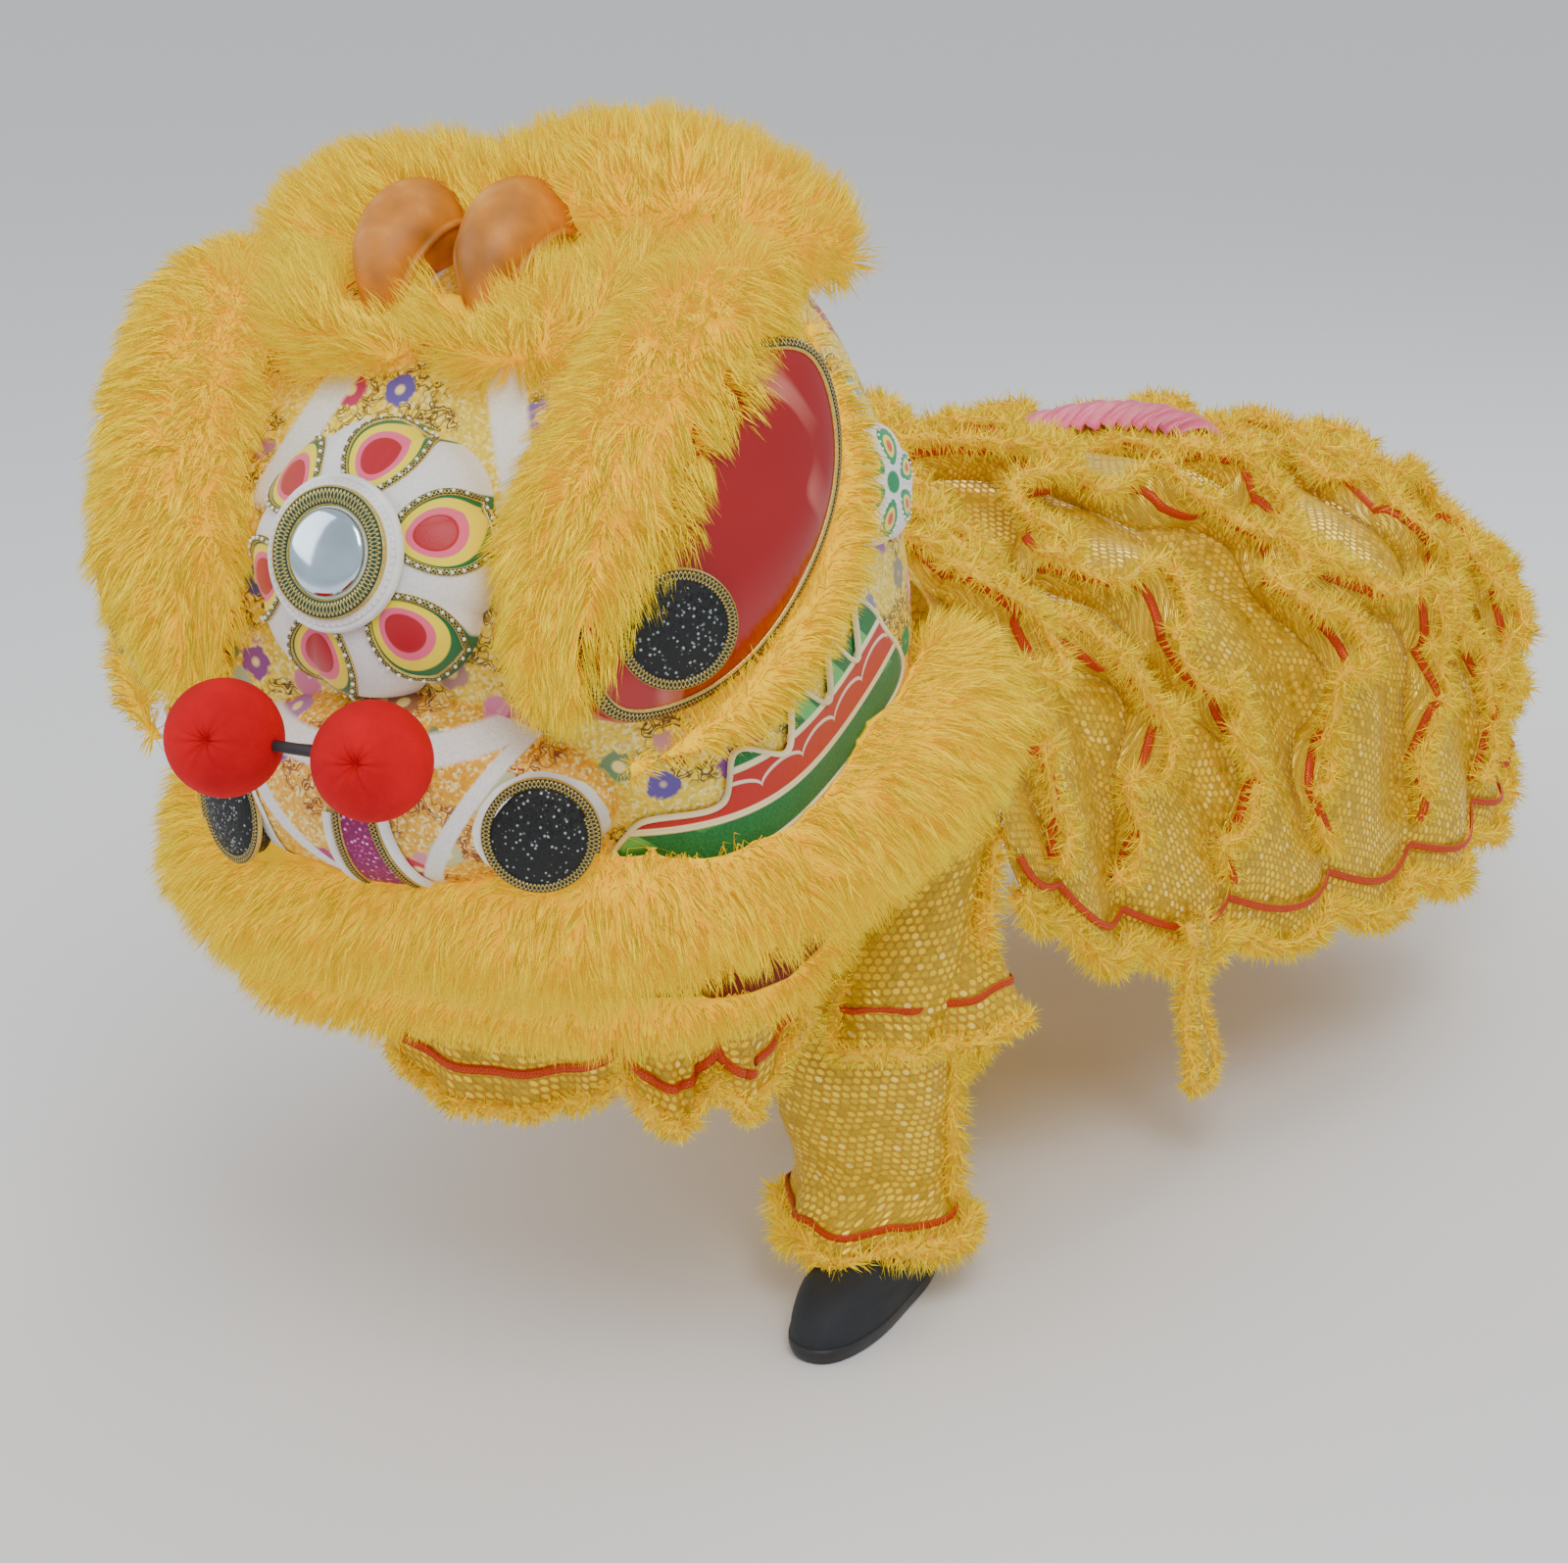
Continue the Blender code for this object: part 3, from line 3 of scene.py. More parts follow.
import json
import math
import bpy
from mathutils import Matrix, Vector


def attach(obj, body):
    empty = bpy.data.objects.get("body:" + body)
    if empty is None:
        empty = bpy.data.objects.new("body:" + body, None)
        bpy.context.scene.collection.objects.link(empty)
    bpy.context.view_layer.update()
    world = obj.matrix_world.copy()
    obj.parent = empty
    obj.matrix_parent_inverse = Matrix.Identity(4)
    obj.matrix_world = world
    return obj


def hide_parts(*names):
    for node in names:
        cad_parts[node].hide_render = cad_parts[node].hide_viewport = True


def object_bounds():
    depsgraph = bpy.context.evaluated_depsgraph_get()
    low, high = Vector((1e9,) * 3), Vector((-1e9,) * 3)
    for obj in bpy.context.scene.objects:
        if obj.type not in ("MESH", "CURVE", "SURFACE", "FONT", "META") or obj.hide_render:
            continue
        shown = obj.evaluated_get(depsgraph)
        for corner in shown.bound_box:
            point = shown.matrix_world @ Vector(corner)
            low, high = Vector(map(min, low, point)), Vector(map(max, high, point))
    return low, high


bl_info = {
    "name": "Lion Dance Costume",
    "version": (1, 0, 0),
    "blender": (4, 5, 0),
    "location": "3D Viewport > Sidebar > Lion",
    "description": "Dresses the solids of a lion dance costume with fur, cloth and trim",
    "category": "Object",
}

import bmesh
import bpy
import numpy as np
from bpy.props import FloatProperty, FloatVectorProperty, PointerProperty
from mathutils import Matrix, Vector, noise
from mathutils.bvhtree import BVHTree

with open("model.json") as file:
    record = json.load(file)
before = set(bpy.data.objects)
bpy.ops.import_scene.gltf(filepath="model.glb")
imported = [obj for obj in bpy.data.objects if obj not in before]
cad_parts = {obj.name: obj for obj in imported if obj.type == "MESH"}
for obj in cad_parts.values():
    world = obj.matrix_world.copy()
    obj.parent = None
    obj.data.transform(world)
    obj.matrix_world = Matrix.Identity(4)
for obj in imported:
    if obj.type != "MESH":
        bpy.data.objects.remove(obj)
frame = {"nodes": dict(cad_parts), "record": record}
SOLID_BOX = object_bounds()
NODES = frame["nodes"]
BODY_OF = {node: body for body, nodes in frame["record"]["behaviour"]["bodies"].items() for node in nodes}
SLOT_OF = {row["node"]: row["material_slot"] for row in frame["record"]["subparts"]}

MOST_STRANDS = 52000  # of one piece
CM2_IN_M2 = 1e4
CLOTH_WALL = 0.002
FUR_COMB = 0.45  # how far the fur lies along its flow
NAP_WIDTH, NAP_DROOP, NAP_LEAN, NAP_DENSITY = 0.0021, 0.15, 0.42, 12.0
# How full each stuffed piece is.
PADDED = {
    "pompom_left": 0.9,
    "pompom_right": 0.9,
    "horn_left": 0.8,
    "horn_right": 0.8,
    "forehead_boss": 0.8,
    "nose": 0.8,
    "temple_boss_left": 0.7,
    "temple_boss_right": 0.7,
    "crown_satin": 0.5,
}
FLOOR = SOLID_BOX[0][2]
HEAD = Matrix.Rotation(math.radians(-5.0), 4, "Y")  # the head leans with its left side up
HALF_HEAD, HEAD_FACE, HEAD_NAPE, HEAD_HEIGHT, HEAD_RIM = 0.32, 0.345, 0.17, 0.565, -0.215

# The shell's sections: height, width, reach to the face and to the nape as shares, and how square it is.
SHELL_SECTIONS = (
    # height, width, face, nape, squareness
    (0.00, 0.93, 0.82, 0.94, 4.0),
    (0.17, 0.97, 0.90, 0.98, 4.0),
    (0.34, 1.00, 0.97, 1.00, 3.8),
    (0.52, 0.98, 0.94, 1.00, 3.4),
    (0.68, 0.91, 0.80, 0.98, 3.0),
    (0.82, 0.77, 0.60, 0.92, 2.6),
    (0.92, 0.56, 0.38, 0.75, 2.3),
    (0.98, 0.30, 0.17, 0.45, 2.0),
    (0.985, 0.02, 0.02, 0.02, 2.0),
)

BODY_START, BODY_LENGTH, BODY_WIDTH, BODY_HEIGHT, BODY_BEND = 0.10, 1.40, 0.90, 0.56, 0.18
RUFFLE_ROWS = 8
PUFF = 0.022
NAPE_SPREAD = 1.40625  # the cloth at the nape is this much wider than the head
HEM_WAVE = 0.030
# Sections across the body cloth, from the nape to the rump, as shares of the sizes above.
BODY_SECTIONS = (
    # hem place, spine place, swing, width, spine height, hem height, how full the arch is
    (0.11, 0.000, 0.00, 0.76, 0.28, -0.60, 2.2),
    (0.15, 0.060, 0.00, 0.79, 0.09, -0.70, 2.2),
    (0.21, 0.140, 0.04, 0.83, -0.03, -0.81, 2.2),
    (0.30, 0.250, 0.12, 0.87, -0.10, -0.88, 2.2),
    (0.39, 0.370, 0.24, 0.92, -0.12, -0.92, 2.2),
    (0.49, 0.490, 0.41, 0.97, -0.14, -0.95, 2.2),
    (0.58, 0.610, 0.60, 0.99, -0.17, -0.97, 2.2),
    (0.68, 0.730, 0.77, 0.96, -0.20, -0.97, 2.2),
    (0.76, 0.840, 0.89, 0.92, -0.27, -0.95, 2.3),
    (0.81, 0.930, 0.97, 0.88, -0.38, -0.92, 2.4),
    (0.84, 0.980, 1.00, 0.84, -0.58, -0.88, 2.5),
    (0.85, 1.000, 1.01, 0.82, -0.82, -0.86, 2.5),
)


class LionFur(bpy.types.PropertyGroup):
    """The deep fur."""

    length: FloatProperty(name="Fur Length", description="Length of a strand", default=0.042, unit="LENGTH")
    width: FloatProperty(name="Strand Width", description="Width of a strand", default=0.0012, unit="LENGTH")
    density: FloatProperty(name="Density", description="Strands per square centimetre", default=10.0)
    # The darker roots and paler tips are painted shade and painted light, used by fur_finish.
    root: FloatVectorProperty(
        name="Root", description="Colour at the roots", default=(1.0, 0.57, 0.0), subtype="COLOR"
    )
    middle: FloatVectorProperty(
        name="Middle", description="Colour half way up", default=(1.0, 0.68, 0.0), subtype="COLOR"
    )
    tip: FloatVectorProperty(
        name="Tip", description="Colour at the tips", default=(1.0, 0.83, 0.02), subtype="COLOR"
    )


class LionCloth(bpy.types.PropertyGroup):
    """The cloth of the body and the trousers."""

    ground: FloatVectorProperty(
        name="Cloth", description="Colour of the mesh cloth", default=(0.60, 0.31, 0.0), subtype="COLOR"
    )
    sequin: FloatVectorProperty(
        name="Sequins", description="Colour of the sequins", default=(1.0, 0.72, 0.01), subtype="COLOR"
    )
    pitch: FloatProperty(name="Pitch", description="Distance between sequins", default=0.0095, unit="LENGTH")
    plush: FloatVectorProperty(
        name="Plush", description="Colour of the plush edges", default=(1.0, 0.76, 0.01), subtype="COLOR"
    )


class LionTrim(bpy.types.PropertyGroup):
    """The felt, braid and vinyl of the face."""

    red: FloatVectorProperty(
        name="Red", description="Red felt", default=(0.70, 0.006, 0.020), subtype="COLOR"
    )
    green: FloatVectorProperty(
        name="Green", description="Green felt", default=(0.0, 0.20, 0.055), subtype="COLOR"
    )
    vinyl: FloatVectorProperty(
        name="Eye", description="Red vinyl", default=(0.34, 0.0, 0.001), subtype="COLOR"
    )
    leather: FloatVectorProperty(
        name="Horn", description="Leather", default=(0.62, 0.21, 0.015), subtype="COLOR"
    )


class Wire:
    """A socket of a node tree. Arithmetic on it adds Math nodes."""

    def __init__(self, tree, socket=None):
        self.tree = tree
        self.socket = socket

    def node(self, kind, settings=None, inputs=None, output=0):
        """A new node: its settings are set first, then its sockets get their values or links."""
        made = self.tree.nodes.new("ShaderNode" + kind)
        for name, value in (settings or {}).items():
            if name == "stops":
                ramp = made.color_ramp
                while len(ramp.elements) < len(value):
                    ramp.elements.new(0.5)
                for element, (place, color) in zip(ramp.elements, value):
                    element.position = place
                    element.color = (*color, 1.0)
            else:
                setattr(made, name, value)
        for name, value in (inputs or {}).items():
            if isinstance(value, Wire):
                self.tree.links.new(value.socket, made.inputs[name])
            elif isinstance(value, tuple) and len(value) == 3 and made.inputs[name].type == "RGBA":
                made.inputs[name].default_value = (*value, 1.0)
            else:
                made.inputs[name].default_value = value
        return Wire(self.tree, made.outputs[output])

    def math(self, operation, *others, clamp=False):
        inputs = {index: value for index, value in enumerate((self, *others))}
        return self.node("Math", {"operation": operation, "use_clamp": clamp}, inputs)

    def __add__(self, other):
        return self.math("ADD", other)

    __radd__ = __add__

    def __mul__(self, other):
        return self.math("MULTIPLY", other)

    __rmul__ = __mul__

    def __sub__(self, other):
        return self.math("SUBTRACT", other)

    def __rsub__(self, other):
        return self.node("Math", {"operation": "SUBTRACT"}, {0: other, 1: self})

    def __truediv__(self, other):
        return self.math("DIVIDE", other)

    def __mod__(self, other):
        return self.math("FLOORED_MODULO", other)

    def __abs__(self):
        return self.math("ABSOLUTE")

    def either(self, other):
        return self.math("MAXIMUM", other)

    def sin(self):
        return self.math("SINE")

    def floor(self):
        return self.math("FLOOR")

    def near(self, value, width, soft=0.3):
        """1 where this lies within a width of a value, with soft edges."""
        return (1.0 - (abs(self - value) - width) / (width * soft)).math("ADD", 0.0, clamp=True)

    def step(self, edge, soft):
        """0 below an edge and 1 above it, with a soft change."""
        return ((self - edge) / soft + 0.5).math("ADD", 0.0, clamp=True)

    def mix(self, low, high):
        """The colour between two, with this as the factor."""
        return self.node("Mix", {"data_type": "RGBA"}, {0: self, 6: low, 7: high}, output=2)

    def along(self, axis, origin=(0.0, 0.0, 0.0)):
        """How far this place lies from an origin along an axis."""
        moved = self.node("VectorMath", {"operation": "SUBTRACT"}, {0: self, 1: tuple(origin)})
        return moved.node("VectorMath", {"operation": "DOT_PRODUCT"}, {0: moved, 1: tuple(axis)}, output=1)

    def noise(self, scale, detail=3.0, roughness=0.5):
        return self.node(
            "TexNoise", None, {"Vector": self, "Scale": scale, "Detail": detail, "Roughness": roughness}
        )

    def cells(self, scale, output=0):
        return self.node("TexVoronoi", None, {"Vector": self, "Scale": scale}, output)

    def channel(self):
        """The first channel of a colour."""
        return self.node("SeparateColor", None, {0: self})

    def times(self, other):
        """This colour multiplied by another."""
        settings = {"data_type": "RGBA", "blend_type": "MULTIPLY"}
        return self.node("Mix", settings, {0: 1.0, 6: self, 7: other}, 2)

    def ramp(self, *stops):
        return self.node("ValToRGB", {"stops": stops}, {0: self})

    def bump(self, strength, distance):
        return self.node("Bump", None, {"Height": self, "Strength": strength, "Distance": distance})

    def number(self, name):
        """A number that the mesh holds at each point."""
        return self.node("Attribute", {"attribute_name": name}, None, output=2)


def toned(color, share):
    """A colour times a share, with no channel over 1."""
    return tuple(min(1.0, value * share) for value in color)


def finish_of(name, paint, **constants):
    """A material whose varying sockets come from paint(spot), and whose others are the same all over."""
    made = bpy.data.materials.new(name)
    made.use_nodes = True
    tree = made.node_tree
    surface = tree.nodes["Principled BSDF"]
    for socket, value in constants.items():
        surface.inputs[socket.replace("_", " ")].default_value = value
    spot = Wire(tree).node("TexCoord", None, None, output=3)
    for socket, value in paint(spot).items():
        if isinstance(value, Wire):
            tree.links.new(value.socket, surface.inputs[socket])
        elif isinstance(value, tuple):
            surface.inputs[socket].default_value = (*value, 1.0)
        else:
            surface.inputs[socket].default_value = value
    return made


def painted(name, color, roughness=0.8, grain=400.0, lift=0.0004, **constants):
    """A cloth or paint of one colour with a fine grain and slight blotches."""

    def paint(spot):
        blotch = spot.noise(18.0)
        tone = blotch.ramp((0.3, toned(color, 0.78)), (0.7, toned(color, 1.12)))
        height = spot.noise(grain, 2.0)
        return {
            "Base Color": tone,
            "Roughness": roughness + (height - 0.5) * 0.15,
            "Normal": height.bump(0.5, lift),
        }

    return finish_of(name, paint, **constants)


def fur_finish(settings):
    def strand(spot):
        reach, tint = spot.number("reach"), spot.number("tint")
        root, middle, tip = (tuple(color) for color in (settings.root, settings.middle, settings.tip))
        # The orange roots are painted shade deep in the pile, and the pale tips are painted light at the fur's
        # edges.
        color = reach.ramp((0.0, root), (0.45, middle), (1.0, tip))
        shade = tint.ramp((0.0, (0.97, 0.86, 0.8)), (0.4, (1.0, 0.97, 0.95)), (1.0, (1.0, 1.0, 1.0)))
        blend = color.times(shade)
        return {"Base Color": blend, "Emission Color": blend}

    def skin(spot):
        tufts = spot.cells(60.0)
        # The skin is painted darker orange between its tufts, as painted shade.
        color = tufts.ramp((0.0, tuple(settings.middle)), (0.8, tuple(settings.root)))
        return {"Base Color": color, "Emission Color": color, "Normal": tufts.bump(0.8, 0.006)}

    # The emission is painted light: the fur and its skin glow a little in their own colour, which lightens the
    # shade between the strands.
    constants = {"Roughness": 0.9, "Specular_IOR_Level": 0.0, "Emission_Strength": 0.42}
    return finish_of("fur_strands", strand, **constants), finish_of("fur_skin", skin, **constants)


def sequin_finish(settings):
    """Mesh cloth with rows of small sequins, each at its own tilt, and each painted with its own glint or shade.
    """
    pitch = settings.pitch
    cloth = tuple(settings.ground)
    bright = tuple(settings.sequin)

    def paint(spot):
        across, along = spot.number("across"), spot.number("along")
        row = (along / (pitch * 0.82)).floor()
        shifted = across / pitch + (row % 2.0) * 0.5
        column = shifted.floor()
        side = shifted - column - 0.5
        rise = along / (pitch * 0.82) - row - 0.5
        away = (side * side * 1.1 + rise * rise).math("SQRT")
        disc = 1.0 - away.step(0.40, 0.10)
        place = column.node("CombineXYZ", None, {0: column, 1: row, 2: 0.0})
        chance = place.node("TexWhiteNoise", None, {"Vector": place}, 0)
        # Each sequin's colour is a painted glint or painted shade, picked at random.
        glint = chance.ramp(
            (0.0, toned(bright, 0.40)), (0.5, toned(bright, 0.8)), (0.9, bright), (1.0, (1.0, 0.84, 0.20))
        )
        weave = spot.noise(260.0, 2.0)
        base = weave.ramp((0.35, toned(cloth, 0.72)), (0.65, cloth))
        return {
            "Base Color": disc.mix(base, glint),
            "Roughness": 0.75 - disc * 0.48,
            "Metallic": disc * 0.3,
            # The cloth glows faintly in its ground colour: painted light.
            "Emission Color": base,
            "Normal": (disc * 0.6 + disc * (side * (chance - 0.5) * 3.0) + weave * 0.2).bump(0.7, 0.0012),
        }

    return finish_of("sequin_cloth", paint, Emission_Strength=0.12)


def braid_finish(name, ground, thread):
    """A flat braid: two threads that cross over each other along it."""

    def paint(spot):
        across, along = spot.number("across"), spot.number("along")
        swing = (along * 900.0).sin() * 0.55
        first = across.near(swing, 0.13, 0.5)
        second = across.near(swing * -1.0, 0.13, 0.5)
        edge = abs(across).near(0.92, 0.09, 0.5)
        mask = first.either(second).either(edge)
        spark = spot.noise(900.0, 1.0)
        lit = spark.ramp((0.35, toned(thread, 0.55)), (0.65, thread))
        return {
            "Base Color": mask.mix(ground, lit),
            "Roughness": 0.7 - mask * 0.35,
            "Metallic": mask * 0.5,
            "Normal": (mask + spark * 0.2).bump(0.8, 0.0012),
        }

    return finish_of(name, paint)


def plain_mesh(points, faces):
    mesh = bpy.data.meshes.new("shape")
    mesh.from_pydata([tuple(point) for point in points], [], faces)
    mesh.update()
    return mesh


def grid_mesh(grid, closed=False, ends=False):
    """A surface through rows of points. Its columns join up if it is closed."""
    grid = np.asarray(grid, dtype=float)
    rows, columns = grid.shape[:2]
    faces = []
    for row in range(rows - 1):
        for column in range(columns if closed else columns - 1):
            following = (column + 1) % columns
            low, high = row * columns, (row + 1) * columns
            faces.append((low + column, low + following, high + following, high + column))
    if ends:
        faces += [tuple(range(columns))[::-1], tuple(range((rows - 1) * columns, rows * columns))]
    return plain_mesh(grid.reshape(-1, 3), faces)


def give(mesh, name, values):
    """Stores a number for each point of a mesh."""
    data = mesh.attributes.new(name, "FLOAT", "POINT")
    data.data.foreach_set("value", np.asarray(values, dtype=np.float32).ravel())


def cloth_places(mesh, grid):
    """Stores each grid point's distance across and along the cloth."""
    grid = np.asarray(grid, dtype=float)
    over = np.linalg.norm(np.diff(grid, axis=1), axis=2)
    down = np.linalg.norm(np.diff(grid, axis=0), axis=2)
    across = np.hstack([np.zeros((len(grid), 1)), np.cumsum(over, axis=1)])
    across -= across[:, across.shape[1] // 2][:, None]
    along = np.vstack([np.zeros((1, grid.shape[1])), np.cumsum(down, axis=0)])
    middle = along[:, along.shape[1] // 2][:, None]
    give(mesh, "across", across)
    give(mesh, "along", middle + (along - middle) * 0.3)


def piece(name, mesh, finish, stands_for=(), slot=None, body="costume", smooth=True):
    """A shown piece with its finish or finishes, riding on a body, which may stand for some of the solids."""
    obj = bpy.data.objects.new(name, mesh)
    bpy.context.scene.collection.objects.link(obj)
    finishes = [finish] if isinstance(finish, str) else finish
    if finishes:
        mesh.materials.clear()
    for one in finishes:
        mesh.materials.append(look(one))
    if smooth:
        mesh.shade_smooth()
    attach(obj, body)
    if stands_for:
        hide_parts(*stands_for)
        slot = slot or SLOT_OF[stands_for[0]]
    for node in stands_for:
        node in PADDED
    return obj


def solidify(obj, wall, offset=-1.0):
    modifier = obj.modifiers.new("Wall", "SOLIDIFY")
    modifier.thickness = wall
    modifier.offset = offset
    return modifier


def applied(obj):
    """The mesh of an object with its modifiers applied. The object is then removed."""
    graph = bpy.context.evaluated_depsgraph_get()
    mesh = bpy.data.meshes.new_from_object(obj.evaluated_get(graph))
    bpy.data.objects.remove(obj)
    return mesh


def softened(node, voxel, inset):
    """A rounded copy of a solid's mesh, drawn in by a length."""
    obj = bpy.data.objects.new("soft", NODES[node].data.copy())
    bpy.context.scene.collection.objects.link(obj)
    obj.data.materials.clear()
    remesh = obj.modifiers.new("Even", "REMESH")
    remesh.mode = "VOXEL"
    remesh.voxel_size = voxel
    relax = obj.modifiers.new("Relax", "SMOOTH")
    relax.factor = 0.6
    relax.iterations = 10
    draw_in = obj.modifiers.new("Draw", "DISPLACE")
    draw_in.mid_level = 0.0
    draw_in.strength = -inset
    return applied(obj)


def between(before, start, stop, after, share):
    """The place at a share of the way from the second to the third of four points on a smooth curve."""
    bend = 2 * before - 5 * start + 4 * stop - after
    twist = 3 * start - before - 3 * stop + after
    return start + 0.5 * share * (stop - before + share * (bend + share * twist))


def smooth_rows(table, count):
    """Evenly spaced rows along a smooth curve through the rows of a table."""
    rows = np.array(table, dtype=float)
    ends = np.vstack([2 * rows[0] - rows[1], rows, 2 * rows[-1] - rows[-2]])
    result = []
    for place in np.linspace(0, len(rows) - 1, count):
        index = min(int(place), len(rows) - 2)
        result.append(between(*ends[index : index + 4], place - index))
    return np.array(result)


def superellipse(angle, power):
    x, y = math.cos(angle), math.sin(angle)
    return math.copysign(abs(x) ** (2 / power), x), math.copysign(abs(y) ** (2 / power), y)


def facing(location, outward, upward):
    """The pose in the head's frame whose local +Z points outwards, and +Y as near upwards as can be."""
    normal = Vector(outward).normalized()
    up = Vector(upward)
    up = (up - normal * up.dot(normal)).normalized()
    turned = Matrix((up.cross(normal), up, normal)).transposed().to_4x4()
    return HEAD @ Matrix.Translation(Vector(location)) @ turned


def head_point(left, forward, up):
    return Vector((HALF_HEAD * left, -HEAD_FACE * forward, HEAD_HEIGHT * up))


def moved(mesh, pose):
    mesh.transform(pose)
    return mesh


def tree_of(mesh):
    """The search tree of a mesh."""
    points = [v.co.copy() for v in mesh.vertices]
    return BVHTree.FromPolygons(points, [tuple(f.vertices) for f in mesh.polygons])


def area_of(mesh):
    return sum(face.area for face in mesh.polygons)


def length_of(points):
    return float(np.linalg.norm(np.diff(points, axis=0), axis=1).sum())


def without_faces(mesh, gone):
    """The mesh without the faces that a test picks and the points that they leave loose."""
    work = bmesh.new()
    work.from_mesh(mesh)
    work.verts.ensure_lookup_table()
    bmesh.ops.delete(work, geom=[face for face in work.faces if gone(face)], context="FACES")
    bmesh.ops.delete(work, geom=[v for v in work.verts if not v.link_faces], context="VERTS")
    work.to_mesh(mesh)
    work.free()
    return mesh


def numbers_of(things, name, kind=float):
    """The threes of numbers that a mesh's points or triangles hold."""
    values = np.empty(len(things) * 3, dtype=kind)
    things.foreach_get(name, values)
    return values.reshape(-1, 3)


def surroundings(without):
    """One search tree of the solids, apart from those that are named."""
    points, faces = [], []
    for name, obj in NODES.items():
        if name in without or name.startswith("ruffle"):
            continue
        start = len(points)
        points += [corner.co.copy() for corner in obj.data.vertices]
        faces += [[start + corner for corner in face.vertices] for face in obj.data.polygons]
    return BVHTree.FromPolygons(points, faces)


def scattered(mesh, density, seed):
    """Random points on a mesh, so many to the square centimetre, with the normals there."""
    mesh.calc_loop_triangles()
    corners = numbers_of(mesh.vertices, "co")
    normals = numbers_of(mesh.vertices, "normal")
    faces = numbers_of(mesh.loop_triangles, "vertices", np.int64)
    a, b, c = (corners[faces[:, k]] for k in range(3))
    areas = np.linalg.norm(np.cross(b - a, c - a), axis=1) / 2
    chance = np.random.default_rng(seed)
    count = min(int(density * areas.sum() * CM2_IN_M2), MOST_STRANDS)
    chosen = chance.choice(len(faces), count, p=areas / areas.sum())
    u, v = chance.random((2, count))
    flip = u + v > 1
    u[flip], v[flip] = 1 - u[flip], 1 - v[flip]
    shares = np.column_stack([1 - u - v, u, v])[:, :, None]
    spots = (corners[faces[chosen]] * shares).sum(axis=1)
    ways = (normals[faces[chosen]] * shares).sum(axis=1)
    return spots, unit(ways), chance


def unit(rows):
    return rows / np.maximum(np.linalg.norm(rows, axis=1), 1e-9)[:, None]


def blades(spots, middles, tips, ways, widths, tint, chance):
    """Tapered bent blades from roots over middles to tips."""
    count = len(spots)
    side = unit(np.cross(tips - spots, unit(chance.normal(size=(count, 3))))) * widths[:, None] / 2
    points = np.empty((count, 5, 3))
    points[:, 0], points[:, 1] = spots - side, spots + side
    points[:, 2], points[:, 3] = middles + side * 0.8, middles - side * 0.8
    points[:, 4] = tips
    mesh = bpy.data.meshes.new("blades")
    mesh.vertices.add(count * 5)
    mesh.vertices.foreach_set("co", points.ravel())
    first = (np.arange(count) * 5)[:, None]
    mesh.loops.add(count * 7)
    mesh.loops.foreach_set("vertex_index", (first + np.array([0, 1, 2, 3, 3, 2, 4])).ravel())
    mesh.polygons.add(count * 2)
    mesh.polygons.foreach_set("loop_start", ((np.arange(count) * 7)[:, None] + np.array([0, 4])).ravel())
    mesh.update()
    mesh.validate()
    give(mesh, "reach", np.tile([0.0, 0.0, 0.5, 0.5, 1.0], count))
    give(mesh, "tint", np.repeat(tint, 5))
    mesh.shade_smooth()
    # The strands take the light as the roll under them does.
    shown = unit(np.repeat(ways, 5, axis=0))
    mesh.normals_split_custom_set_from_vertices(shown.tolist())
    return mesh


def grow_fur(skin, flow, length, width, density, seed, without, clump, bare):
    """Fur on a skin. It lies along a flow, gathers in tufts, and stops short of the pieces beside it."""
    spots, ways, chance = scattered(skin, density, seed)
    tree = surroundings(without)
    room = np.full(len(spots), 1.0)
    for index, (spot, way) in enumerate(zip(spots, ways)):
        _, _, _, distance = tree.ray_cast(Vector(spot + way * 0.001), Vector(way), length)
        if distance is not None:
            room[index] = distance / length
    keep = room > 0.42
    spots, ways, room = spots[keep], ways[keep], np.minimum(1.0, room[keep])
    count = len(spots)
    stream = unit(np.array([flow(spot) for spot in spots]))
    stream = stream - ways * (stream * ways).sum(axis=1)[:, None]
    # Each tuft has its own lean and length.
    cell = np.floor(spots / clump + chance.random(3)).astype(np.int64)
    _, tuft = np.unique(cell, axis=0, return_inverse=True)
    tuft = tuft.ravel()
    lean = chance.normal(size=(tuft.max() + 1, 3))[tuft] * 0.13
    tall = chance.uniform(0.86, 1.10, tuft.max() + 1)[tuft]
    tone = chance.random(tuft.max() + 1)[tuft]
    long = length * tall * chance.uniform(0.70, 1.12, count) * np.minimum(1.0, room * 1.1)
    start = unit(ways + stream * FUR_COMB + lean + chance.normal(size=(count, 3)) * 0.10)
    bend = start + stream * FUR_COMB * 0.9 + chance.normal(size=(count, 3)) * 0.10
    bend = unit(bend + np.array([0, 0, -0.22]))
    middles = spots + start * long[:, None] * 0.5
    tips = middles + bend * long[:, None] * 0.5
    sums = np.zeros((tuft.max() + 1, 3))
    np.add.at(sums, tuft, tips)
    mean = sums / np.bincount(tuft)[:, None]
    tips += (mean[tuft] - tips) * chance.uniform(0.1, 0.5, count)[:, None]
    free = np.ones(count, dtype=bool)
    for centre, radius in bare:
        for place in (middles, tips):
            free &= np.linalg.norm(place - centre, axis=1) > radius
    spots, middles, tips, ways, tone, tuft = (rows[free] for rows in (spots, middles, tips, ways, tone, tuft))
    count = len(spots)
    tint = np.clip(tone * 0.45 + chance.random(count) * 0.55, 0, 1)
    return blades(spots, middles, tips, ways, width * chance.uniform(0.7, 1.3, count), tint, chance)


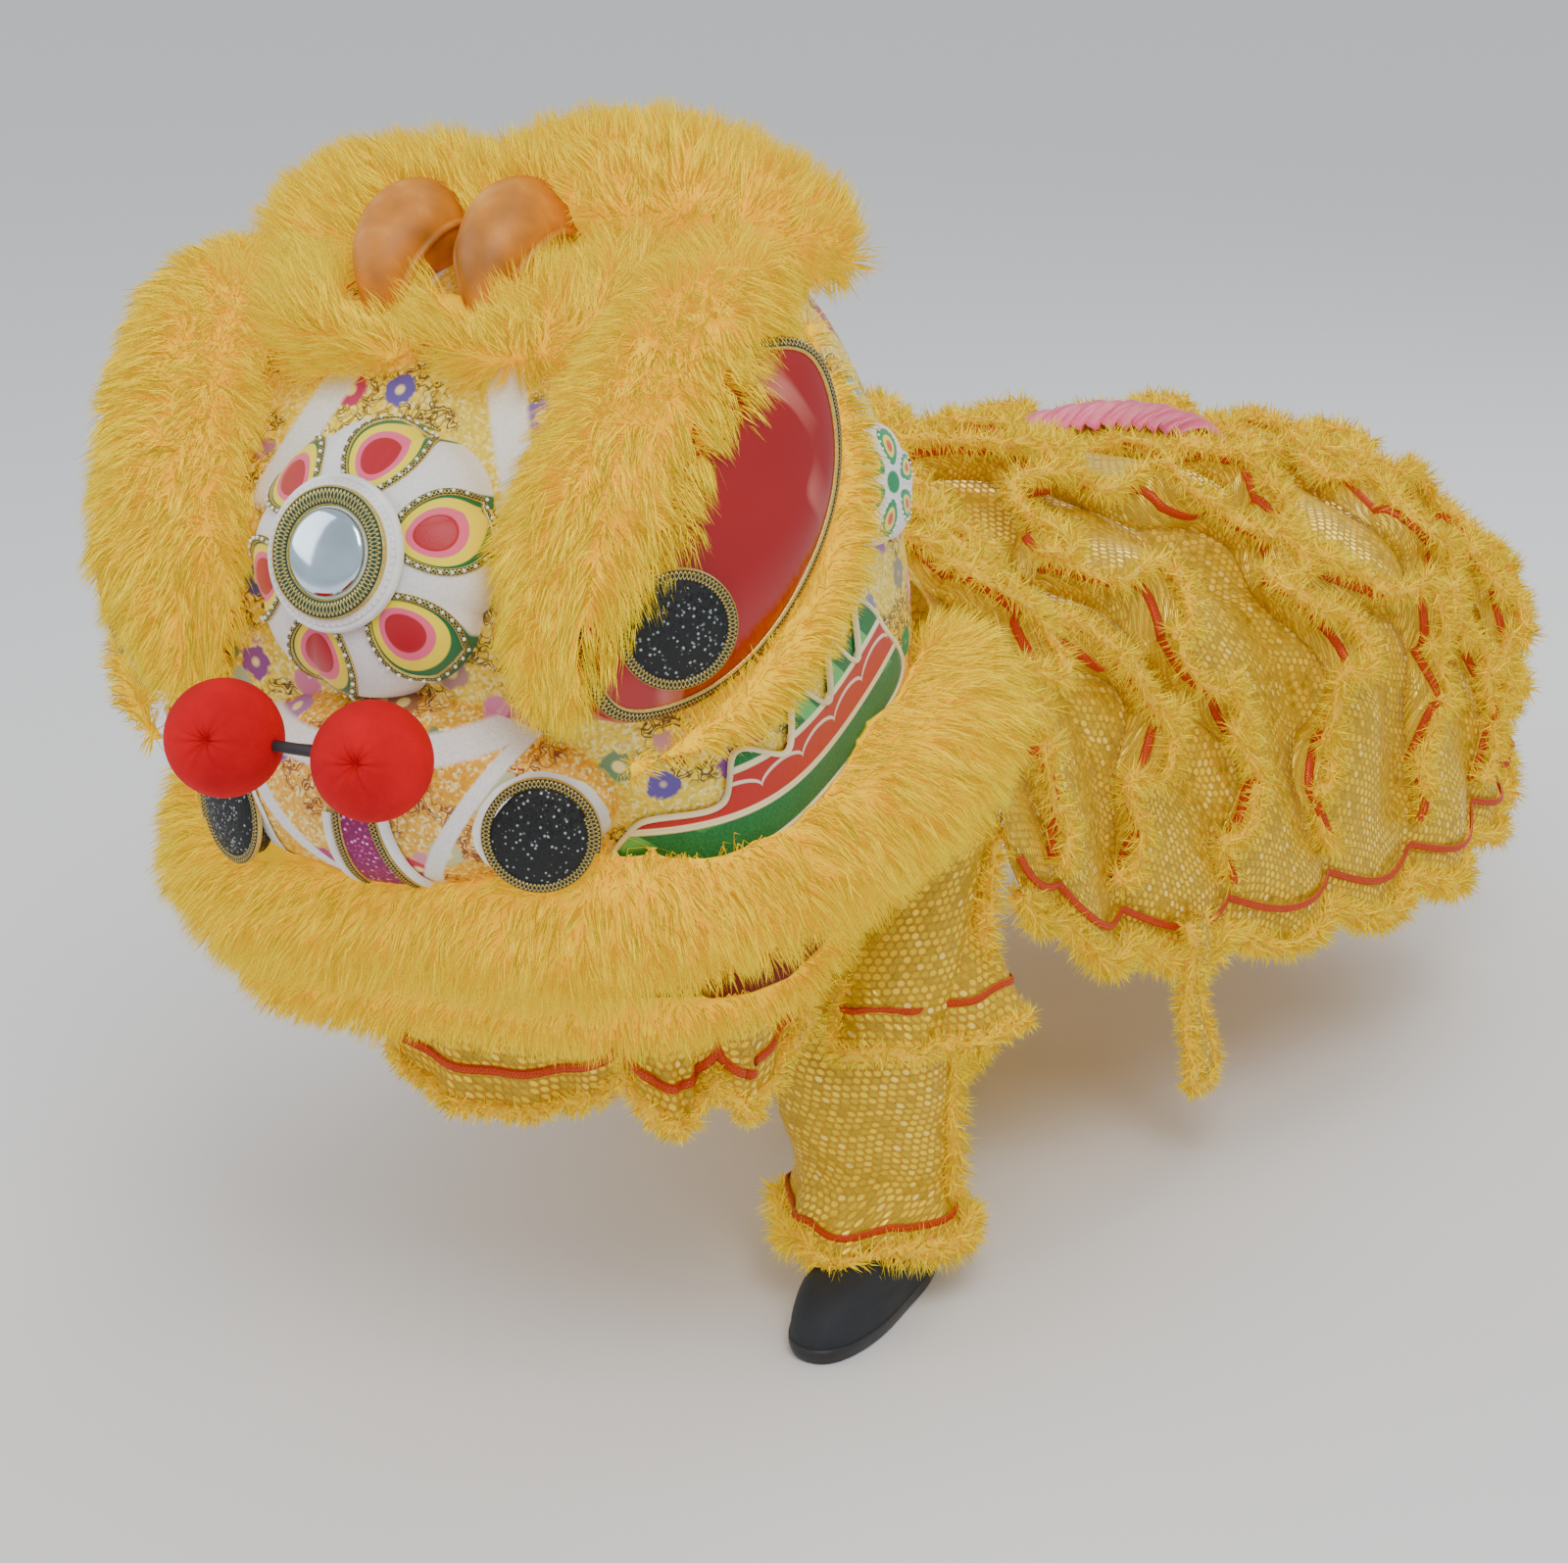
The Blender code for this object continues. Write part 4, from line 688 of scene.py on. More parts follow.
def ribbon(path, over, width, rise, closed=False):
    """A raised flat band along a path. It is rounded across, and holds its places across and along."""
    path = np.array([tuple(point) for point in path])
    over = unit(np.array([tuple(way) for way in over]))
    if closed:
        ahead = np.roll(path, -1, axis=0) - np.roll(path, 1, axis=0)
    else:
        ahead = np.gradient(path, axis=0)
    side = unit(np.cross(ahead, over))
    steps = np.linalg.norm(np.diff(path, axis=0, append=path[:1] if closed else path[-1:]), axis=1)
    along = np.concatenate([[0], np.cumsum(steps)[:-1]])
    profile = [(-1.0, -0.6), (-1.0, 0.35), (-0.6, 0.9), (0.0, 1.0), (0.6, 0.9), (1.0, 0.35), (1.0, -0.6)]
    grid = []
    for point, beside, above in zip(path, side, over):
        grid.append([point + s * beside * width / 2 + above * rise * r for s, r in profile])
    if closed:
        grid.append(grid[0])
        along = np.append(along, along[-1] + steps[-1])
    mesh = grid_mesh(grid)
    give(mesh, "across", np.tile([s for s, _ in profile], len(grid)))
    give(mesh, "along", np.repeat(along, len(profile)))
    mesh.flip_normals()
    return mesh


def beads(places, radius):
    """Small beads at some places, in one mesh."""
    work = bmesh.new()
    for place in places:
        pose = Matrix.Translation(Vector(place))
        bmesh.ops.create_icosphere(work, subdivisions=1, radius=radius, matrix=pose)
    mesh = bpy.data.meshes.new("beads")
    work.to_mesh(mesh)
    work.free()
    return mesh


def joined(*meshes):
    """One mesh of several. Each keeps its own materials and the numbers that it holds."""
    made = []
    for mesh in meshes:
        obj = bpy.data.objects.new("part", mesh)
        bpy.context.scene.collection.objects.link(obj)
        made.append(obj)
    with bpy.context.temp_override(active_object=made[0], selected_editable_objects=made):
        bpy.ops.object.join()
    mesh = made[0].data
    bpy.data.objects.remove(made[0])
    return mesh


def dressed(mesh, finish):
    """The mesh with this finish, to be joined to others."""
    mesh.materials.clear()
    mesh.materials.append(look(finish))
    mesh.shade_smooth()
    return mesh


def fine_dome(outline, height, back, rings=10, power=1.0):
    """A smooth bulge on an outline that faces local +Z, with straight sides that reach back."""
    outline = np.array(outline)
    levels = [(1.0, -back)]
    for step in range(rings + 1):
        turn = math.pi / 2 * step / rings
        levels.append((max(0.002, math.cos(turn)), height * math.sin(turn) ** power))
    rows = [np.column_stack([outline * size, np.full(len(outline), level)]) for size, level in levels]
    return grid_mesh(rows, closed=True, ends=True)


def circle(radius, sides=64):
    turns = np.linspace(0, 2 * math.pi, sides, endpoint=False)
    return np.column_stack([radius * np.cos(turns), radius * np.sin(turns)])


def flower(radius, petals, depth, sides=128):
    turns = np.linspace(0, 2 * math.pi, sides, endpoint=False)
    reach = radius * (1 - depth + depth * np.abs(np.cos(petals * turns / 2)) ** 0.6)
    return np.column_stack([reach * np.cos(turns), reach * np.sin(turns)])


def turned(out, side, turn):
    """A flat place that lies out from a centre and to the side, turned round the centre."""
    return (out * math.cos(turn) - side * math.sin(turn), out * math.sin(turn) + side * math.cos(turn))


def axes_of(pose):
    """The three axes of a pose."""
    return [tuple(pose.col[k].xyz) for k in range(3)]


def drop_on(target, places, ways, lift):
    """Places moved along their ways onto a mesh, and lifted off it a little."""
    tree = tree_of(target)
    found = []
    for place, way in zip(places, ways):
        hit, normal, _, _ = tree.ray_cast(Vector(place) + Vector(way) * 0.2, -Vector(way))
        if hit is None:
            hit, normal, _, _ = tree.find_nearest(Vector(place))
        found.append((hit + normal * lift, normal))
    return [place for place, _ in found], [normal for _, normal in found]


LOOKS = {}


def look(name):
    """The finish of this name. Each is made once."""
    if name not in LOOKS:
        LOOKS[name] = FINISHES[name]()
    return LOOKS[name]


def print_finish(name, ground, dark, spots, bands):
    """Glossy printed cloth: scrolls, blossoms and leaves on gold, with white velvet bands over it."""

    def paint(spot):
        right, _, up = axes_of(HEAD)
        x, z = spot.along(right), spot.along(up)
        foil = spot.cells(330.0, 1)
        sparkle = foil.channel()
        lit = sparkle.ramp((0.0, toned(ground, 0.72)), (0.6, ground), (1.0, (1.0, 0.90, 0.40)))
        sparse = spot.noise(17.0, 1.0).step(0.52, 0.05)
        scroll = abs(spot.noise(44.0, 2.0) - 0.5).near(0.03, 0.012, 0.4) * sparse
        twig = abs(spot.noise(80.0, 1.0) - 0.5).near(0.02, 0.010, 0.4) * sparse
        bed = spot.cells(21.0)
        kind = spot.cells(21.0, 1)
        chance = kind.channel()
        bloom = 1.0 - (bed + spot.noise(120.0, 1.0) * 0.25).step(0.46, 0.06)
        heart = 1.0 - bed.step(0.13, 0.05)
        stops = [(index / len(spots), color) for index, color in enumerate(spots)]
        petals = chance.ramp(*stops)
        color = (scroll.either(twig) * 0.9).mix(lit, dark)
        color = (bloom * chance.step(0.12, 0.02)).mix(color, petals)
        color = (heart * chance.step(0.12, 0.02)).mix(color, (0.95, 0.80, 0.30))
        white = bands(abs(x), z)
        velvet = spot.noise(700.0, 1.0)
        color = white.mix(color, velvet.ramp((0.3, (0.72, 0.70, 0.66)), (0.7, (0.93, 0.92, 0.88))))
        shine = (1.0 - white) * (1.0 - scroll) * (1.0 - bloom)
        return {
            "Base Color": color,
            "Roughness": 0.80 - shine * 0.42,
            "Metallic": shine * 0.2,
            "Normal": (sparkle * shine * 0.5 + velvet * white * 0.6 + bloom * 0.3).bump(0.6, 0.0012),
        }

    return finish_of(name, paint)


def forehead_bands(ax, z):
    """The white bands that run from the horns down to the boss, and round it."""
    slant = (ax - 0.025 - (0.34 - z) * 0.52).near(0.0, 0.015, 0.35)
    return slant * z.step(0.13, 0.01) * (1.0 - z.step(0.36, 0.01))


def muzzle_bands(ax, z):
    """The white edging over the muzzle and the V on either side of its middle."""
    brim = (z + 0.060 - ax * ax * 1.2).near(0.0, 0.011, 0.35)
    vee = (ax - 0.045 - (z + 0.175) * 0.75).near(0.0, 0.0075, 0.35) * (z + 0.19).step(0.0, 0.004)
    return brim.either(vee)


def petal_finish(name, pose, petals, start, place, radial, tangent, colors, ground, centre=0.0):
    """Felt with a ring of printed petals: each is a nest of coloured outlines."""

    def paint(spot):
        right, up, _ = axes_of(pose)
        origin = tuple(pose.translation)
        u, v = spot.along(right, origin), spot.along(up, origin)
        turn = v.math("ARCTAN2", u) - start
        pitch = 2 * math.pi / petals
        fold = (turn + pitch / 2) % pitch - pitch / 2
        reach = (u * u + v * v).math("SQRT")
        out = reach * fold.math("COSINE") - place
        side = reach * fold.sin()
        taper = 1.0 + out * (0.35 / radial)
        long, wide = out / radial, side / tangent / taper
        size = (long * long + wide * wide).math("SQRT")
        nest = size.ramp(*colors)
        inside = 1.0 - size.step(1.0, 0.03)
        nap = spot.noise(600.0, 2.0)
        felt = nap.ramp((0.3, toned(ground, 0.82)), (0.7, ground))
        color = inside.mix(felt, nest)
        if centre:
            color = (1.0 - reach.step(centre, 0.002)).mix(color, colors[-1][1])
        foil = inside * (1.0 - size.step(0.42, 0.04))
        return {
            "Base Color": color,
            "Roughness": 0.85 - inside * 0.2 - foil * 0.2,
            "Normal": (nap * 0.4 + inside * 0.5 + foil * 0.4).bump(0.5, 0.001),
        }

    return finish_of(name, paint, Sheen_Weight=0.2)


def disc_sequins(name, color, glint, scale=330.0):
    """Cloth that is thick with small round sequins."""

    def paint(spot):
        cell = spot.cells(scale)
        kind = spot.cells(scale, 1)
        chance = kind.channel()
        disc = 1.0 - cell.step(0.42, 0.1)
        lit = chance.ramp((0.0, toned(color, 0.4)), (0.72, color), (0.9, glint), (1.0, glint))
        return {
            "Base Color": disc.mix(toned(color, 0.4), lit),
            "Roughness": 0.7 - disc * 0.45,
            "Metallic": disc * 0.3,
            "Normal": (disc * (0.4 + chance * 0.6)).bump(0.8, 0.0015),
        }

    return finish_of(name, paint)


def satin_finish():
    def paint(spot):
        long = spot.noise(9.0)
        # The broad light and dark patches of pink are painted sheen and painted shade.
        color = long.ramp((0.25, (0.55, 0.02, 0.07)), (0.5, (0.86, 0.06, 0.17)), (0.75, (0.98, 0.22, 0.34)))
        thread = spot.noise(900.0, 1.0)
        return {"Base Color": color, "Roughness": 0.30 + thread * 0.12, "Normal": thread.bump(0.15, 0.0005)}

    return finish_of("pink_satin", paint, Sheen_Weight=0.3)


def vinyl_finish():
    """Soft glossy vinyl, slightly creased, with a pale painted highlight along each crease."""

    def paint(spot):
        red = tuple(bpy.context.scene.lion_trim.vinyl)
        wave = spot.noise(7.0, 1.0)
        crease = (spot.along(axes_of(HEAD)[1]) * 48.0 + wave * 9.0).sin().step(0.96, 0.04)
        crease = crease * wave.step(0.47, 0.10)
        tone = wave.ramp((0.3, toned(red, 0.85)), (0.7, toned(red, 1.1)))
        return {
            # The pale colour along the creases is a painted highlight; the creases' bump and roughness are real.
            "Base Color": (crease * 0.45).mix(tone, (0.80, 0.30, 0.22)),
            "Roughness": 0.24 + crease * 0.14,
            "Coat Weight": 0.3,
            "Normal": (crease * 0.5 + wave).bump(0.25, 0.006),
        }

    return finish_of("red_vinyl", paint, Coat_Roughness=0.12)


def leather_finish():
    def paint(spot):
        tan = tuple(bpy.context.scene.lion_trim.leather)
        blotch = spot.noise(22.0)
        pores = spot.cells(900.0)
        tone = blotch.ramp((0.3, toned(tan, 0.62)), (0.55, tan), (0.8, (0.86, 0.42, 0.08)))
        return {"Base Color": tone, "Roughness": 0.42 + blotch * 0.2, "Normal": pores.bump(0.25, 0.0005)}

    return finish_of("tan_leather", paint)


def plush_finish(name, low, high):
    def paint(spot):
        tuft = spot.cells(240.0)
        # The low colour, at the borders of the tufts, is painted shade between them.
        tone = tuft.ramp((0.0, high), (0.55, tuple((a + b) / 2 for a, b in zip(low, high))), (1.0, low))
        return {"Base Color": tone, "Normal": tuft.bump(0.7, 0.002)}

    return finish_of(name, paint, Roughness=0.9, Sheen_Weight=0.4)


def plush_strands():
    """The nap of the plush, which is paler towards its tips as painted light, and orange at its roots as painted
    shade.
    """

    def paint(spot):
        reach, tint = spot.number("reach"), spot.number("tint")
        plush = tuple(bpy.context.scene.lion_cloth.plush)
        # The orange roots are painted shade deep in the nap, and the pale tips are painted light.
        color = reach.ramp((0.0, (1.0, 0.60, 0.0)), (0.6, plush), (1.0, (1.0, 0.86, 0.06)))
        shade = tint.ramp((0.0, (0.88, 0.76, 0.7)), (0.5, (1.0, 1.0, 1.0)))
        napped = color.times(shade)
        return {"Base Color": napped, "Emission Color": napped}

    # The emission is painted light: the nap glows a little in its own colour.
    return finish_of("plush_strands", paint, Roughness=0.9, Specular_IOR_Level=0.0, Emission_Strength=0.40)


PETAL_COLORS = [
    (0.0, (0.46, 0.0, 0.010)), (0.44, (0.46, 0.0, 0.010)), (0.46, (0.85, 0.11, 0.22)),
    (0.60, (0.85, 0.12, 0.23)), (0.62, (0.95, 0.76, 0.01)), (0.80, (0.95, 0.76, 0.01)),
    (0.82, (0.0, 0.15, 0.04)), (1.0, (0.0, 0.14, 0.04)),
]  # fmt: skip
TEMPLE_COLORS = [
    (0.0, (0.72, 0.02, 0.03)), (0.30, (0.80, 0.10, 0.03)), (0.34, (0.93, 0.66, 0.06)),
    (0.58, (0.93, 0.80, 0.10)), (0.62, (0.0, 0.30, 0.10)), (1.0, (0.0, 0.24, 0.08)),
]  # fmt: skip
GOLD_PRINT_SPOTS = [
    (0.80, 0.45, 0.05), (0.70, 0.02, 0.03), (0.02, 0.10, 0.45), (0.85, 0.25, 0.35), (0.02, 0.28, 0.10),
    (0.75, 0.03, 0.04), (0.10, 0.35, 0.55), (0.90, 0.70, 0.10),
]  # fmt: skip

BOSS_RADIUS, BOSS_HEIGHT, BOSS_TILT = 0.118, 0.064, math.radians(18.0)
DISC_RADIUS, DISC_HEIGHT, MIRROR_RADIUS, MIRROR_HEIGHT = 0.062, 0.010, 0.037, 0.009
PETALS, PETAL_START, PETAL_PLACE = 6, math.radians(14.0), 0.086
PETAL_RADIAL, PETAL_TANGENT = 0.036, 0.034
BOSS_POSE = facing(
    head_point(0.0, 0.94, 0.17), (0, -math.cos(BOSS_TILT), math.sin(BOSS_TILT)), (0, 0, 1)
)
EYE_LENGTH, EYE_WIDTH, EYE_BULGE = 0.36, 0.20, 0.045
PUPIL_RADIUS, PUPIL_BULGE = 0.046, 0.012
EYE_POSE = facing(head_point(0.86, 0.72, 0.20), (0.80, -0.56, 0.16), (0.15, 0.69, 0.71))
PUPIL_POSE = (
    EYE_POSE
    @ Matrix.Translation((EYE_WIDTH * 0.02, -EYE_LENGTH * 0.25, EYE_BULGE * 0.72))
    @ Matrix.Rotation(math.radians(16.0), 4, "X")
)
TEMPLE_RADIUS, TEMPLE_HEIGHT, TEMPLE_START, TEMPLE_PLACE = 0.055, 0.02, 0.2, 0.032
# The petals' count, the first one's turn, their place, length and width, colours, ground and the heart's radius.
TEMPLE_PETALS = (6, TEMPLE_START, TEMPLE_PLACE, 0.017, 0.012, TEMPLE_COLORS, (0.86, 0.86, 0.82), 0.010)
TEMPLE_POSE = facing(head_point(1.0, 0.04, 0.17), (0.98, -0.10, 0.14), (0, 0, 1))
NOSE_SIZE = (0.20, 0.10, 0.0925)
NOSE_PLACE = head_point(0.0, 0.87, -0.185)
NOSTRIL_RADIUS, NOSTRIL_HEIGHT = 0.043, 0.011
NOSTRIL_POSE = facing(head_point(0.49, 1.05, -0.225), (0.42, -0.90, 0.05), (0, 0, 1))
CHEEK_LENGTH, CHEEK_HEIGHT, CHEEK_RELIEF = 0.30, 0.13, 0.006
CHEEK_POSE = facing(head_point(1.0, 0.56, -0.14), (0.86, -0.50, 0.05), (0, -0.34, 0.94))
CHEEK_OUTLINE = (
    (-0.50, -0.50), (0.50, -0.50), (0.50, 0.10), (0.40, 0.42), (0.34, 0.05), (0.22, 0.36), (0.16, 0.00),
    (0.02, 0.30), (-0.06, -0.05), (-0.22, 0.20), (-0.30, -0.12), (-0.50, -0.06),
)  # fmt: skip
HORN_RADIUS = 0.044
HORN_LINE = (
    (0.165, 0.18, 0.550, 1.00),
    (0.165, 0.36, 0.605, 1.00),
    (0.165, 0.50, 0.580, 0.78),
    (0.165, 0.56, 0.520, 0.42),
    (0.165, 0.555, 0.460, 0.08),
)
MIRROR_SIDE = HEAD @ Matrix.Scale(-1, 4, (1, 0, 0)) @ HEAD.inverted()


def to_right(mesh):
    """A copy of a left piece's mesh on the head's right side."""
    copy = mesh.copy()
    copy.transform(MIRROR_SIDE)
    copy.flip_normals()
    return copy


BOTH_SIDES = (("left", lambda mesh: mesh), ("right", to_right))


def cheek_finish():
    """The cheek's felt: green flames with pale outlines over a red band with scallops and cream piping."""

    def paint(spot):
        right, up, _ = axes_of(CHEEK_POSE)
        origin = tuple(CHEEK_POSE.translation)
        mirrored = tuple(MIRROR_SIDE @ CHEEK_POSE.translation)
        other = [tuple(MIRROR_SIDE.to_3x3() @ Vector(axis)) for axis in (right, up)]
        left = spot.along(axes_of(HEAD)[0]).step(0.0, 0.001)
        u = spot.along(other[0], mirrored) * (1.0 - left) + spot.along(right, origin) * left
        v = spot.along(other[1], mirrored) * (1.0 - left) + spot.along(up, origin) * left
        nap = spot.noise(500.0, 2.0)
        green = nap.ramp((0.3, (0.0, 0.11, 0.02)), (0.7, (0.0, 0.22, 0.05)))
        flame = abs((u * 62.0 + v * 40.0).sin()).near(0.95, 0.10, 0.5)
        color = (flame * v.step(-0.03, 0.01)).mix(green, (0.12, 0.50, 0.12))
        arch = v + 0.020 - u * u * 0.9 + u * 0.03
        band = arch.near(0.0, 0.020, 0.1)
        scallop = abs(arch + 0.004 - abs((u * 60.0).sin()).math("SQRT") * 0.013).near(0.0, 0.0014, 0.6)
        color = band.mix(color, (scallop * 0.85).mix((0.50, 0.004, 0.0), (0.95, 0.80, 0.62)))
        piping = abs(arch).near(0.0215, 0.0028, 0.4)
        color = piping.mix(color, (0.93, 0.85, 0.50))
        return {
            "Base Color": color,
            "Roughness": 0.75 - band * 0.25,
            "Normal": (nap * 0.3 + band * 0.4 + piping).bump(0.6, 0.002),
        }

    return finish_of("cheek_felt", paint, Sheen_Weight=0.15)


def strand_and_skin(which):
    def made():
        strands, skin = fur_finish(bpy.context.scene.lion_fur)
        LOOKS["fur_strands"], LOOKS["fur_skin"] = strands, skin
        return LOOKS[which]

    return made


FINISHES = {
    "fur_strands": strand_and_skin("fur_strands"),
    "fur_skin": strand_and_skin("fur_skin"),
    "forehead_print": lambda: print_finish(
        "forehead_print", (0.98, 0.70, 0.03), (0.10, 0.035, 0.01), GOLD_PRINT_SPOTS, forehead_bands
    ),
    "muzzle_print": lambda: print_finish(
        "muzzle_print", (0.96, 0.48, 0.02), (0.22, 0.03, 0.02), GOLD_PRINT_SPOTS, muzzle_bands
    ),
    "boss_felt": lambda: petal_finish(
        "boss_felt", BOSS_POSE, PETALS, PETAL_START, PETAL_PLACE, PETAL_RADIAL, PETAL_TANGENT,
        PETAL_COLORS, (0.90, 0.89, 0.86),
    ),
    "temple_felt": lambda: petal_finish("temple_felt", TEMPLE_POSE, *TEMPLE_PETALS),
    "temple_felt_right": lambda: petal_finish("temple_felt_right", MIRROR_SIDE @ TEMPLE_POSE, *TEMPLE_PETALS),
    "white_felt": lambda: painted("white_felt", (0.88, 0.87, 0.84), 0.9, 600.0, 0.0008, Sheen_Weight=0.3),
    "cheek_felt": cheek_finish,
    "mirror": lambda: painted("mirror", (0.62, 0.76, 0.85), 0.10, 30.0, 0.0004, Metallic=1.0),
    "bead": lambda: painted("bead", (0.92, 0.95, 0.90), 0.25, 30.0, 0.0001),
    "gold_braid": lambda: braid_finish("gold_braid", (0.010, 0.022, 0.012), (0.80, 0.55, 0.12)),
    "green_braid": lambda: braid_finish("green_braid", (0.005, 0.045, 0.025), (0.80, 0.62, 0.16)),
    "red_braid": lambda: braid_finish("red_braid", (0.56, 0.018, 0.0), (0.85, 0.14, 0.01)),
    "magenta_sequin": lambda: disc_sequins("magenta_sequin", (0.62, 0.015, 0.26), (1.0, 0.35, 0.75), 260.0),
    "black_sequin": lambda: disc_sequins("black_sequin", (0.012, 0.013, 0.014), (0.35, 0.42, 0.40)),
    "red_cloth": lambda: painted("red_cloth", (0.60, 0.0, 0.006), 0.8, 900.0, 0.0010, Specular_IOR_Level=0.2),
    "red_vinyl": vinyl_finish,
    "tan_leather": leather_finish,
    "pink_satin": satin_finish,
    "dark_metal": lambda: painted("dark_metal", (0.045, 0.040, 0.045), 0.45, 90.0, 0.0002, Metallic=0.6),
    "dark_red_cloth": lambda: painted("dark_red_cloth", (0.20, 0.018, 0.010), 0.85, 500.0, 0.0010),
    "shell_lining": lambda: painted("shell_lining", (0.55, 0.36, 0.10), 0.9, 400.0, 0.0010),
    "sequin_cloth": lambda: sequin_finish(bpy.context.scene.lion_cloth),
    "plush_strands": plush_strands,
    # The orange low colour of the plush is painted shade between its tufts.
    "plush": lambda: plush_finish("plush", (0.93, 0.46, 0.0), tuple(bpy.context.scene.lion_cloth.plush)),
    "black_canvas": lambda: painted("black_canvas", (0.016, 0.019, 0.024), 0.72, 800.0, 0.0010),
    "black_rubber": lambda: painted("black_rubber", (0.018, 0.018, 0.020), 0.5, 90.0, 0.0004),
    "cream_piping": lambda: painted("cream_piping", (0.90, 0.80, 0.48), 0.6, 700.0, 0.0006),
    "red_piping": lambda: painted("red_piping", (0.52, 0.008, 0.004), 0.6, 700.0, 0.0006),
}


def shell_rows(sides, rows):
    """Fine sections of the shell's outer side, in the head's frame."""
    result = []
    for height, width, face, nape, power in smooth_rows(SHELL_SECTIONS, rows):
        front, back = -HEAD_FACE * face, HEAD_NAPE * nape
        middle, reach = (front + back) / 2, (back - front) / 2
        ring = []
        for step in range(sides):
            x, y = superellipse(2 * math.pi * (step + 0.5) / sides, max(2.0, power))
            ring.append((HALF_HEAD * width * x, middle + reach * y, HEAD_RIM + HEAD_HEIGHT * height))
        result.append(ring)
    return np.array(result)


def shell_form():
    """The whole outer form of the head, which the pieces on it are set against."""
    if "form" not in LOOKS:
        LOOKS["form"] = moved(grid_mesh(shell_rows(96, 44), closed=True, ends=True), HEAD)
    return LOOKS["form"]


def within(form, points, depth):
    """Which of these points lie deeper than this inside a closed form."""
    tree = tree_of(form)
    inside = []
    for point in points:
        hit, normal, _, distance = tree.find_nearest(Vector(point))
        inside.append((Vector(point) - hit).dot(normal) < -depth)
    return inside


def trimmed(mesh, form, depth=0.004):
    """The mesh without what lies inside a form."""
    inside = within(form, [v.co for v in mesh.vertices], depth)
    return without_faces(mesh, lambda face: all(inside[v.index] for v in face.verts))


def in_outline(x, y, outline):
    """Whether a point lies inside a closed outline."""
    inside = False
    for (ax, ay), (bx, by) in zip(outline, list(outline[1:]) + [outline[0]]):
        if (ay > y) != (by > y) and x < (bx - ax) * (y - ay) / (by - ay) + ax:
            inside = not inside
    return inside


def rounded(outline, spacing):
    """Evenly spaced points round a smooth closed curve through an outline's corners."""
    corners = np.array(outline, dtype=float)
    loop = np.vstack([corners[-1], corners, corners[0], corners[1]])
    fine = []
    for four in zip(loop, loop[1:], loop[2:], loop[3:]):
        fine += [between(*four, share) for share in np.linspace(0, 1, 12, endpoint=False)]
    fine = np.array(fine + [fine[0]])
    along = np.concatenate([[0], np.cumsum(np.linalg.norm(np.diff(fine, axis=0), axis=1))])
    places = np.linspace(0, along[-1], max(8, int(along[-1] / spacing)), endpoint=False)
    return np.column_stack([np.interp(places, along, fine[:, k]) for k in range(2)])


def patch_on(form, pose, outline, spacing, lift, wall=0.0):
    """A patch of this outline laid on a form, lifted off it by a length, with a wall under it."""
    outline = [tuple(point) for point in outline]
    low, high = np.min(outline, axis=0), np.max(outline, axis=0)
    xs = np.arange(low[0], high[0] + spacing, spacing)
    ys = np.arange(low[1], high[1] + spacing, spacing)
    tree = tree_of(form)
    normal = pose.to_3x3() @ Vector((0, 0, 1))
    points, index = [], {}
    for i, x in enumerate(xs):
        for j, y in enumerate(ys):
            start = pose @ Vector((x, y, 0)) + normal * 0.15
            hit, way, _, _ = tree.ray_cast(start, -normal)
            if hit is not None:
                index[i, j] = len(points)
                points.append(hit + way * lift)
    faces = []
    for i, x in enumerate(xs[:-1]):
        for j, y in enumerate(ys[:-1]):
            corners = [(i, j), (i + 1, j), (i + 1, j + 1), (i, j + 1)]
            if in_outline(x + spacing / 2, y + spacing / 2, outline) and all(c in index for c in corners):
                faces.append([index[c] for c in corners])
    mesh = plain_mesh(points, faces)
    work = bmesh.new()
    work.from_mesh(mesh)
    bmesh.ops.delete(work, geom=[v for v in work.verts if not v.link_faces], context="VERTS")
    # The border is eased so that it follows the outline.
    for _ in range(3):
        edges = [v for v in work.verts if v.is_boundary]
        ease = {v: sum((e.other_vert(v).co for e in v.link_edges if e.is_boundary), Vector()) for v in edges}
        for v, total in ease.items():
            v.co = v.co * 0.4 + total * 0.3
    if wall:
        bmesh.ops.solidify(work, geom=list(work.faces), thickness=wall)
    work.to_mesh(mesh)
    work.free()
    return mesh


def line_on(form, pose, flat, lift):
    """A flat line laid on a form: its points and the ways out there."""
    normal = pose.to_3x3() @ Vector((0, 0, 1))
    places = [pose @ Vector((x, y, 0)) for x, y in flat]
    return drop_on(form, places, [normal] * len(places), lift)


def fur_piece(node, inset, length, density, seed, flow, voxel=0.008, across=(), bare=(), body="costume"):
    """A roll's fur: a soft skin that is drawn in from the solid, and the strands that grow on it."""
    width, clump = bpy.context.scene.lion_fur.width, max(0.012, length * 0.55)
    skin = softened(node, voxel, inset)
    strands = grow_fur(skin, flow, length, width, density, seed, {node, *across}, clump, bare)
    piece(node + "_skin", skin, "fur_skin", (node,), body=body)
    piece(node + "_strands", strands, "fur_strands", (), SLOT_OF[node], body, smooth=False)


def horn_room():
    """Balls round the free ends of the horns and the satin puff, which the fur leaves bare."""
    balls = [(np.array(HEAD @ head_point(0.34, -0.20, 0.66)), 0.075)]
    for x, y, z, size in smooth_rows(HORN_LINE, 24)[9:]:
        for side in (1, -1):
            balls.append((np.array(HEAD @ head_point(side * x, y, z)), HORN_RADIUS * max(size, 0.6) + 0.020))
    return balls


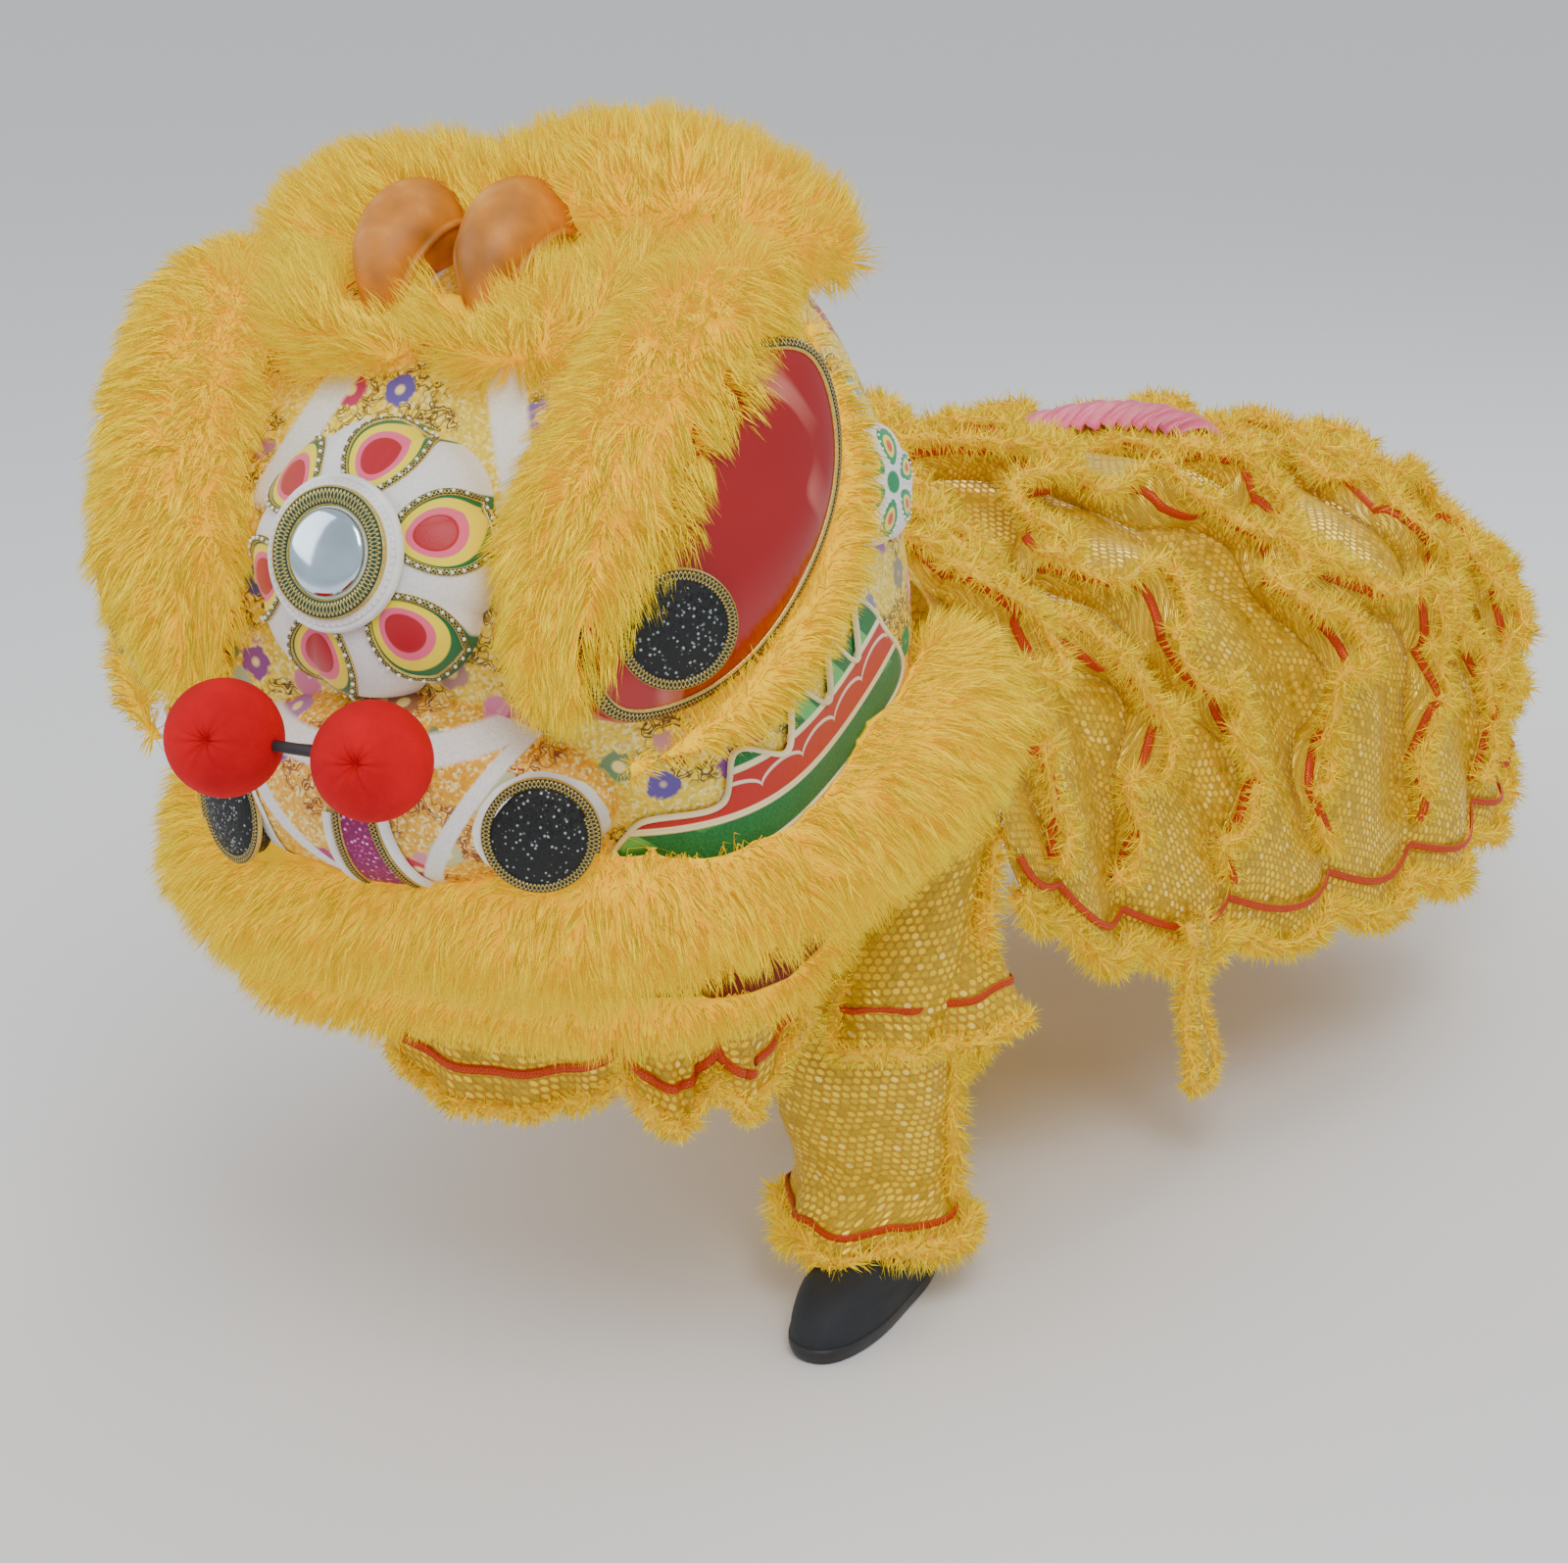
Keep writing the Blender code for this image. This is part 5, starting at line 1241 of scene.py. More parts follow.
class LION_OT_fur(bpy.types.Operator):
    """Grows the deep fur of the brows, the crown, the lip, the jaw, the horns' collar and round the eyes"""

    bl_idname = "lion.fur"
    bl_label = "Fur"

    def execute(self, context):
        fur = context.scene.lion_fur
        long, dense = fur.length, fur.density
        middle = np.array(HEAD @ head_point(0.0, 0.1, 0.05))

        def lip_flow(spot):
            out = spot - middle
            out[2] *= 0.3
            return out / (np.linalg.norm(out) + 1e-9) + np.array([0, 0, -0.55])

        def crown_flow(spot):
            return np.array([spot[0] * 0.8, -0.2, 0.5])

        def steady(*flow):
            return lambda spot: np.array(flow)

        fur_piece("lip_fur", 0.014, long, dense * 1.5, 11, lip_flow, 0.011)
        for side, name in ((1, "left"), (-1, "right")):
            down, back = steady(side * 0.25, -0.45, -0.85), steady(side * 0.6, 0.5, -0.3)
            fur_piece("brow_" + name, 0.012, long, dense * 2.0, 20 + side, down)
            fur_piece("eye_fur_" + name, 0.010, long * 0.62, dense * 1.3, 30 + side, back)
        horns, room = ("horn_left", "horn_right"), horn_room()
        fur_piece("crown_fur", 0.014, long, dense * 1.9, 41, crown_flow, 0.010, (), room)
        fur_piece("horn_fur", 0.004, long * 1.3, dense * 3.2, 51, crown_flow, 0.006, horns, room)
        fur_piece("jaw_fur", 0.005, long * 0.75, dense * 1.1, 61, lip_flow, 0.006, body="jaw")
        return {"FINISHED"}


class LION_OT_head_cloth(bpy.types.Operator):
    """Covers the head's shell with printed cloth"""

    bl_idname = "lion.head_cloth"
    bl_label = "Head Cloth"

    def execute(self, context):
        def at_nape(face):
            point = face.calc_center_median()
            return abs(point.x) < 0.25 and point.y > 0.02 and point.z < 0.15

        mesh = without_faces(grid_mesh(shell_rows(96, 56), closed=True), at_nape)
        obj = piece("head_cloth", moved(mesh, HEAD), ["forehead_print", "shell_lining"], ("head_shell",))
        wall = solidify(obj, 0.003)
        wall.material_offset = 1
        return {"FINISHED"}


class LION_OT_boss(bpy.types.Operator):
    """Makes the forehead's boss with its printed petals, its disc, its braid, its beads and its mirror"""

    bl_idname = "lion.boss"
    bl_label = "Forehead Boss"

    def execute(self, context):
        form = shell_form()
        outline = flower(BOSS_RADIUS, 8, 0.06)
        boss = trimmed(moved(fine_dome(outline, BOSS_HEIGHT, 0.07, 22), BOSS_POSE), form)
        piece("boss", boss, "boss_felt", ("forehead_boss",))
        normal = BOSS_POSE.to_3x3() @ Vector((0, 0, 1))

        # The petals are edged with braid, and beads follow the braid.
        braids, strings = [], []
        for index in range(PETALS):
            turn = PETAL_START + 2 * math.pi * index / PETALS
            ring = []
            for step in range(49):
                swing = math.radians(-158 + 316 * step / 48)
                out = PETAL_PLACE + PETAL_RADIAL * 0.93 * math.cos(swing)
                side = PETAL_TANGENT * 0.95 * math.sin(swing) * (1.0 + 0.30 * math.cos(swing))
                ring.append(turned(out, side, turn))
            ring = [point for point in ring if math.hypot(*point) > DISC_RADIUS * 0.98]
            places, ways = line_on(boss, BOSS_POSE, ring, 0.0008)
            braids.append(ribbon(places, ways, 0.006, 0.0022))
            strings += [place + way * 0.0028 for place, way in zip(places[1::2], ways[1::2])]
        braid = joined(*[dressed(mesh, "green_braid") for mesh in braids])
        piece("petal_braid", braid, [], (), "white_felt")
        piece("petal_beads", beads(strings, 0.0019), "bead", (), "white_felt")

        disc_pose = BOSS_POSE @ Matrix.Translation((0, 0, BOSS_HEIGHT * 0.985))
        disc = moved(fine_dome(circle(DISC_RADIUS), DISC_HEIGHT, 0.008, 10, 0.6), disc_pose)
        piece("disc", disc, "white_felt", ("boss_disc",))
        ring, ways = [], []
        for x, y in circle(MIRROR_RADIUS * 1.28, 72):
            ring.append(disc_pose @ Vector((x, y, DISC_HEIGHT * 0.80)))
            ways.append(normal)
        piece("mirror_braid", ribbon(ring, ways, 0.017, 0.004, closed=True), "green_braid", (), "white_felt")
        rim = [disc_pose @ Vector((x, y, -0.001)) for x, y in circle(DISC_RADIUS * 1.02, 72)]
        piece("disc_edge", ribbon(rim, ways, 0.006, 0.004, closed=True), "white_felt", (), "white_felt")
        around = [disc_pose @ Vector((x, y, DISC_HEIGHT * 0.45)) for x, y in circle(DISC_RADIUS * 0.97, 60)]
        piece("disc_beads", beads(around, 0.0017), "bead", (), "white_felt")
        mirror_pose = BOSS_POSE @ Matrix.Translation((0, 0, BOSS_HEIGHT + DISC_HEIGHT))
        glass = moved(fine_dome(circle(MIRROR_RADIUS), MIRROR_HEIGHT, 0.003, 16, 0.8), mirror_pose)
        piece("looking_glass", glass, "mirror", ("mirror",))
        return {"FINISHED"}


class LION_OT_eyes(bpy.types.Operator):
    """Makes the vinyl eyes with their braid and the sequin pupils"""

    bl_idname = "lion.eyes"
    bl_label = "Eyes"

    def execute(self, context):
        form = shell_form()
        outline = []
        for step in range(96):
            turn = 2 * math.pi * step / 96
            tall = math.sin(turn)
            outline.append((EYE_WIDTH / 2 * math.cos(turn) * (1 - 0.25 * tall**4), EYE_LENGTH / 2 * tall))
        eye = trimmed(moved(fine_dome(outline, EYE_BULGE, EYE_BULGE * 1.5, 18), EYE_POSE), form)
        edge = [(x * 0.955, y * 0.955) for x, y in outline]
        places, ways = line_on(eye, EYE_POSE, edge, 0.0005)
        braid = ribbon(places, ways, 0.013, 0.003, closed=True)
        raised = PUPIL_POSE @ Matrix.Translation((0, 0, 0.007))
        pupil = moved(fine_dome(circle(PUPIL_RADIUS), PUPIL_BULGE, 0.020, 12), raised)
        normal = PUPIL_POSE.to_3x3() @ Vector((0, 0, 1))
        ring = [raised @ Vector((x, y, 0.002)) for x, y in circle(PUPIL_RADIUS, 64)]
        halo = ribbon(ring, [normal] * 64, 0.011, 0.004, closed=True)
        for name, copy in BOTH_SIDES:
            piece("vinyl_eye_" + name, copy(eye), "red_vinyl", ("eye_" + name,))
            piece("eye_braid_" + name, copy(braid), "gold_braid", (), SLOT_OF["eye_" + name])
            piece("sequin_pupil_" + name, copy(pupil), "black_sequin", ("pupil_" + name,))
            piece("pupil_braid_" + name, copy(halo), "gold_braid", (), SLOT_OF["pupil_" + name])
        return {"FINISHED"}


class LION_OT_muzzle(bpy.types.Operator):
    """Makes the printed muzzle, the nostrils with their braid, and the sequin strip between them"""

    bl_idname = "lion.muzzle"
    bl_label = "Muzzle"

    def execute(self, context):
        form = shell_form()
        work = bmesh.new()
        bmesh.ops.create_uvsphere(work, u_segments=96, v_segments=56, radius=1.0)
        mesh = bpy.data.meshes.new("muzzle")
        work.to_mesh(mesh)
        work.free()
        mesh.transform(HEAD @ Matrix.Translation(NOSE_PLACE) @ Matrix.Diagonal((*NOSE_SIZE, 1)))
        muzzle = trimmed(mesh, form)
        piece("muzzle", muzzle, "muzzle_print", ("nose",))

        # Each nostril's braid runs round it and ends in a tail.
        disc = moved(fine_dome(circle(NOSTRIL_RADIUS), NOSTRIL_HEIGHT, 0.016, 12), NOSTRIL_POSE)
        normal = NOSTRIL_POSE.to_3x3() @ Vector((0, 0, 1))
        loop = []
        for step in range(90):
            turn = math.radians(-200 + 400 * step / 89)
            grow = 1.0 + 0.10 * (step / 89)
            loop.append((-NOSTRIL_RADIUS * grow * math.cos(turn), NOSTRIL_RADIUS * grow * math.sin(turn)))
        for step in range(1, 22):
            share = step / 21
            loop.append((loop[89][0] - 0.038 * share, loop[89][1] - 0.032 * share**1.5))
        ring = [NOSTRIL_POSE @ Vector((x, y, 0.001)) for x, y in loop[:90]]
        ways = [normal] * 90
        tail, tail_ways = line_on(muzzle, NOSTRIL_POSE, loop[90:], 0.002)
        braid = ribbon(ring + list(tail), ways + list(tail_ways), 0.0095, 0.0035)
        pad = [(x * 1.32, y * 1.25) for x, y in circle(NOSTRIL_RADIUS)]
        felt = patch_on(muzzle, NOSTRIL_POSE, pad, 0.004, 0.0012)
        for name, copy in BOTH_SIDES:
            slot = SLOT_OF["nostril_" + name]
            piece("sequin_nostril_" + name, copy(disc), "black_sequin", ("nostril_" + name,))
            piece("nostril_braid_" + name, copy(braid), "gold_braid", (), slot)
            piece("nostril_felt_" + name, copy(felt), "white_felt", (), "white_felt")

        pose = facing(head_point(0.0, 1.145, -0.262), (0, -0.95, -0.30), (0, 0, 1))
        half, tall = 0.025, 0.042
        outline = [(-half * 0.7, tall), (half * 0.7, tall), (half, -tall), (-half, -tall)]
        strip = patch_on(muzzle, pose, outline, 0.0035, 0.004, 0.003)
        piece("nose_band", strip, "magenta_sequin", ("nose_strip",))
        slot = SLOT_OF["nose_strip"]
        for side, name in ((1, "left"), (-1, "right")):
            line = [(side * half * (0.85 + 0.15 * -share), tall * share) for share in np.linspace(-1, 1, 24)]
            places, ways = line_on(muzzle, pose, line, 0.004)
            piece("nose_braid_" + name, ribbon(places, ways, 0.009, 0.003), "gold_braid", (), slot)
            outer = [(side * half * (1.25 + 0.18 * -share), tall * share) for share in np.linspace(-1, 1, 24)]
            places, ways = line_on(muzzle, pose, outer, 0.003)
            piece("nose_edge_" + name, ribbon(places, ways, 0.010, 0.003), "white_felt", (), "white_felt")
        return {"FINISHED"}


class LION_OT_pompoms(bpy.types.Operator):
    """Makes the two gathered pompoms and the bar between them"""

    bl_idname = "lion.pompoms"
    bl_label = "Pompoms"

    def execute(self, context):
        middle = head_point(0.0, 1.36, -0.05)
        lean = Vector((math.cos(math.radians(4.0)), 0, -math.sin(math.radians(4.0))))
        for side, name in ((1, "pompom_left"), (-1, "pompom_right")):
            work = bmesh.new()
            bmesh.ops.create_uvsphere(work, u_segments=72, v_segments=48, radius=0.050)
            for v in work.verts:
                polar = math.acos(max(-1.0, min(1.0, v.co.z / 0.050)))
                turn = math.atan2(v.co.y, v.co.x)
                near = max(0.0, 1.0 - polar / 0.9)
                gather = near * (0.4 * math.sin(11 * turn) + 0.25 * math.sin(17 * turn + 1.0)) * 0.05
                dimple = math.exp(-((polar / 0.16) ** 2)) * 0.16 + math.exp(-((polar / 0.42) ** 2)) * 0.05
                v.co *= 1.0 + gather - dimple
            mesh = bpy.data.meshes.new("pompom")
            work.to_mesh(mesh)
            work.free()
            mesh.transform(facing(middle + lean * side * 0.145 / 2, (0.25, -0.93, 0.25), (0, 0, 1)))
            piece("red_" + name, mesh, "red_cloth", (name,))
        NODES["pompom_bar"].material_slots[0].material = look("dark_metal")
        return {"FINISHED"}


def rings_along(points, lean, sides):
    """The ways out round a line at each of its points, with as little twist along it as can be."""
    ahead = unit(np.gradient(points, axis=0))
    side = np.zeros_like(points)
    last = np.cross(ahead[0], lean)
    for index, way in enumerate(ahead):
        last = last - way * (last @ way)
        last /= np.linalg.norm(last)
        side[index] = last
    over = np.cross(side, ahead)
    turns = np.linspace(0, 2 * math.pi, sides, endpoint=False)
    return np.cos(turns)[None, :, None] * side[:, None] + np.sin(turns)[None, :, None] * over[:, None]


class LION_OT_horns(bpy.types.Operator):
    """Makes the two stuffed leather horns with their stitched, rope-like edge"""

    bl_idname = "lion.horns"
    bl_label = "Horns"

    def execute(self, context):
        rows = smooth_rows([(*head_point(x, y, z), size) for x, y, z, size in HORN_LINE], 56)
        points, reach = rows[:, :3], HORN_RADIUS * rows[:, 3:]
        ring = rings_along(points, (0.1, 0.3, 1.0), 40)
        mesh = moved(grid_mesh(points[:, None] + ring * reach[:, None], closed=True, ends=True), HEAD)
        seams = []
        for side in (ring[:, 0], -ring[:, 0]):
            rope = [HEAD @ Vector(place) for place in points + side * reach]
            ways = [HEAD.to_3x3() @ Vector(out) for out in side]
            seams.append(dressed(ribbon(rope, ways, 0.007, 0.005), "tan_leather"))
        stitched = joined(*seams)
        for name, copy in BOTH_SIDES:
            piece("leather_horn_" + name, copy(mesh), "tan_leather", ("horn_" + name,))
            piece("horn_seam_" + name, copy(stitched), [], (), SLOT_OF["horn_" + name])
        return {"FINISHED"}


class LION_OT_cheeks(bpy.types.Operator):
    """Makes the flame panels on the cheeks and the flower bosses on the temples"""

    bl_idname = "lion.cheeks"
    bl_label = "Cheeks"

    def execute(self, context):
        form = shell_form()
        corners = [(x * CHEEK_LENGTH, y * CHEEK_HEIGHT) for x, y in CHEEK_OUTLINE]
        outline = rounded(corners, 0.004)
        panel = patch_on(form, CHEEK_POSE, outline, 0.0050, CHEEK_RELIEF, CHEEK_RELIEF - 0.001)
        places, ways = line_on(form, CHEEK_POSE, outline, CHEEK_RELIEF - 0.001)
        piping = ribbon(places, ways, 0.0045, 0.003, closed=True)
        dome = fine_dome(flower(TEMPLE_RADIUS, 6, 0.10), TEMPLE_HEIGHT, 0.05, 14)
        boss = trimmed(moved(dome, TEMPLE_POSE), form)
        spots = []
        for index in range(6):
            turn = TEMPLE_START + 2 * math.pi * index / 6
            for step in range(14):
                swing = math.radians(-150 + 300 * step / 13)
                out, side = TEMPLE_PLACE + 0.0165 * math.cos(swing), 0.0125 * math.sin(swing)
                spots.append(turned(out, side, turn))
        places, _ = line_on(boss, TEMPLE_POSE, spots, 0.0006)
        string = beads(places, 0.0015)
        for name, copy in BOTH_SIDES:
            felt = "temple_felt" if name == "left" else "temple_felt_right"
            piece("cheek_panel_" + name, copy(panel), "cheek_felt", ("cheek_" + name,))
            piece("cheek_piping_" + name, copy(piping), "cream_piping", (), SLOT_OF["cheek_" + name])
            piece("temple_" + name, copy(boss), felt, ("temple_boss_" + name,))
            piece("temple_beads_" + name, copy(string), "bead", (), SLOT_OF["temple_boss_" + name])
        return {"FINISHED"}


class LION_OT_satin(bpy.types.Operator):
    """Makes the gathered satin puff behind the crown"""

    bl_idname = "lion.satin"
    bl_label = "Crown Satin"

    def execute(self, context):
        pose = facing(head_point(0.34, -0.20, 0.56), (0.1, 0.25, 0.96), (0, 1, 0))
        mesh = fine_dome(flower(0.10, 8, 0.12, 160), 0.085, 0.07, 28)
        for v in mesh.vertices:
            turn, reach = math.atan2(v.co.y, v.co.x), math.hypot(v.co.x, v.co.y)
            pleat = math.sin(turn * 13 + reach * 30) * 0.6 + math.sin(turn * 29 + 2) * 0.4
            v.co *= 1.0 + 0.035 * pleat * min(1.0, reach / 0.05)
        piece("crown_puff", trimmed(moved(mesh, pose), shell_form()), "pink_satin", ("crown_satin",))
        return {"FINISHED"}


def body_point(along, across, sections):
    """A point of the body cloth's outer side, from 0 at the nape to 1 at the rump, and from hem to hem."""
    place = min(max(along, 0.0), 1.0) * (len(sections) - 1)
    index = min(int(place), len(sections) - 2)
    row = sections[index] + (sections[index + 1] - sections[index]) * (place - index)
    hem, spine, swing, width, top, low, power = row
    turn = math.pi / 2 * across
    side, rise = math.sin(turn), math.cos(turn)
    side = math.copysign(abs(side) ** (2 / power), side)
    rise = abs(rise) ** (2 / power)
    edge = abs(across)
    row_phase = along * (RUFFLE_ROWS + 1)
    calm = min(1.0, along * 6.0)
    puff = PUFF * abs(math.sin(math.pi * row_phase)) * calm
    gather = PUFF * 0.45 * math.sin(across * 14.0 + math.sin(row_phase * 2.4) * 1.5) * calm
    hem_wave = HEM_WAVE * abs(math.sin(math.pi * row_phase)) * edge**4
    lag = spine + (hem - spine) * edge**1.4
    half = (HALF_HEAD * 2 * NAPE_SPREAD * (1 - along) + BODY_WIDTH * along) / 2
    swell = 1 + (puff + gather) / half
    return Vector(
        (
            BODY_BEND * swing + half * width * side * swell,
            BODY_START + BODY_LENGTH * lag,
            BODY_HEIGHT * (low + (top - low) * rise) + (puff + gather) * rise - hem_wave,
        )
    )


def body_outward(along, across, sections):
    step = 0.01
    here = body_point(along, across, sections)
    if along + step > 1.0:
        ahead = here - body_point(along - step, across, sections)
    else:
        ahead = body_point(along + step, across, sections) - here
    beside = body_point(along, across + step, sections) - here
    return beside.cross(ahead).normalized()


def fringe_on(mesh, length, seed):
    """Short plush strands all over a mesh."""
    spots, ways, chance = scattered(mesh, NAP_DENSITY, seed)
    count = len(spots)
    long = length * chance.uniform(0.55, 1.15, count)
    lie = unit(ways + chance.normal(size=(count, 3)) * NAP_LEAN + np.array([0, 0, -NAP_DROOP]))
    tips = spots + lie * long[:, None]
    wide = NAP_WIDTH * chance.uniform(0.7, 1.3, count)
    side = unit(np.cross(lie, unit(chance.normal(size=(count, 3))))) * wide[:, None] / 2
    points = np.stack([spots - side, spots + side, tips], axis=1).reshape(-1, 3)
    mesh = bpy.data.meshes.new("nap")
    mesh.from_pydata(points.tolist(), [], np.arange(count * 3).reshape(-1, 3).tolist())
    give(mesh, "reach", np.tile([0.0, 0.0, 1.0], count))
    give(mesh, "tint", np.repeat(chance.random(count), 3))
    mesh.shade_smooth()
    mesh.normals_split_custom_set_from_vertices(unit(np.repeat(ways, 3, axis=0)).tolist())
    return mesh


def plush_edge(name, path, radius, slot, seed, length=0.021, body="costume"):
    """A fat plush edge along a path, with its nap."""
    path = np.array([tuple(point) for point in path])
    count = len(path)
    knots = np.arange(0, count + 6, 6)
    fullness = np.random.default_rng(seed).normal(size=len(knots))
    swell = 1.0 + 0.22 * np.interp(np.arange(count), knots, fullness)
    swell = np.clip(swell, 0.6, 1.4) * radius
    ring = rings_along(path, (0.13, 0.21, 1.0), 6)
    skin = grid_mesh(path[:, None] + ring * swell[:, None, None], closed=True, ends=True)
    if skin.vertices[0].normal @ Vector(ring[0, 0]) < 0:
        skin.flip_normals()
    strands = fringe_on(skin, length, seed)
    mesh = joined(dressed(skin, "plush"), dressed(strands, "plush_strands"))
    return piece(name, mesh, [], (), slot, body)


def wrinkle(point, scale, depth):
    """How far cloth lies out of its plane at a place."""
    spot = Vector(point) * scale
    return depth * (noise.noise(spot) + 0.5 * noise.noise(spot * 2.3 + Vector((7, 3, 1))))


class LION_OT_body(bpy.types.Operator):
    """Makes the sequin cloth of the body with its puffs, gathers and wrinkles"""

    bl_idname = "lion.body"
    bl_label = "Body Cloth"

    def execute(self, context):
        sections = smooth_rows(BODY_SECTIONS, 40)
        rows, columns = 112, 100
        grid = []
        for i in range(rows + 1):
            along = i / rows
            row = []
            for j in range(columns + 1):
                across = 2 * j / columns - 1
                point = body_point(along, across, sections)
                way = body_outward(along, across, sections)
                crease = abs((along * (RUFFLE_ROWS + 1)) % 1.0 - 0.5) * 2
                fold = wrinkle((point.x, point.y * 0.7, point.z), 9.0, 0.011)
                pinch = -0.004 * crease**6 * (1 + math.sin(across * 60))
                row.append(point + way * (fold * (1 - crease**3 * 0.6) + pinch - 0.004))
            grid.append(row)
        grid = np.array([[tuple(p) for p in row] for row in grid])
        mesh = grid_mesh(grid)
        cloth_places(mesh, grid)
        mesh = trimmed(mesh, shell_form(), 0.002)
        obj = piece("cloth_body", mesh, "sequin_cloth", ("body_cloth",))
        solidify(obj, CLOTH_WALL)
        return {"FINISHED"}


PATCH_ROWS = (4, 5)
RUFFLE_HEIGHT, RUFFLE_SWING, RUFFLE_WAVES = 0.058, 0.030, 12


class LION_OT_ruffles(bpy.types.Operator):
    """Makes the winding ruffles: sequin strips with a red braid and a plush edge"""

    bl_idname = "lion.ruffles"
    bl_label = "Ruffles"

    def execute(self, context):
        sections = smooth_rows(BODY_SECTIONS, 40)
        samples, steps = 400, 6
        start, stop = 1 / 12, 23 / 24  # where a row starts and ends, as shares of the way from hem to hem
        for index in range(RUFFLE_ROWS):
            row_place = (index + 1) / (RUFFLE_ROWS + 1)
            pitch = 1 / (RUFFLE_ROWS + 1)
            chance = np.random.default_rng(90 + index)
            phases = chance.uniform(0, 6.28, 4)
            grid, tops = [], []
            for step in range(samples + 1):
                share = start + (stop - start) * step / samples
                turn = 2 * share - 1
                wave = 2 * math.pi * RUFFLE_WAVES * share + index * 1.3
                calm = min(1.0, 3 * (1 - abs(turn)))
                roam = math.sin(2 * math.pi * (2.4 + 0.5 * (index % 3)) * share + phases[2])
                roam += 0.45 * math.sin(2 * math.pi * 6.3 * share + phases[0])
                # The two rows beside the satin patch leave it open.
                quiet = math.exp(-((turn / 0.24) ** 4)) if index in PATCH_ROWS else 0.0
                roam *= 1 - quiet
                along = row_place + pitch * 0.32 * roam * calm
                root = body_point(along, turn, sections)
                outward = body_outward(along, turn, sections)
                backward = body_point(along + pitch / 4, turn, sections) - root
                backward *= 4 / (pitch * BODY_LENGTH)
                beside = (body_point(along, turn + 0.01, sections) - root).normalized()
                loop = beside * 0.020 * math.sin(2 * wave + phases[3]) * calm
                wind = math.sin(wave) + 0.45 * math.sin(0.37 * wave + phases[0])
                wind += 0.2 * math.sin(2.3 * wave + phases[1])
                flop = backward * (RUFFLE_HEIGHT * 0.45 + RUFFLE_SWING * wind)
                flop = flop / max(1.0, backward.length) * (1 - quiet)
                tall = 0.74 + 0.12 * math.sin(1.3 * wave + phases[2]) - 0.4 * quiet
                rise = (outward * RUFFLE_HEIGHT * tall + flop) * min(1.0, 2.5 * (1 - abs(turn))) + loop
                column = []
                for k in range(steps):
                    s = k / (steps - 1)
                    belly = outward * 0.010 * math.sin(math.pi * s) * math.sin(wave + phases[3])
                    column.append(root + outward * 0.001 + rise * s + belly)
                grid.append([tuple(p) for p in column])
                tops.append(column[-1])
            array = np.array(grid)
            node = f"ruffle_{index + 1}"
            strip, area = cloth_on(f"ruffle_cloth_{index + 1}", array, node)
            normals = unit(np.cross(np.gradient(array[:, 3], axis=0), array[:, 4] - array[:, 2]))
            trims = []
            for sign in (-1, 1):
                line = array[:, 3] + normals * 0.0016 * sign
                trims.append(dressed(ribbon(line[::2], normals[::2] * sign, 0.010, 0.002), "red_braid"))
            slot = SLOT_OF[node]
            braid = piece(f"ruffle_braid_{index + 1}", joined(*trims), [], (), slot)
            edge = plush_edge(f"ruffle_edge_{index + 1}", tops, 0.0065, slot, 300 + index)
            tall = float(np.linalg.norm(np.diff(array, axis=1), axis=2).sum(axis=1).max())
        return {"FINISHED"}


WAIST = Vector((0.11, 0.36, -0.10))
# Height over the waist and width as a share of the waist's.
SEAT_SECTIONS = (
    (-0.20, 0.80), (-0.17, 0.90), (-0.12, 0.96), (-0.05, 1.0),
    (0.0, 1.0), (0.05, 1.0), (0.10, 1.0), (0.16, 1.0),
)  # fmt: skip
WAIST_WIDTH, WAIST_DEPTH, HIP_SIDE = 0.36, 0.26, 0.0792
LEG_HEM_WIDTH, LEG_DEPTH, KNEE_BOW, HEM_HEIGHT, HEM_OFFSET = 0.18, 0.92, 0.075, 0.082, 0.018
LEFT_FOOT = Vector((0.250, 0.175, 0.0))
RIGHT_FOOT = LEFT_FOOT + Vector((-math.sin(math.radians(22.5)), math.cos(math.radians(22.5)), 0)) * 0.42
LEG_SECTIONS = (
    # height, bow, width, pleats
    (1.00, 0.00, 1.10, 0.00),
    (0.78, 0.40, 1.22, 0.02),
    (0.52, 0.95, 1.30, 0.04),
    (0.34, 1.00, 1.18, 0.05),
    (0.18, 0.60, 0.98, 0.06),
    (0.07, 0.20, 0.86, 0.05),
    (0.00, 0.00, 1.02, 0.10),
)
SHOE_SECTIONS = (
    # height, toe draws back, width
    (0.00, 0.02, 0.94),
    (0.14, 0.00, 1.00),
    (0.38, 0.03, 0.99),
    (0.58, 0.12, 0.92),
    (0.76, 0.32, 0.82),
    (1.00, 0.44, 0.74),
)
SHOE_LENGTH, SHOE_WIDTH, SHOE_HEIGHT, SHOE_HEEL, SHOE_ROWS = 0.262, 0.094, 0.10, 0.26, 40
FLAP_TOP, FLAP_DROP, FLAP_REACH = -0.36, 0.10, (0.55, 0.66, 0.76)


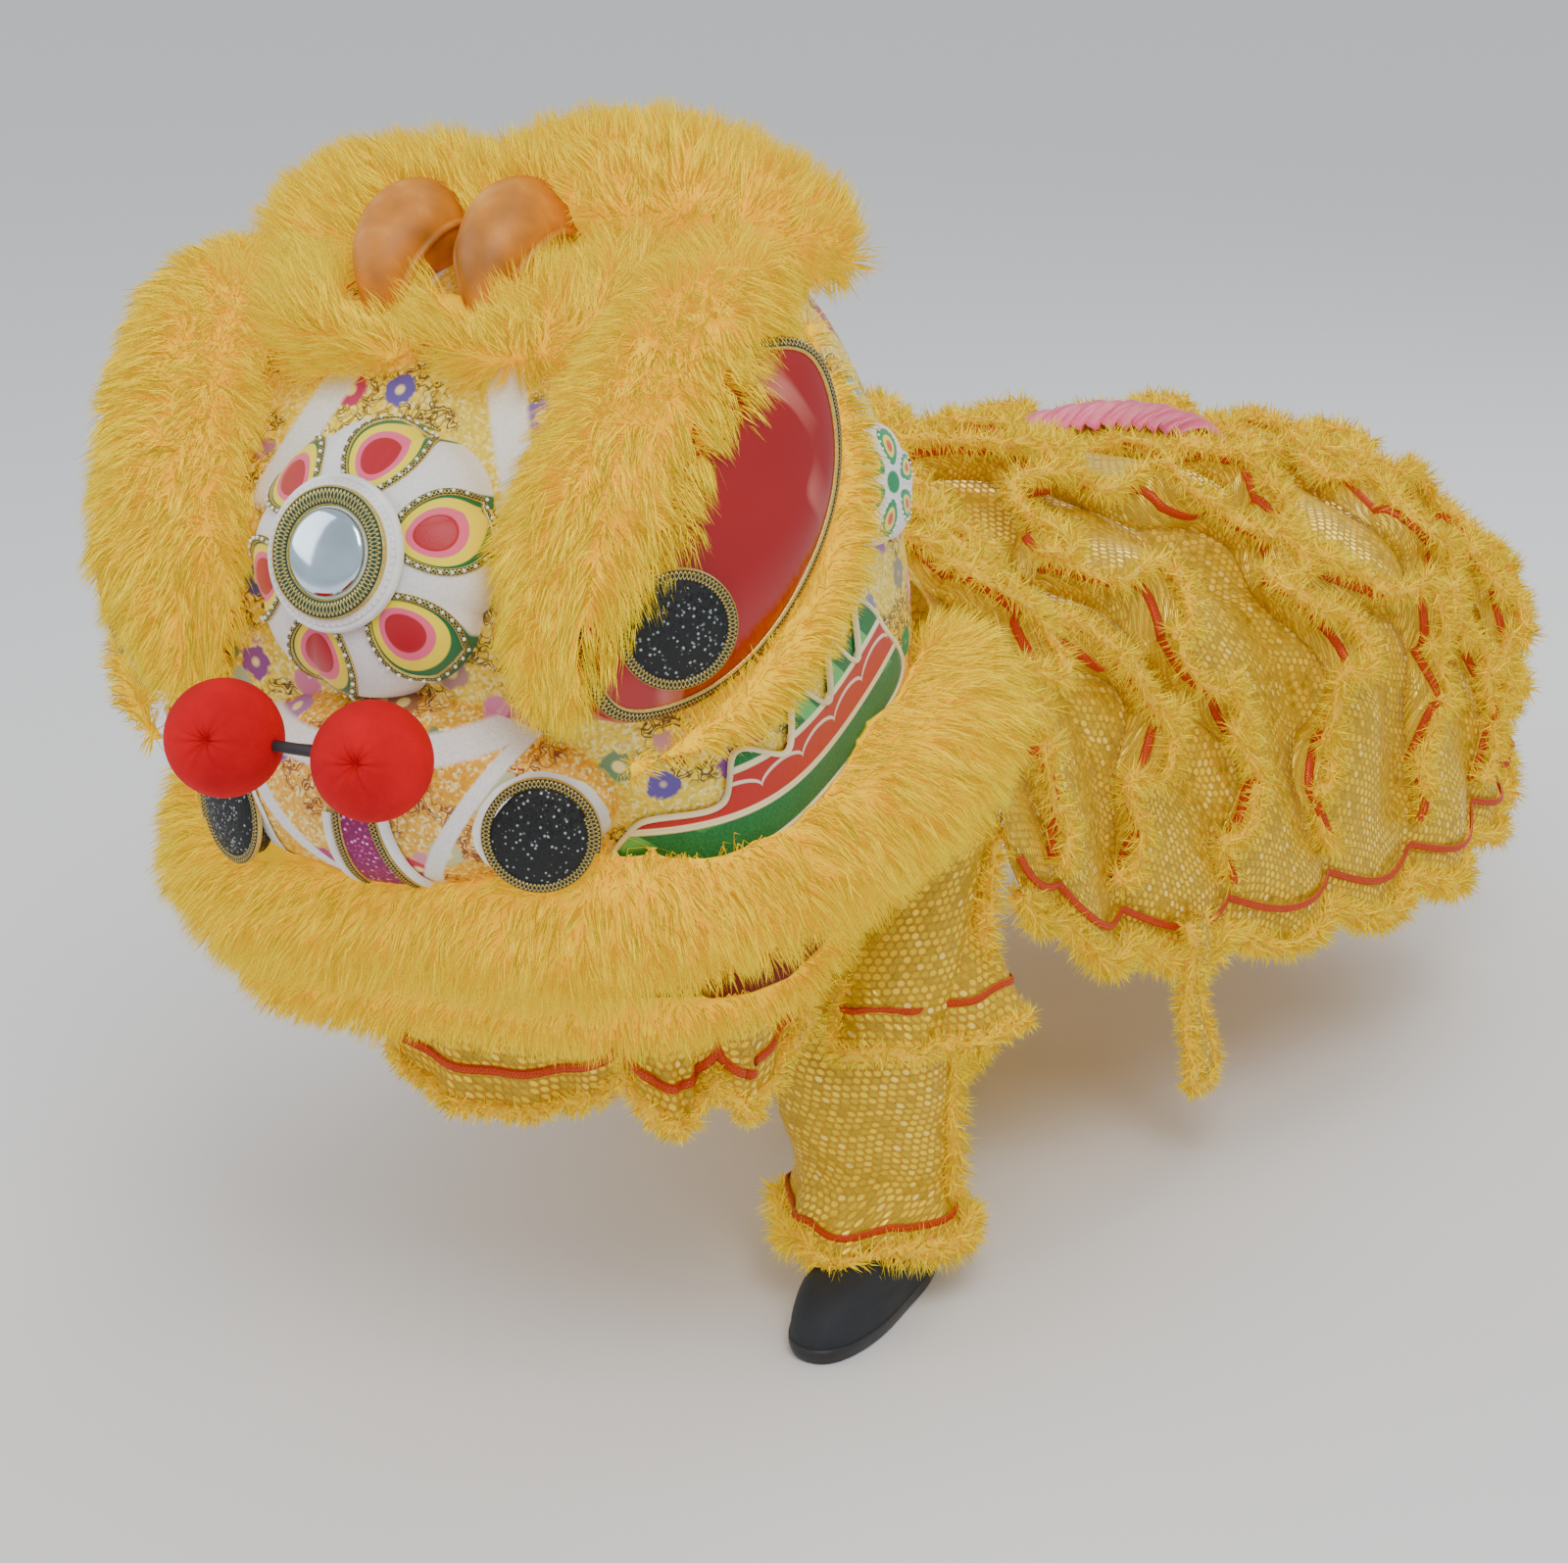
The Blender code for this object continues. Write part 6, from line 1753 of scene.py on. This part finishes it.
def leg_grid(foot, hip, sides, rows, seed):
    """Fine rings of a trouser leg from its hem to its hip, with its pleats and creases."""
    bottom = FLOOR + HEM_HEIGHT
    hem = Vector((foot.x - HEM_OFFSET, foot.y, bottom))
    grid = []
    for height, bow, size, ribs in smooth_rows(LEG_SECTIONS[::-1], rows):
        middle = hem.lerp(hip, height) - Vector((0, bow * KNEE_BOW, 0))
        width = LEG_HEM_WIDTH * size
        ring = []
        for step in range(sides + 1):
            turn = 2 * math.pi * step / sides
            reach = 1 + ribs * math.cos(turn * 4 + middle.z * 9) * 0.8
            reach += 0.035 * math.exp(-((height / 0.10) ** 2)) * math.cos(turn * 9 + seed)
            spot = Vector((math.cos(turn) * 1.1, math.sin(turn) * 1.1, middle.z * 7.0 + seed))
            reach += 0.055 * noise.noise(spot) + 0.03 * noise.noise(spot * 2.1)
            sag = 0.018 * math.sin(height * 46 + 2.0 * math.cos(turn))
            sag *= math.exp(-(((height - 0.22) / 0.20) ** 2))
            x = middle.x + width / 2 * (reach + sag) * math.cos(turn)
            y = middle.y + width / 2 * LEG_DEPTH * (reach + sag) * math.sin(turn)
            # The hem stands out in front, over the shoe's vamp.
            y -= 0.026 * math.exp(-((height / 0.08) ** 2)) * max(0.0, -math.sin(turn))
            ring.append((x, y, middle.z - 0.010 * abs(math.cos(turn * 3 + seed)) * (1 - height) ** 8))
        grid.append(ring)
    return np.array(grid)


def over_cloth(points):
    """Which of these points lie above the body cloth."""
    tree = tree_of(NODES["body_cloth"].data)
    under, down = Vector((0, 0, 0.004)), Vector((0, 0, -1))
    return [tree.ray_cast(Vector(point) - under, down)[0] is not None for point in points]


def only_under_cloth(mesh):
    """The mesh without what would stick out above the body cloth."""
    above = over_cloth([v.co for v in mesh.vertices])
    return without_faces(mesh, lambda face: any(above[v.index] for v in face.verts))


def braid_along(name, points, outs, slot, width=0.008, finish="red_braid", closed=False, body="costume"):
    return piece(name, ribbon(points, outs, width, 0.002, closed), finish, (), slot, body)


def level_ways(points, middle):
    """The level ways out from a middle to some points."""
    return unit((points - middle) * np.array([1, 1, 0]))


def cloth_on(name, grid, node, body="costume"):
    """Sequin cloth on a grid of points, which stands for a node, and the area of its one side."""
    mesh = grid_mesh(grid)
    cloth_places(mesh, grid)
    area = area_of(mesh)
    obj = piece(name, mesh, "sequin_cloth", (node,), body=body)
    solidify(obj, CLOTH_WALL, 0.0)
    return obj, area


class LION_OT_trousers(bpy.types.Operator):
    """Makes the trousers with their plush hems, side seams and braids, and the flap at the knee"""

    bl_idname = "lion.trousers"
    bl_label = "Trousers"

    def execute(self, context):
        hips = (WAIST + Vector((HIP_SIDE, 0, 0)), WAIST - Vector((HIP_SIDE, 0, 0)))
        sides, rows = 64, 48
        parts, areas, trims = [], 0.0, []
        slot = SLOT_OF["trousers"]
        for name, foot, hip, seed in (("left", LEFT_FOOT, hips[0], 1.0), ("right", RIGHT_FOOT, hips[1], 4.0)):
            grid = leg_grid(foot, hip, sides, rows, seed)
            mesh = grid_mesh(grid)
            cloth_places(mesh, grid)
            parts.append(only_under_cloth(mesh))
            ring = grid[0][:-1]
            centre = ring.mean(axis=0)
            outs = level_ways(ring, centre)
            path = [*(ring + outs * 0.002), ring[0]]
            trims.append(plush_edge(f"hem_plush_{name}", path, 0.0095, slot, 500))
            above = grid[4][:-1] + outs * 0.002
            trims.append(braid_along(f"hem_braid_{name}", above, outs, slot, closed=True))
            # The side seam's plush runs down the outer side from the knee, with a braid beside it.
            column = int(sides * (0.03 if name == "left" else 0.47))
            seam = grid[5:37, column]
            beside = grid[5:37, column + 4 if name == "left" else column - 4]
            mean = grid[5:37].mean(axis=1)
            away, outs = level_ways(seam, mean), level_ways(beside, mean)
            wave = np.sin(np.linspace(0, 9, len(seam)))[:, None] * 0.004
            trims.append(plush_edge(f"side_plush_{name}", seam + away * (0.004 + wave), 0.008, slot, 520))
            trims.append(braid_along(f"side_braid_{name}", beside + outs * 0.002, outs, slot))
        tub = []
        for height, size in SEAT_SECTIONS:
            ring = []
            for step in range(sides + 1):
                turn = 2 * math.pi * step / sides
                reach = 1 + 0.02 * math.cos(turn * 8) + 0.012 * math.sin(turn * 19 + height * 30)
                ring.append(
                    (
                        WAIST.x + WAIST_WIDTH / 2 * size * reach * math.cos(turn),
                        WAIST.y + WAIST_DEPTH / 2 * size * reach * math.sin(turn),
                        WAIST.z + height,
                    )
                )
            tub.append(ring)
        tub = smooth_rows(np.array(tub).reshape(len(tub), -1), 40).reshape(40, -1, 3)
        seat = grid_mesh(tub)
        cloth_places(seat, tub)
        parts.append(only_under_cloth(seat))
        area = sum(area_of(mesh) for mesh in parts)
        cloth = joined(*[dressed(mesh, "sequin_cloth") for mesh in parts])
        obj = piece("sequin_trousers", cloth, [], ("trousers",))
        solidify(obj, CLOTH_WALL)

        # The flap over the left knee.
        leg = WAIST.z - FLOOR - HEM_HEIGHT
        grid = []
        for down in np.linspace(0, 1, 16):
            level = FLAP_TOP - FLAP_DROP * down
            share = (level - FLOOR - HEM_HEIGHT) / leg
            middle = LEFT_FOOT.lerp(Vector((hips[0].x, hips[0].y, 0)), share)
            row = []
            for step in range(91):
                turn = math.radians(-85 + 200 * step / 90)
                reach = LEG_HEM_WIDTH * np.interp(down * 2, [0, 1, 2], FLAP_REACH)
                reach *= 1 + 0.06 * 2 * down * math.cos(turn * 5)
                ripple = 0.006 * down * math.sin(turn * 13)
                row.append(
                    (
                        middle.x + (reach + ripple) * math.cos(turn),
                        middle.y + (reach + ripple) * LEG_DEPTH * math.sin(turn) - KNEE_BOW * 0.8,
                        level - 0.012 * down * abs(math.sin(turn * 2.5)),
                    )
                )
            grid.append(row)
        grid = np.array(grid)
        flap, area = cloth_on("knee_flap", grid, "trouser_flap")
        slot = SLOT_OF["trouser_flap"]
        ends = np.vstack([grid[::4, 0], grid[-1, ::2], grid[::-4, -1]])
        edge = plush_edge("flap_plush", ends, 0.008, slot, 540, 0.014)
        row = grid[-6]
        outs = level_ways(row, row.mean(axis=0))
        braid = braid_along("flap_braid", row + outs * 0.002, outs, slot)
        size, drop = length_of(grid[-1]), FLAP_DROP * 1.5
        area = min(area * 1.05, size * drop)
        return {"FINISHED"}


class LION_OT_shoes(bpy.types.Operator):
    """Makes the black canvas slip-on shoes with their rubber soles and elastic sides"""

    bl_idname = "lion.shoes"
    bl_label = "Shoes"

    def execute(self, context):
        for name, foot in (("left", LEFT_FOOT), ("right", RIGHT_FOOT)):
            heel = foot.y + SHOE_LENGTH * SHOE_HEEL
            rings = []
            for height, toe_back, width in smooth_rows(SHOE_SECTIONS, SHOE_ROWS):
                toe = heel - SHOE_LENGTH * (1 - max(0.0, toe_back))
                middle, reach = (toe + heel) / 2, (heel - toe) / 2
                ring = []
                for step in range(72):
                    x, y = superellipse(2 * math.pi * step / 72, 2.4)
                    waist = 1 - 0.10 * math.exp(-(((y - 0.1) / 0.35) ** 2)) * (1 if x < 0 else 0.5)
                    crease = 0.0018 * math.sin(height * 30 + y * 9) * (height > 0.3)
                    crease *= math.exp(-(((y + 0.35) / 0.2) ** 2))
                    ring.append(
                        (
                            foot.x + (SHOE_WIDTH / 2 * width * waist + crease) * x,
                            middle + reach * y,
                            FLOOR + SHOE_HEIGHT * max(0.0, height) + 0.010 * max(0.0, y) * (height > 0.9),
                        )
                    )
                rings.append(ring)
            rings = np.array(rings)
            top = rings[-1]
            centre = top.mean(axis=0)
            lining = [centre + (top - centre) * 0.90 + np.array([0, 0, 0.001])]
            for drop in (0.02, 0.05, 0.078):
                level = rings[int((SHOE_ROWS - 1) * (1 - drop / SHOE_HEIGHT))]
                mid = level.mean(axis=0)
                ring = mid + (level - mid) * 0.90
                ring[:, 2] = top[:, 2] - drop
                lining.append(ring)
            upper = grid_mesh(np.concatenate([rings[8:], np.array(lining)]), closed=True)
            welt = [self.wider(ring, 1.02) for ring in rings[1:10]]
            sole = grid_mesh(np.concatenate([rings[:1], welt]), closed=True, ends=True)
            shoe = joined(dressed(upper, "black_canvas"), dressed(sole, "black_rubber"))
            piece("canvas_shoe_" + name, shoe, [], ("shoe_" + name,))
            collar = [centre + (p - centre) * 0.97 + np.array([0, 0, 0.0005]) for p in top]
            outs = unit((top - centre) * np.array([1, 1, 0]) + np.array([0, 0, 0.03]))
            slot = SLOT_OF["shoe_" + name]
            braid_along("shoe_binding_" + name, collar, outs, slot, 0.006, "black_rubber", True)
        return {"FINISHED"}

    def wider(self, ring, share):
        middle = ring.mean(axis=0)
        return middle + (ring - middle) * np.array([share, share, 1.0])


JAW_HINGE_BACK, JAW_HINGE_HEIGHT, JAW_DROP, JAW_ARM, JAW_FUR_RADIUS = 0.06, -0.190, 0.105, 0.030, 0.036
APRON_DROP, APRON_WAVE, APRON_LOBES, APRON_SPAN, JAW_MIDDLE = 0.150, 0.012, 3, (0.44, 0.80), 0.06


def rim_outline(inset, count):
    """The chin's outline inside the shell's rim, from the right hinge round to the left one."""
    _, width, face, nape, power = SHELL_SECTIONS[0]
    front, back = -HEAD_FACE * face, HEAD_NAPE * nape
    middle, reach = (front + back) / 2, (back - front) / 2 - inset
    half = HALF_HEAD * width - inset
    past = math.asin(((JAW_HINGE_BACK + JAW_ARM / 2 - middle) / reach) ** (power / 2))
    points = []
    for turn in np.linspace(math.pi - past, 2 * math.pi + past, count):
        x, y = superellipse(turn, power)
        points.append((half * x, middle + reach * y))
    return np.array(points)


class LION_OT_apron(bpy.types.Operator):
    """Makes the lobes of sequin cloth that hang under the jaw, and finishes the jaw's tray"""

    bl_idname = "lion.apron"
    bl_label = "Apron"

    def execute(self, context):
        NODES["jaw_plate"].material_slots[0].material = look("dark_red_cloth")
        floor = JAW_HINGE_HEIGHT - JAW_ARM / 2 - JAW_DROP
        rim = rim_outline(0.006 + JAW_FUR_RADIUS * 1.85, 17)
        samples, rows = 120, 20
        spots = np.linspace(*APRON_SPAN, samples + 1) * (len(rim) - 1)
        edge = np.column_stack([np.interp(spots, range(len(rim)), rim[:, k]) for k in range(2)])
        grid = []
        for down in np.linspace(0, 1, rows):
            row = []
            for index, (x, y) in enumerate(edge):
                share = index / samples
                lobe = abs(math.sin(math.pi * APRON_LOBES * share)) ** 0.6
                fold = APRON_WAVE * math.sin(2 * math.pi * APRON_LOBES * share) * down
                fold += 0.005 * down * math.sin(2 * math.pi * 11 * share + 1.0)
                drop = APRON_DROP * (0.66 + 0.34 * lobe) * down
                away = Vector((x, y + JAW_MIDDLE, 0)).normalized() * fold
                row.append(tuple(HEAD @ Vector((x + away.x, y + away.y, floor - 0.001 - drop))))
            grid.append(row)
        grid = np.array(grid)
        cloth, area = cloth_on("jaw_apron", grid, "apron", "jaw")
        slot = SLOT_OF["apron"]
        ends = np.vstack([grid[4::5, 0], grid[-1, ::2], grid[:3:-5, -1]])
        plush = plush_edge("apron_plush", ends, 0.007, slot, 560, 0.013, "jaw")
        front = Vector((0.3, -1.0, 0.0)).normalized()
        row = grid[-6]
        outs = unit(np.cross(np.gradient(row, axis=0), np.array([0, 0, 1.0])))
        outs *= np.sign((outs * np.array(front)).sum(axis=1))[:, None]
        braid = braid_along("apron_braid", row + outs * 0.002, outs, slot, 0.009, body="jaw")
        size = length_of(grid[-1])
        flat, area = (size * 1.05, APRON_DROP * 1.1), min(area * 1.04, size * APRON_DROP * 1.15)
        return {"FINISHED"}


class LION_OT_trims(bpy.types.Operator):
    """Makes the gathered satin patch on the back, the strip that hangs at the side and the body's hem"""

    bl_idname = "lion.trims"
    bl_label = "Trims"

    def execute(self, context):
        sections = smooth_rows(BODY_SECTIONS, 40)
        grid = []
        for i in range(25):
            along = 0.585 + 0.070 * i / 24
            row = []
            for j in range(71):
                turn = -0.14 + 0.26 * j / 70
                point, way = body_point(along, turn, sections), body_outward(along, turn, sections)
                rib = 0.010 + 0.006 * math.sin(j * 1.15 + 0.8 * math.sin(i * 0.21))
                rib += 0.003 * math.sin(j * 2.3)
                crown = math.sin(math.pi * i / 24) * 0.006
                row.append(tuple(point + way * (rib * 0.8 + crown)))
            grid.append(row)
        grid = np.array(grid)
        mesh = grid_mesh(grid)
        area = area_of(mesh)
        patch = piece("satin_patch", mesh, "pink_satin", ("back_satin",))
        solidify(patch, 0.0015)
        side = math.sqrt(area * 1.3)

        rows = []
        top = body_point(0.27, 0.98, sections) + Vector((0.010, 0, 0.04))
        lines = [[], []]
        for step in range(41):
            share = step / 40
            middle = top + Vector((0, 0.03 * share, -0.20 * share))
            half = Vector((0.1, 1, 0)).normalized() * 0.04 * (0.5 - 0.12 * math.sin(share * 5))
            row = []
            for k in range(7):
                t = k / 3 - 1
                bow = Vector((1, -0.1, 0)) * (0.008 * math.cos(t * 1.5) + 0.006 * math.sin(share * 9))
                row.append(tuple(middle + half * t + bow))
            rows.append(row)
            lines[0].append(row[0])
            lines[1].append(row[-1])
        hanging, area = cloth_on("hanging_strip", np.array(rows), "side_strip")
        path = lines[0] + rows[-1][1:-1] + lines[1][::-1]
        edge = plush_edge("hanging_plush", path[::2], 0.006, SLOT_OF["side_strip"], 580, 0.014)
        area = min(area * 1.05, 0.0096)

        # The hems of the body have a plush edge with a braid over it.
        for side, name in ((1, "left"), (-1, "right")):
            hem, above, outs = [], [], []
            for step in range(131):
                along = 0.02 + 0.97 * step / 130
                way = body_outward(along, side * 0.985, sections)
                hem.append(tuple(body_point(along, side * 0.995, sections) + way * 0.001))
                above.append(tuple(body_point(along, side * 0.950, sections) + way * 0.0035))
                outs.append(tuple(way))
            plush_edge("body_hem_" + name, hem, 0.009, SLOT_OF["body_cloth"], 590 + side)
            braid_along("body_hem_braid_" + name, above, outs, SLOT_OF["body_cloth"])
        rump = [tuple(body_point(1.0, turn, sections)) for turn in np.linspace(-0.98, 0.98, 120)]
        plush_edge("body_rump_hem", rump, 0.010, SLOT_OF["body_cloth"], 597)
        return {"FINISHED"}


class LION_OT_stage(bpy.types.Operator):
    """Sets out the pale floor, the soft lights and the camera"""

    bl_idname = "lion.stage"
    bl_label = "Stage"

    def execute(self, context):
        scene = context.scene
        work = bmesh.new()
        bmesh.ops.create_grid(work, x_segments=2, y_segments=2, size=30.0)
        mesh = bpy.data.meshes.new("floor")
        work.to_mesh(mesh)
        work.free()
        floor = bpy.data.objects.new("floor", mesh)
        scene.collection.objects.link(floor)
        floor.location = (0.3, 0.6, FLOOR)
        paint = bpy.data.materials.new("floor_paint")
        paint.use_nodes = True
        shader = paint.node_tree.nodes["Principled BSDF"]
        shader.inputs["Base Color"].default_value = (0.88, 0.88, 0.88, 1.0)
        shader.inputs["Roughness"].default_value = 0.9
        mesh.materials.append(paint)
        world = bpy.data.worlds.new("studio")
        scene.world = world
        world.use_nodes = True
        world.node_tree.nodes["Background"].inputs["Color"].default_value = (0.92, 0.95, 1.0, 1.0)
        world.node_tree.nodes["Background"].inputs["Strength"].default_value = 0.75
        aim = Vector((0.05, 0.25, -0.15))
        for name, place, size, power in (
            ("key", (1.9, -2.2, 3.0), 2.0, 90.0),
            ("fill", (-2.8, -1.8, 1.6), 2.5, 38.0),
            ("back", (0.8, 3.4, 2.6), 2.2, 55.0),
        ):
            lamp = bpy.data.lights.new(name, "AREA")
            lamp.energy = power
            lamp.size = size
            obj = bpy.data.objects.new(name, lamp)
            scene.collection.objects.link(obj)
            obj.location = place
            obj.rotation_euler = (aim - Vector(place)).to_track_quat("-Z", "Y").to_euler()
        camera = bpy.data.cameras.new("camera")
        eye = bpy.data.objects.new("camera", camera)
        scene.collection.objects.link(eye)
        camera.sensor_width = 36.0
        camera.lens = 76.5
        turn, pitch = math.radians(26.324), math.radians(20.0)
        level = math.cos(pitch)
        forward = Vector((-math.sin(turn) * level, math.cos(turn) * level, -math.sin(pitch)))
        eye.location = (1.5, -2.598, 0.88)
        eye.rotation_euler = forward.to_track_quat("-Z", "Y").to_euler()
        camera.clip_end = 60.0
        scene.camera = eye
        return {"FINISHED"}


OPERATORS = (
    LION_OT_stage, LION_OT_fur, LION_OT_head_cloth, LION_OT_boss, LION_OT_eyes, LION_OT_muzzle,
    LION_OT_pompoms, LION_OT_horns, LION_OT_cheeks, LION_OT_satin, LION_OT_body, LION_OT_ruffles,
    LION_OT_trims, LION_OT_trousers, LION_OT_apron, LION_OT_shoes,
)  # fmt: skip


class VIEW3D_PT_lion(bpy.types.Panel):
    """Lists the steps that dress the costume"""

    bl_label = "Lion Dance Costume"
    bl_space_type = "VIEW_3D"
    bl_region_type = "UI"
    bl_category = "Lion"

    def draw(self, context):
        scene = context.scene
        for group in (scene.lion_fur, scene.lion_cloth, scene.lion_trim):
            box = self.layout.box()
            for name in group.__annotations__:
                box.prop(group, name)
        for kind in OPERATORS:
            self.layout.operator(kind.bl_idname)


CLASSES = (LionFur, LionCloth, LionTrim, *OPERATORS, VIEW3D_PT_lion)


def register():
    for kind in CLASSES:
        bpy.utils.register_class(kind)
    bpy.types.Scene.lion_fur = PointerProperty(type=LionFur)
    bpy.types.Scene.lion_cloth = PointerProperty(type=LionCloth)
    bpy.types.Scene.lion_trim = PointerProperty(type=LionTrim)


def unregister():
    for name in ("lion_trim", "lion_cloth", "lion_fur"):
        delattr(bpy.types.Scene, name)
    for kind in reversed(CLASSES):
        bpy.utils.unregister_class(kind)


def main():
    register()
    for kind in OPERATORS:
        group, name = kind.bl_idname.split(".")
        getattr(getattr(bpy.ops, group), name)()


if __name__ == "__main__":
    main()
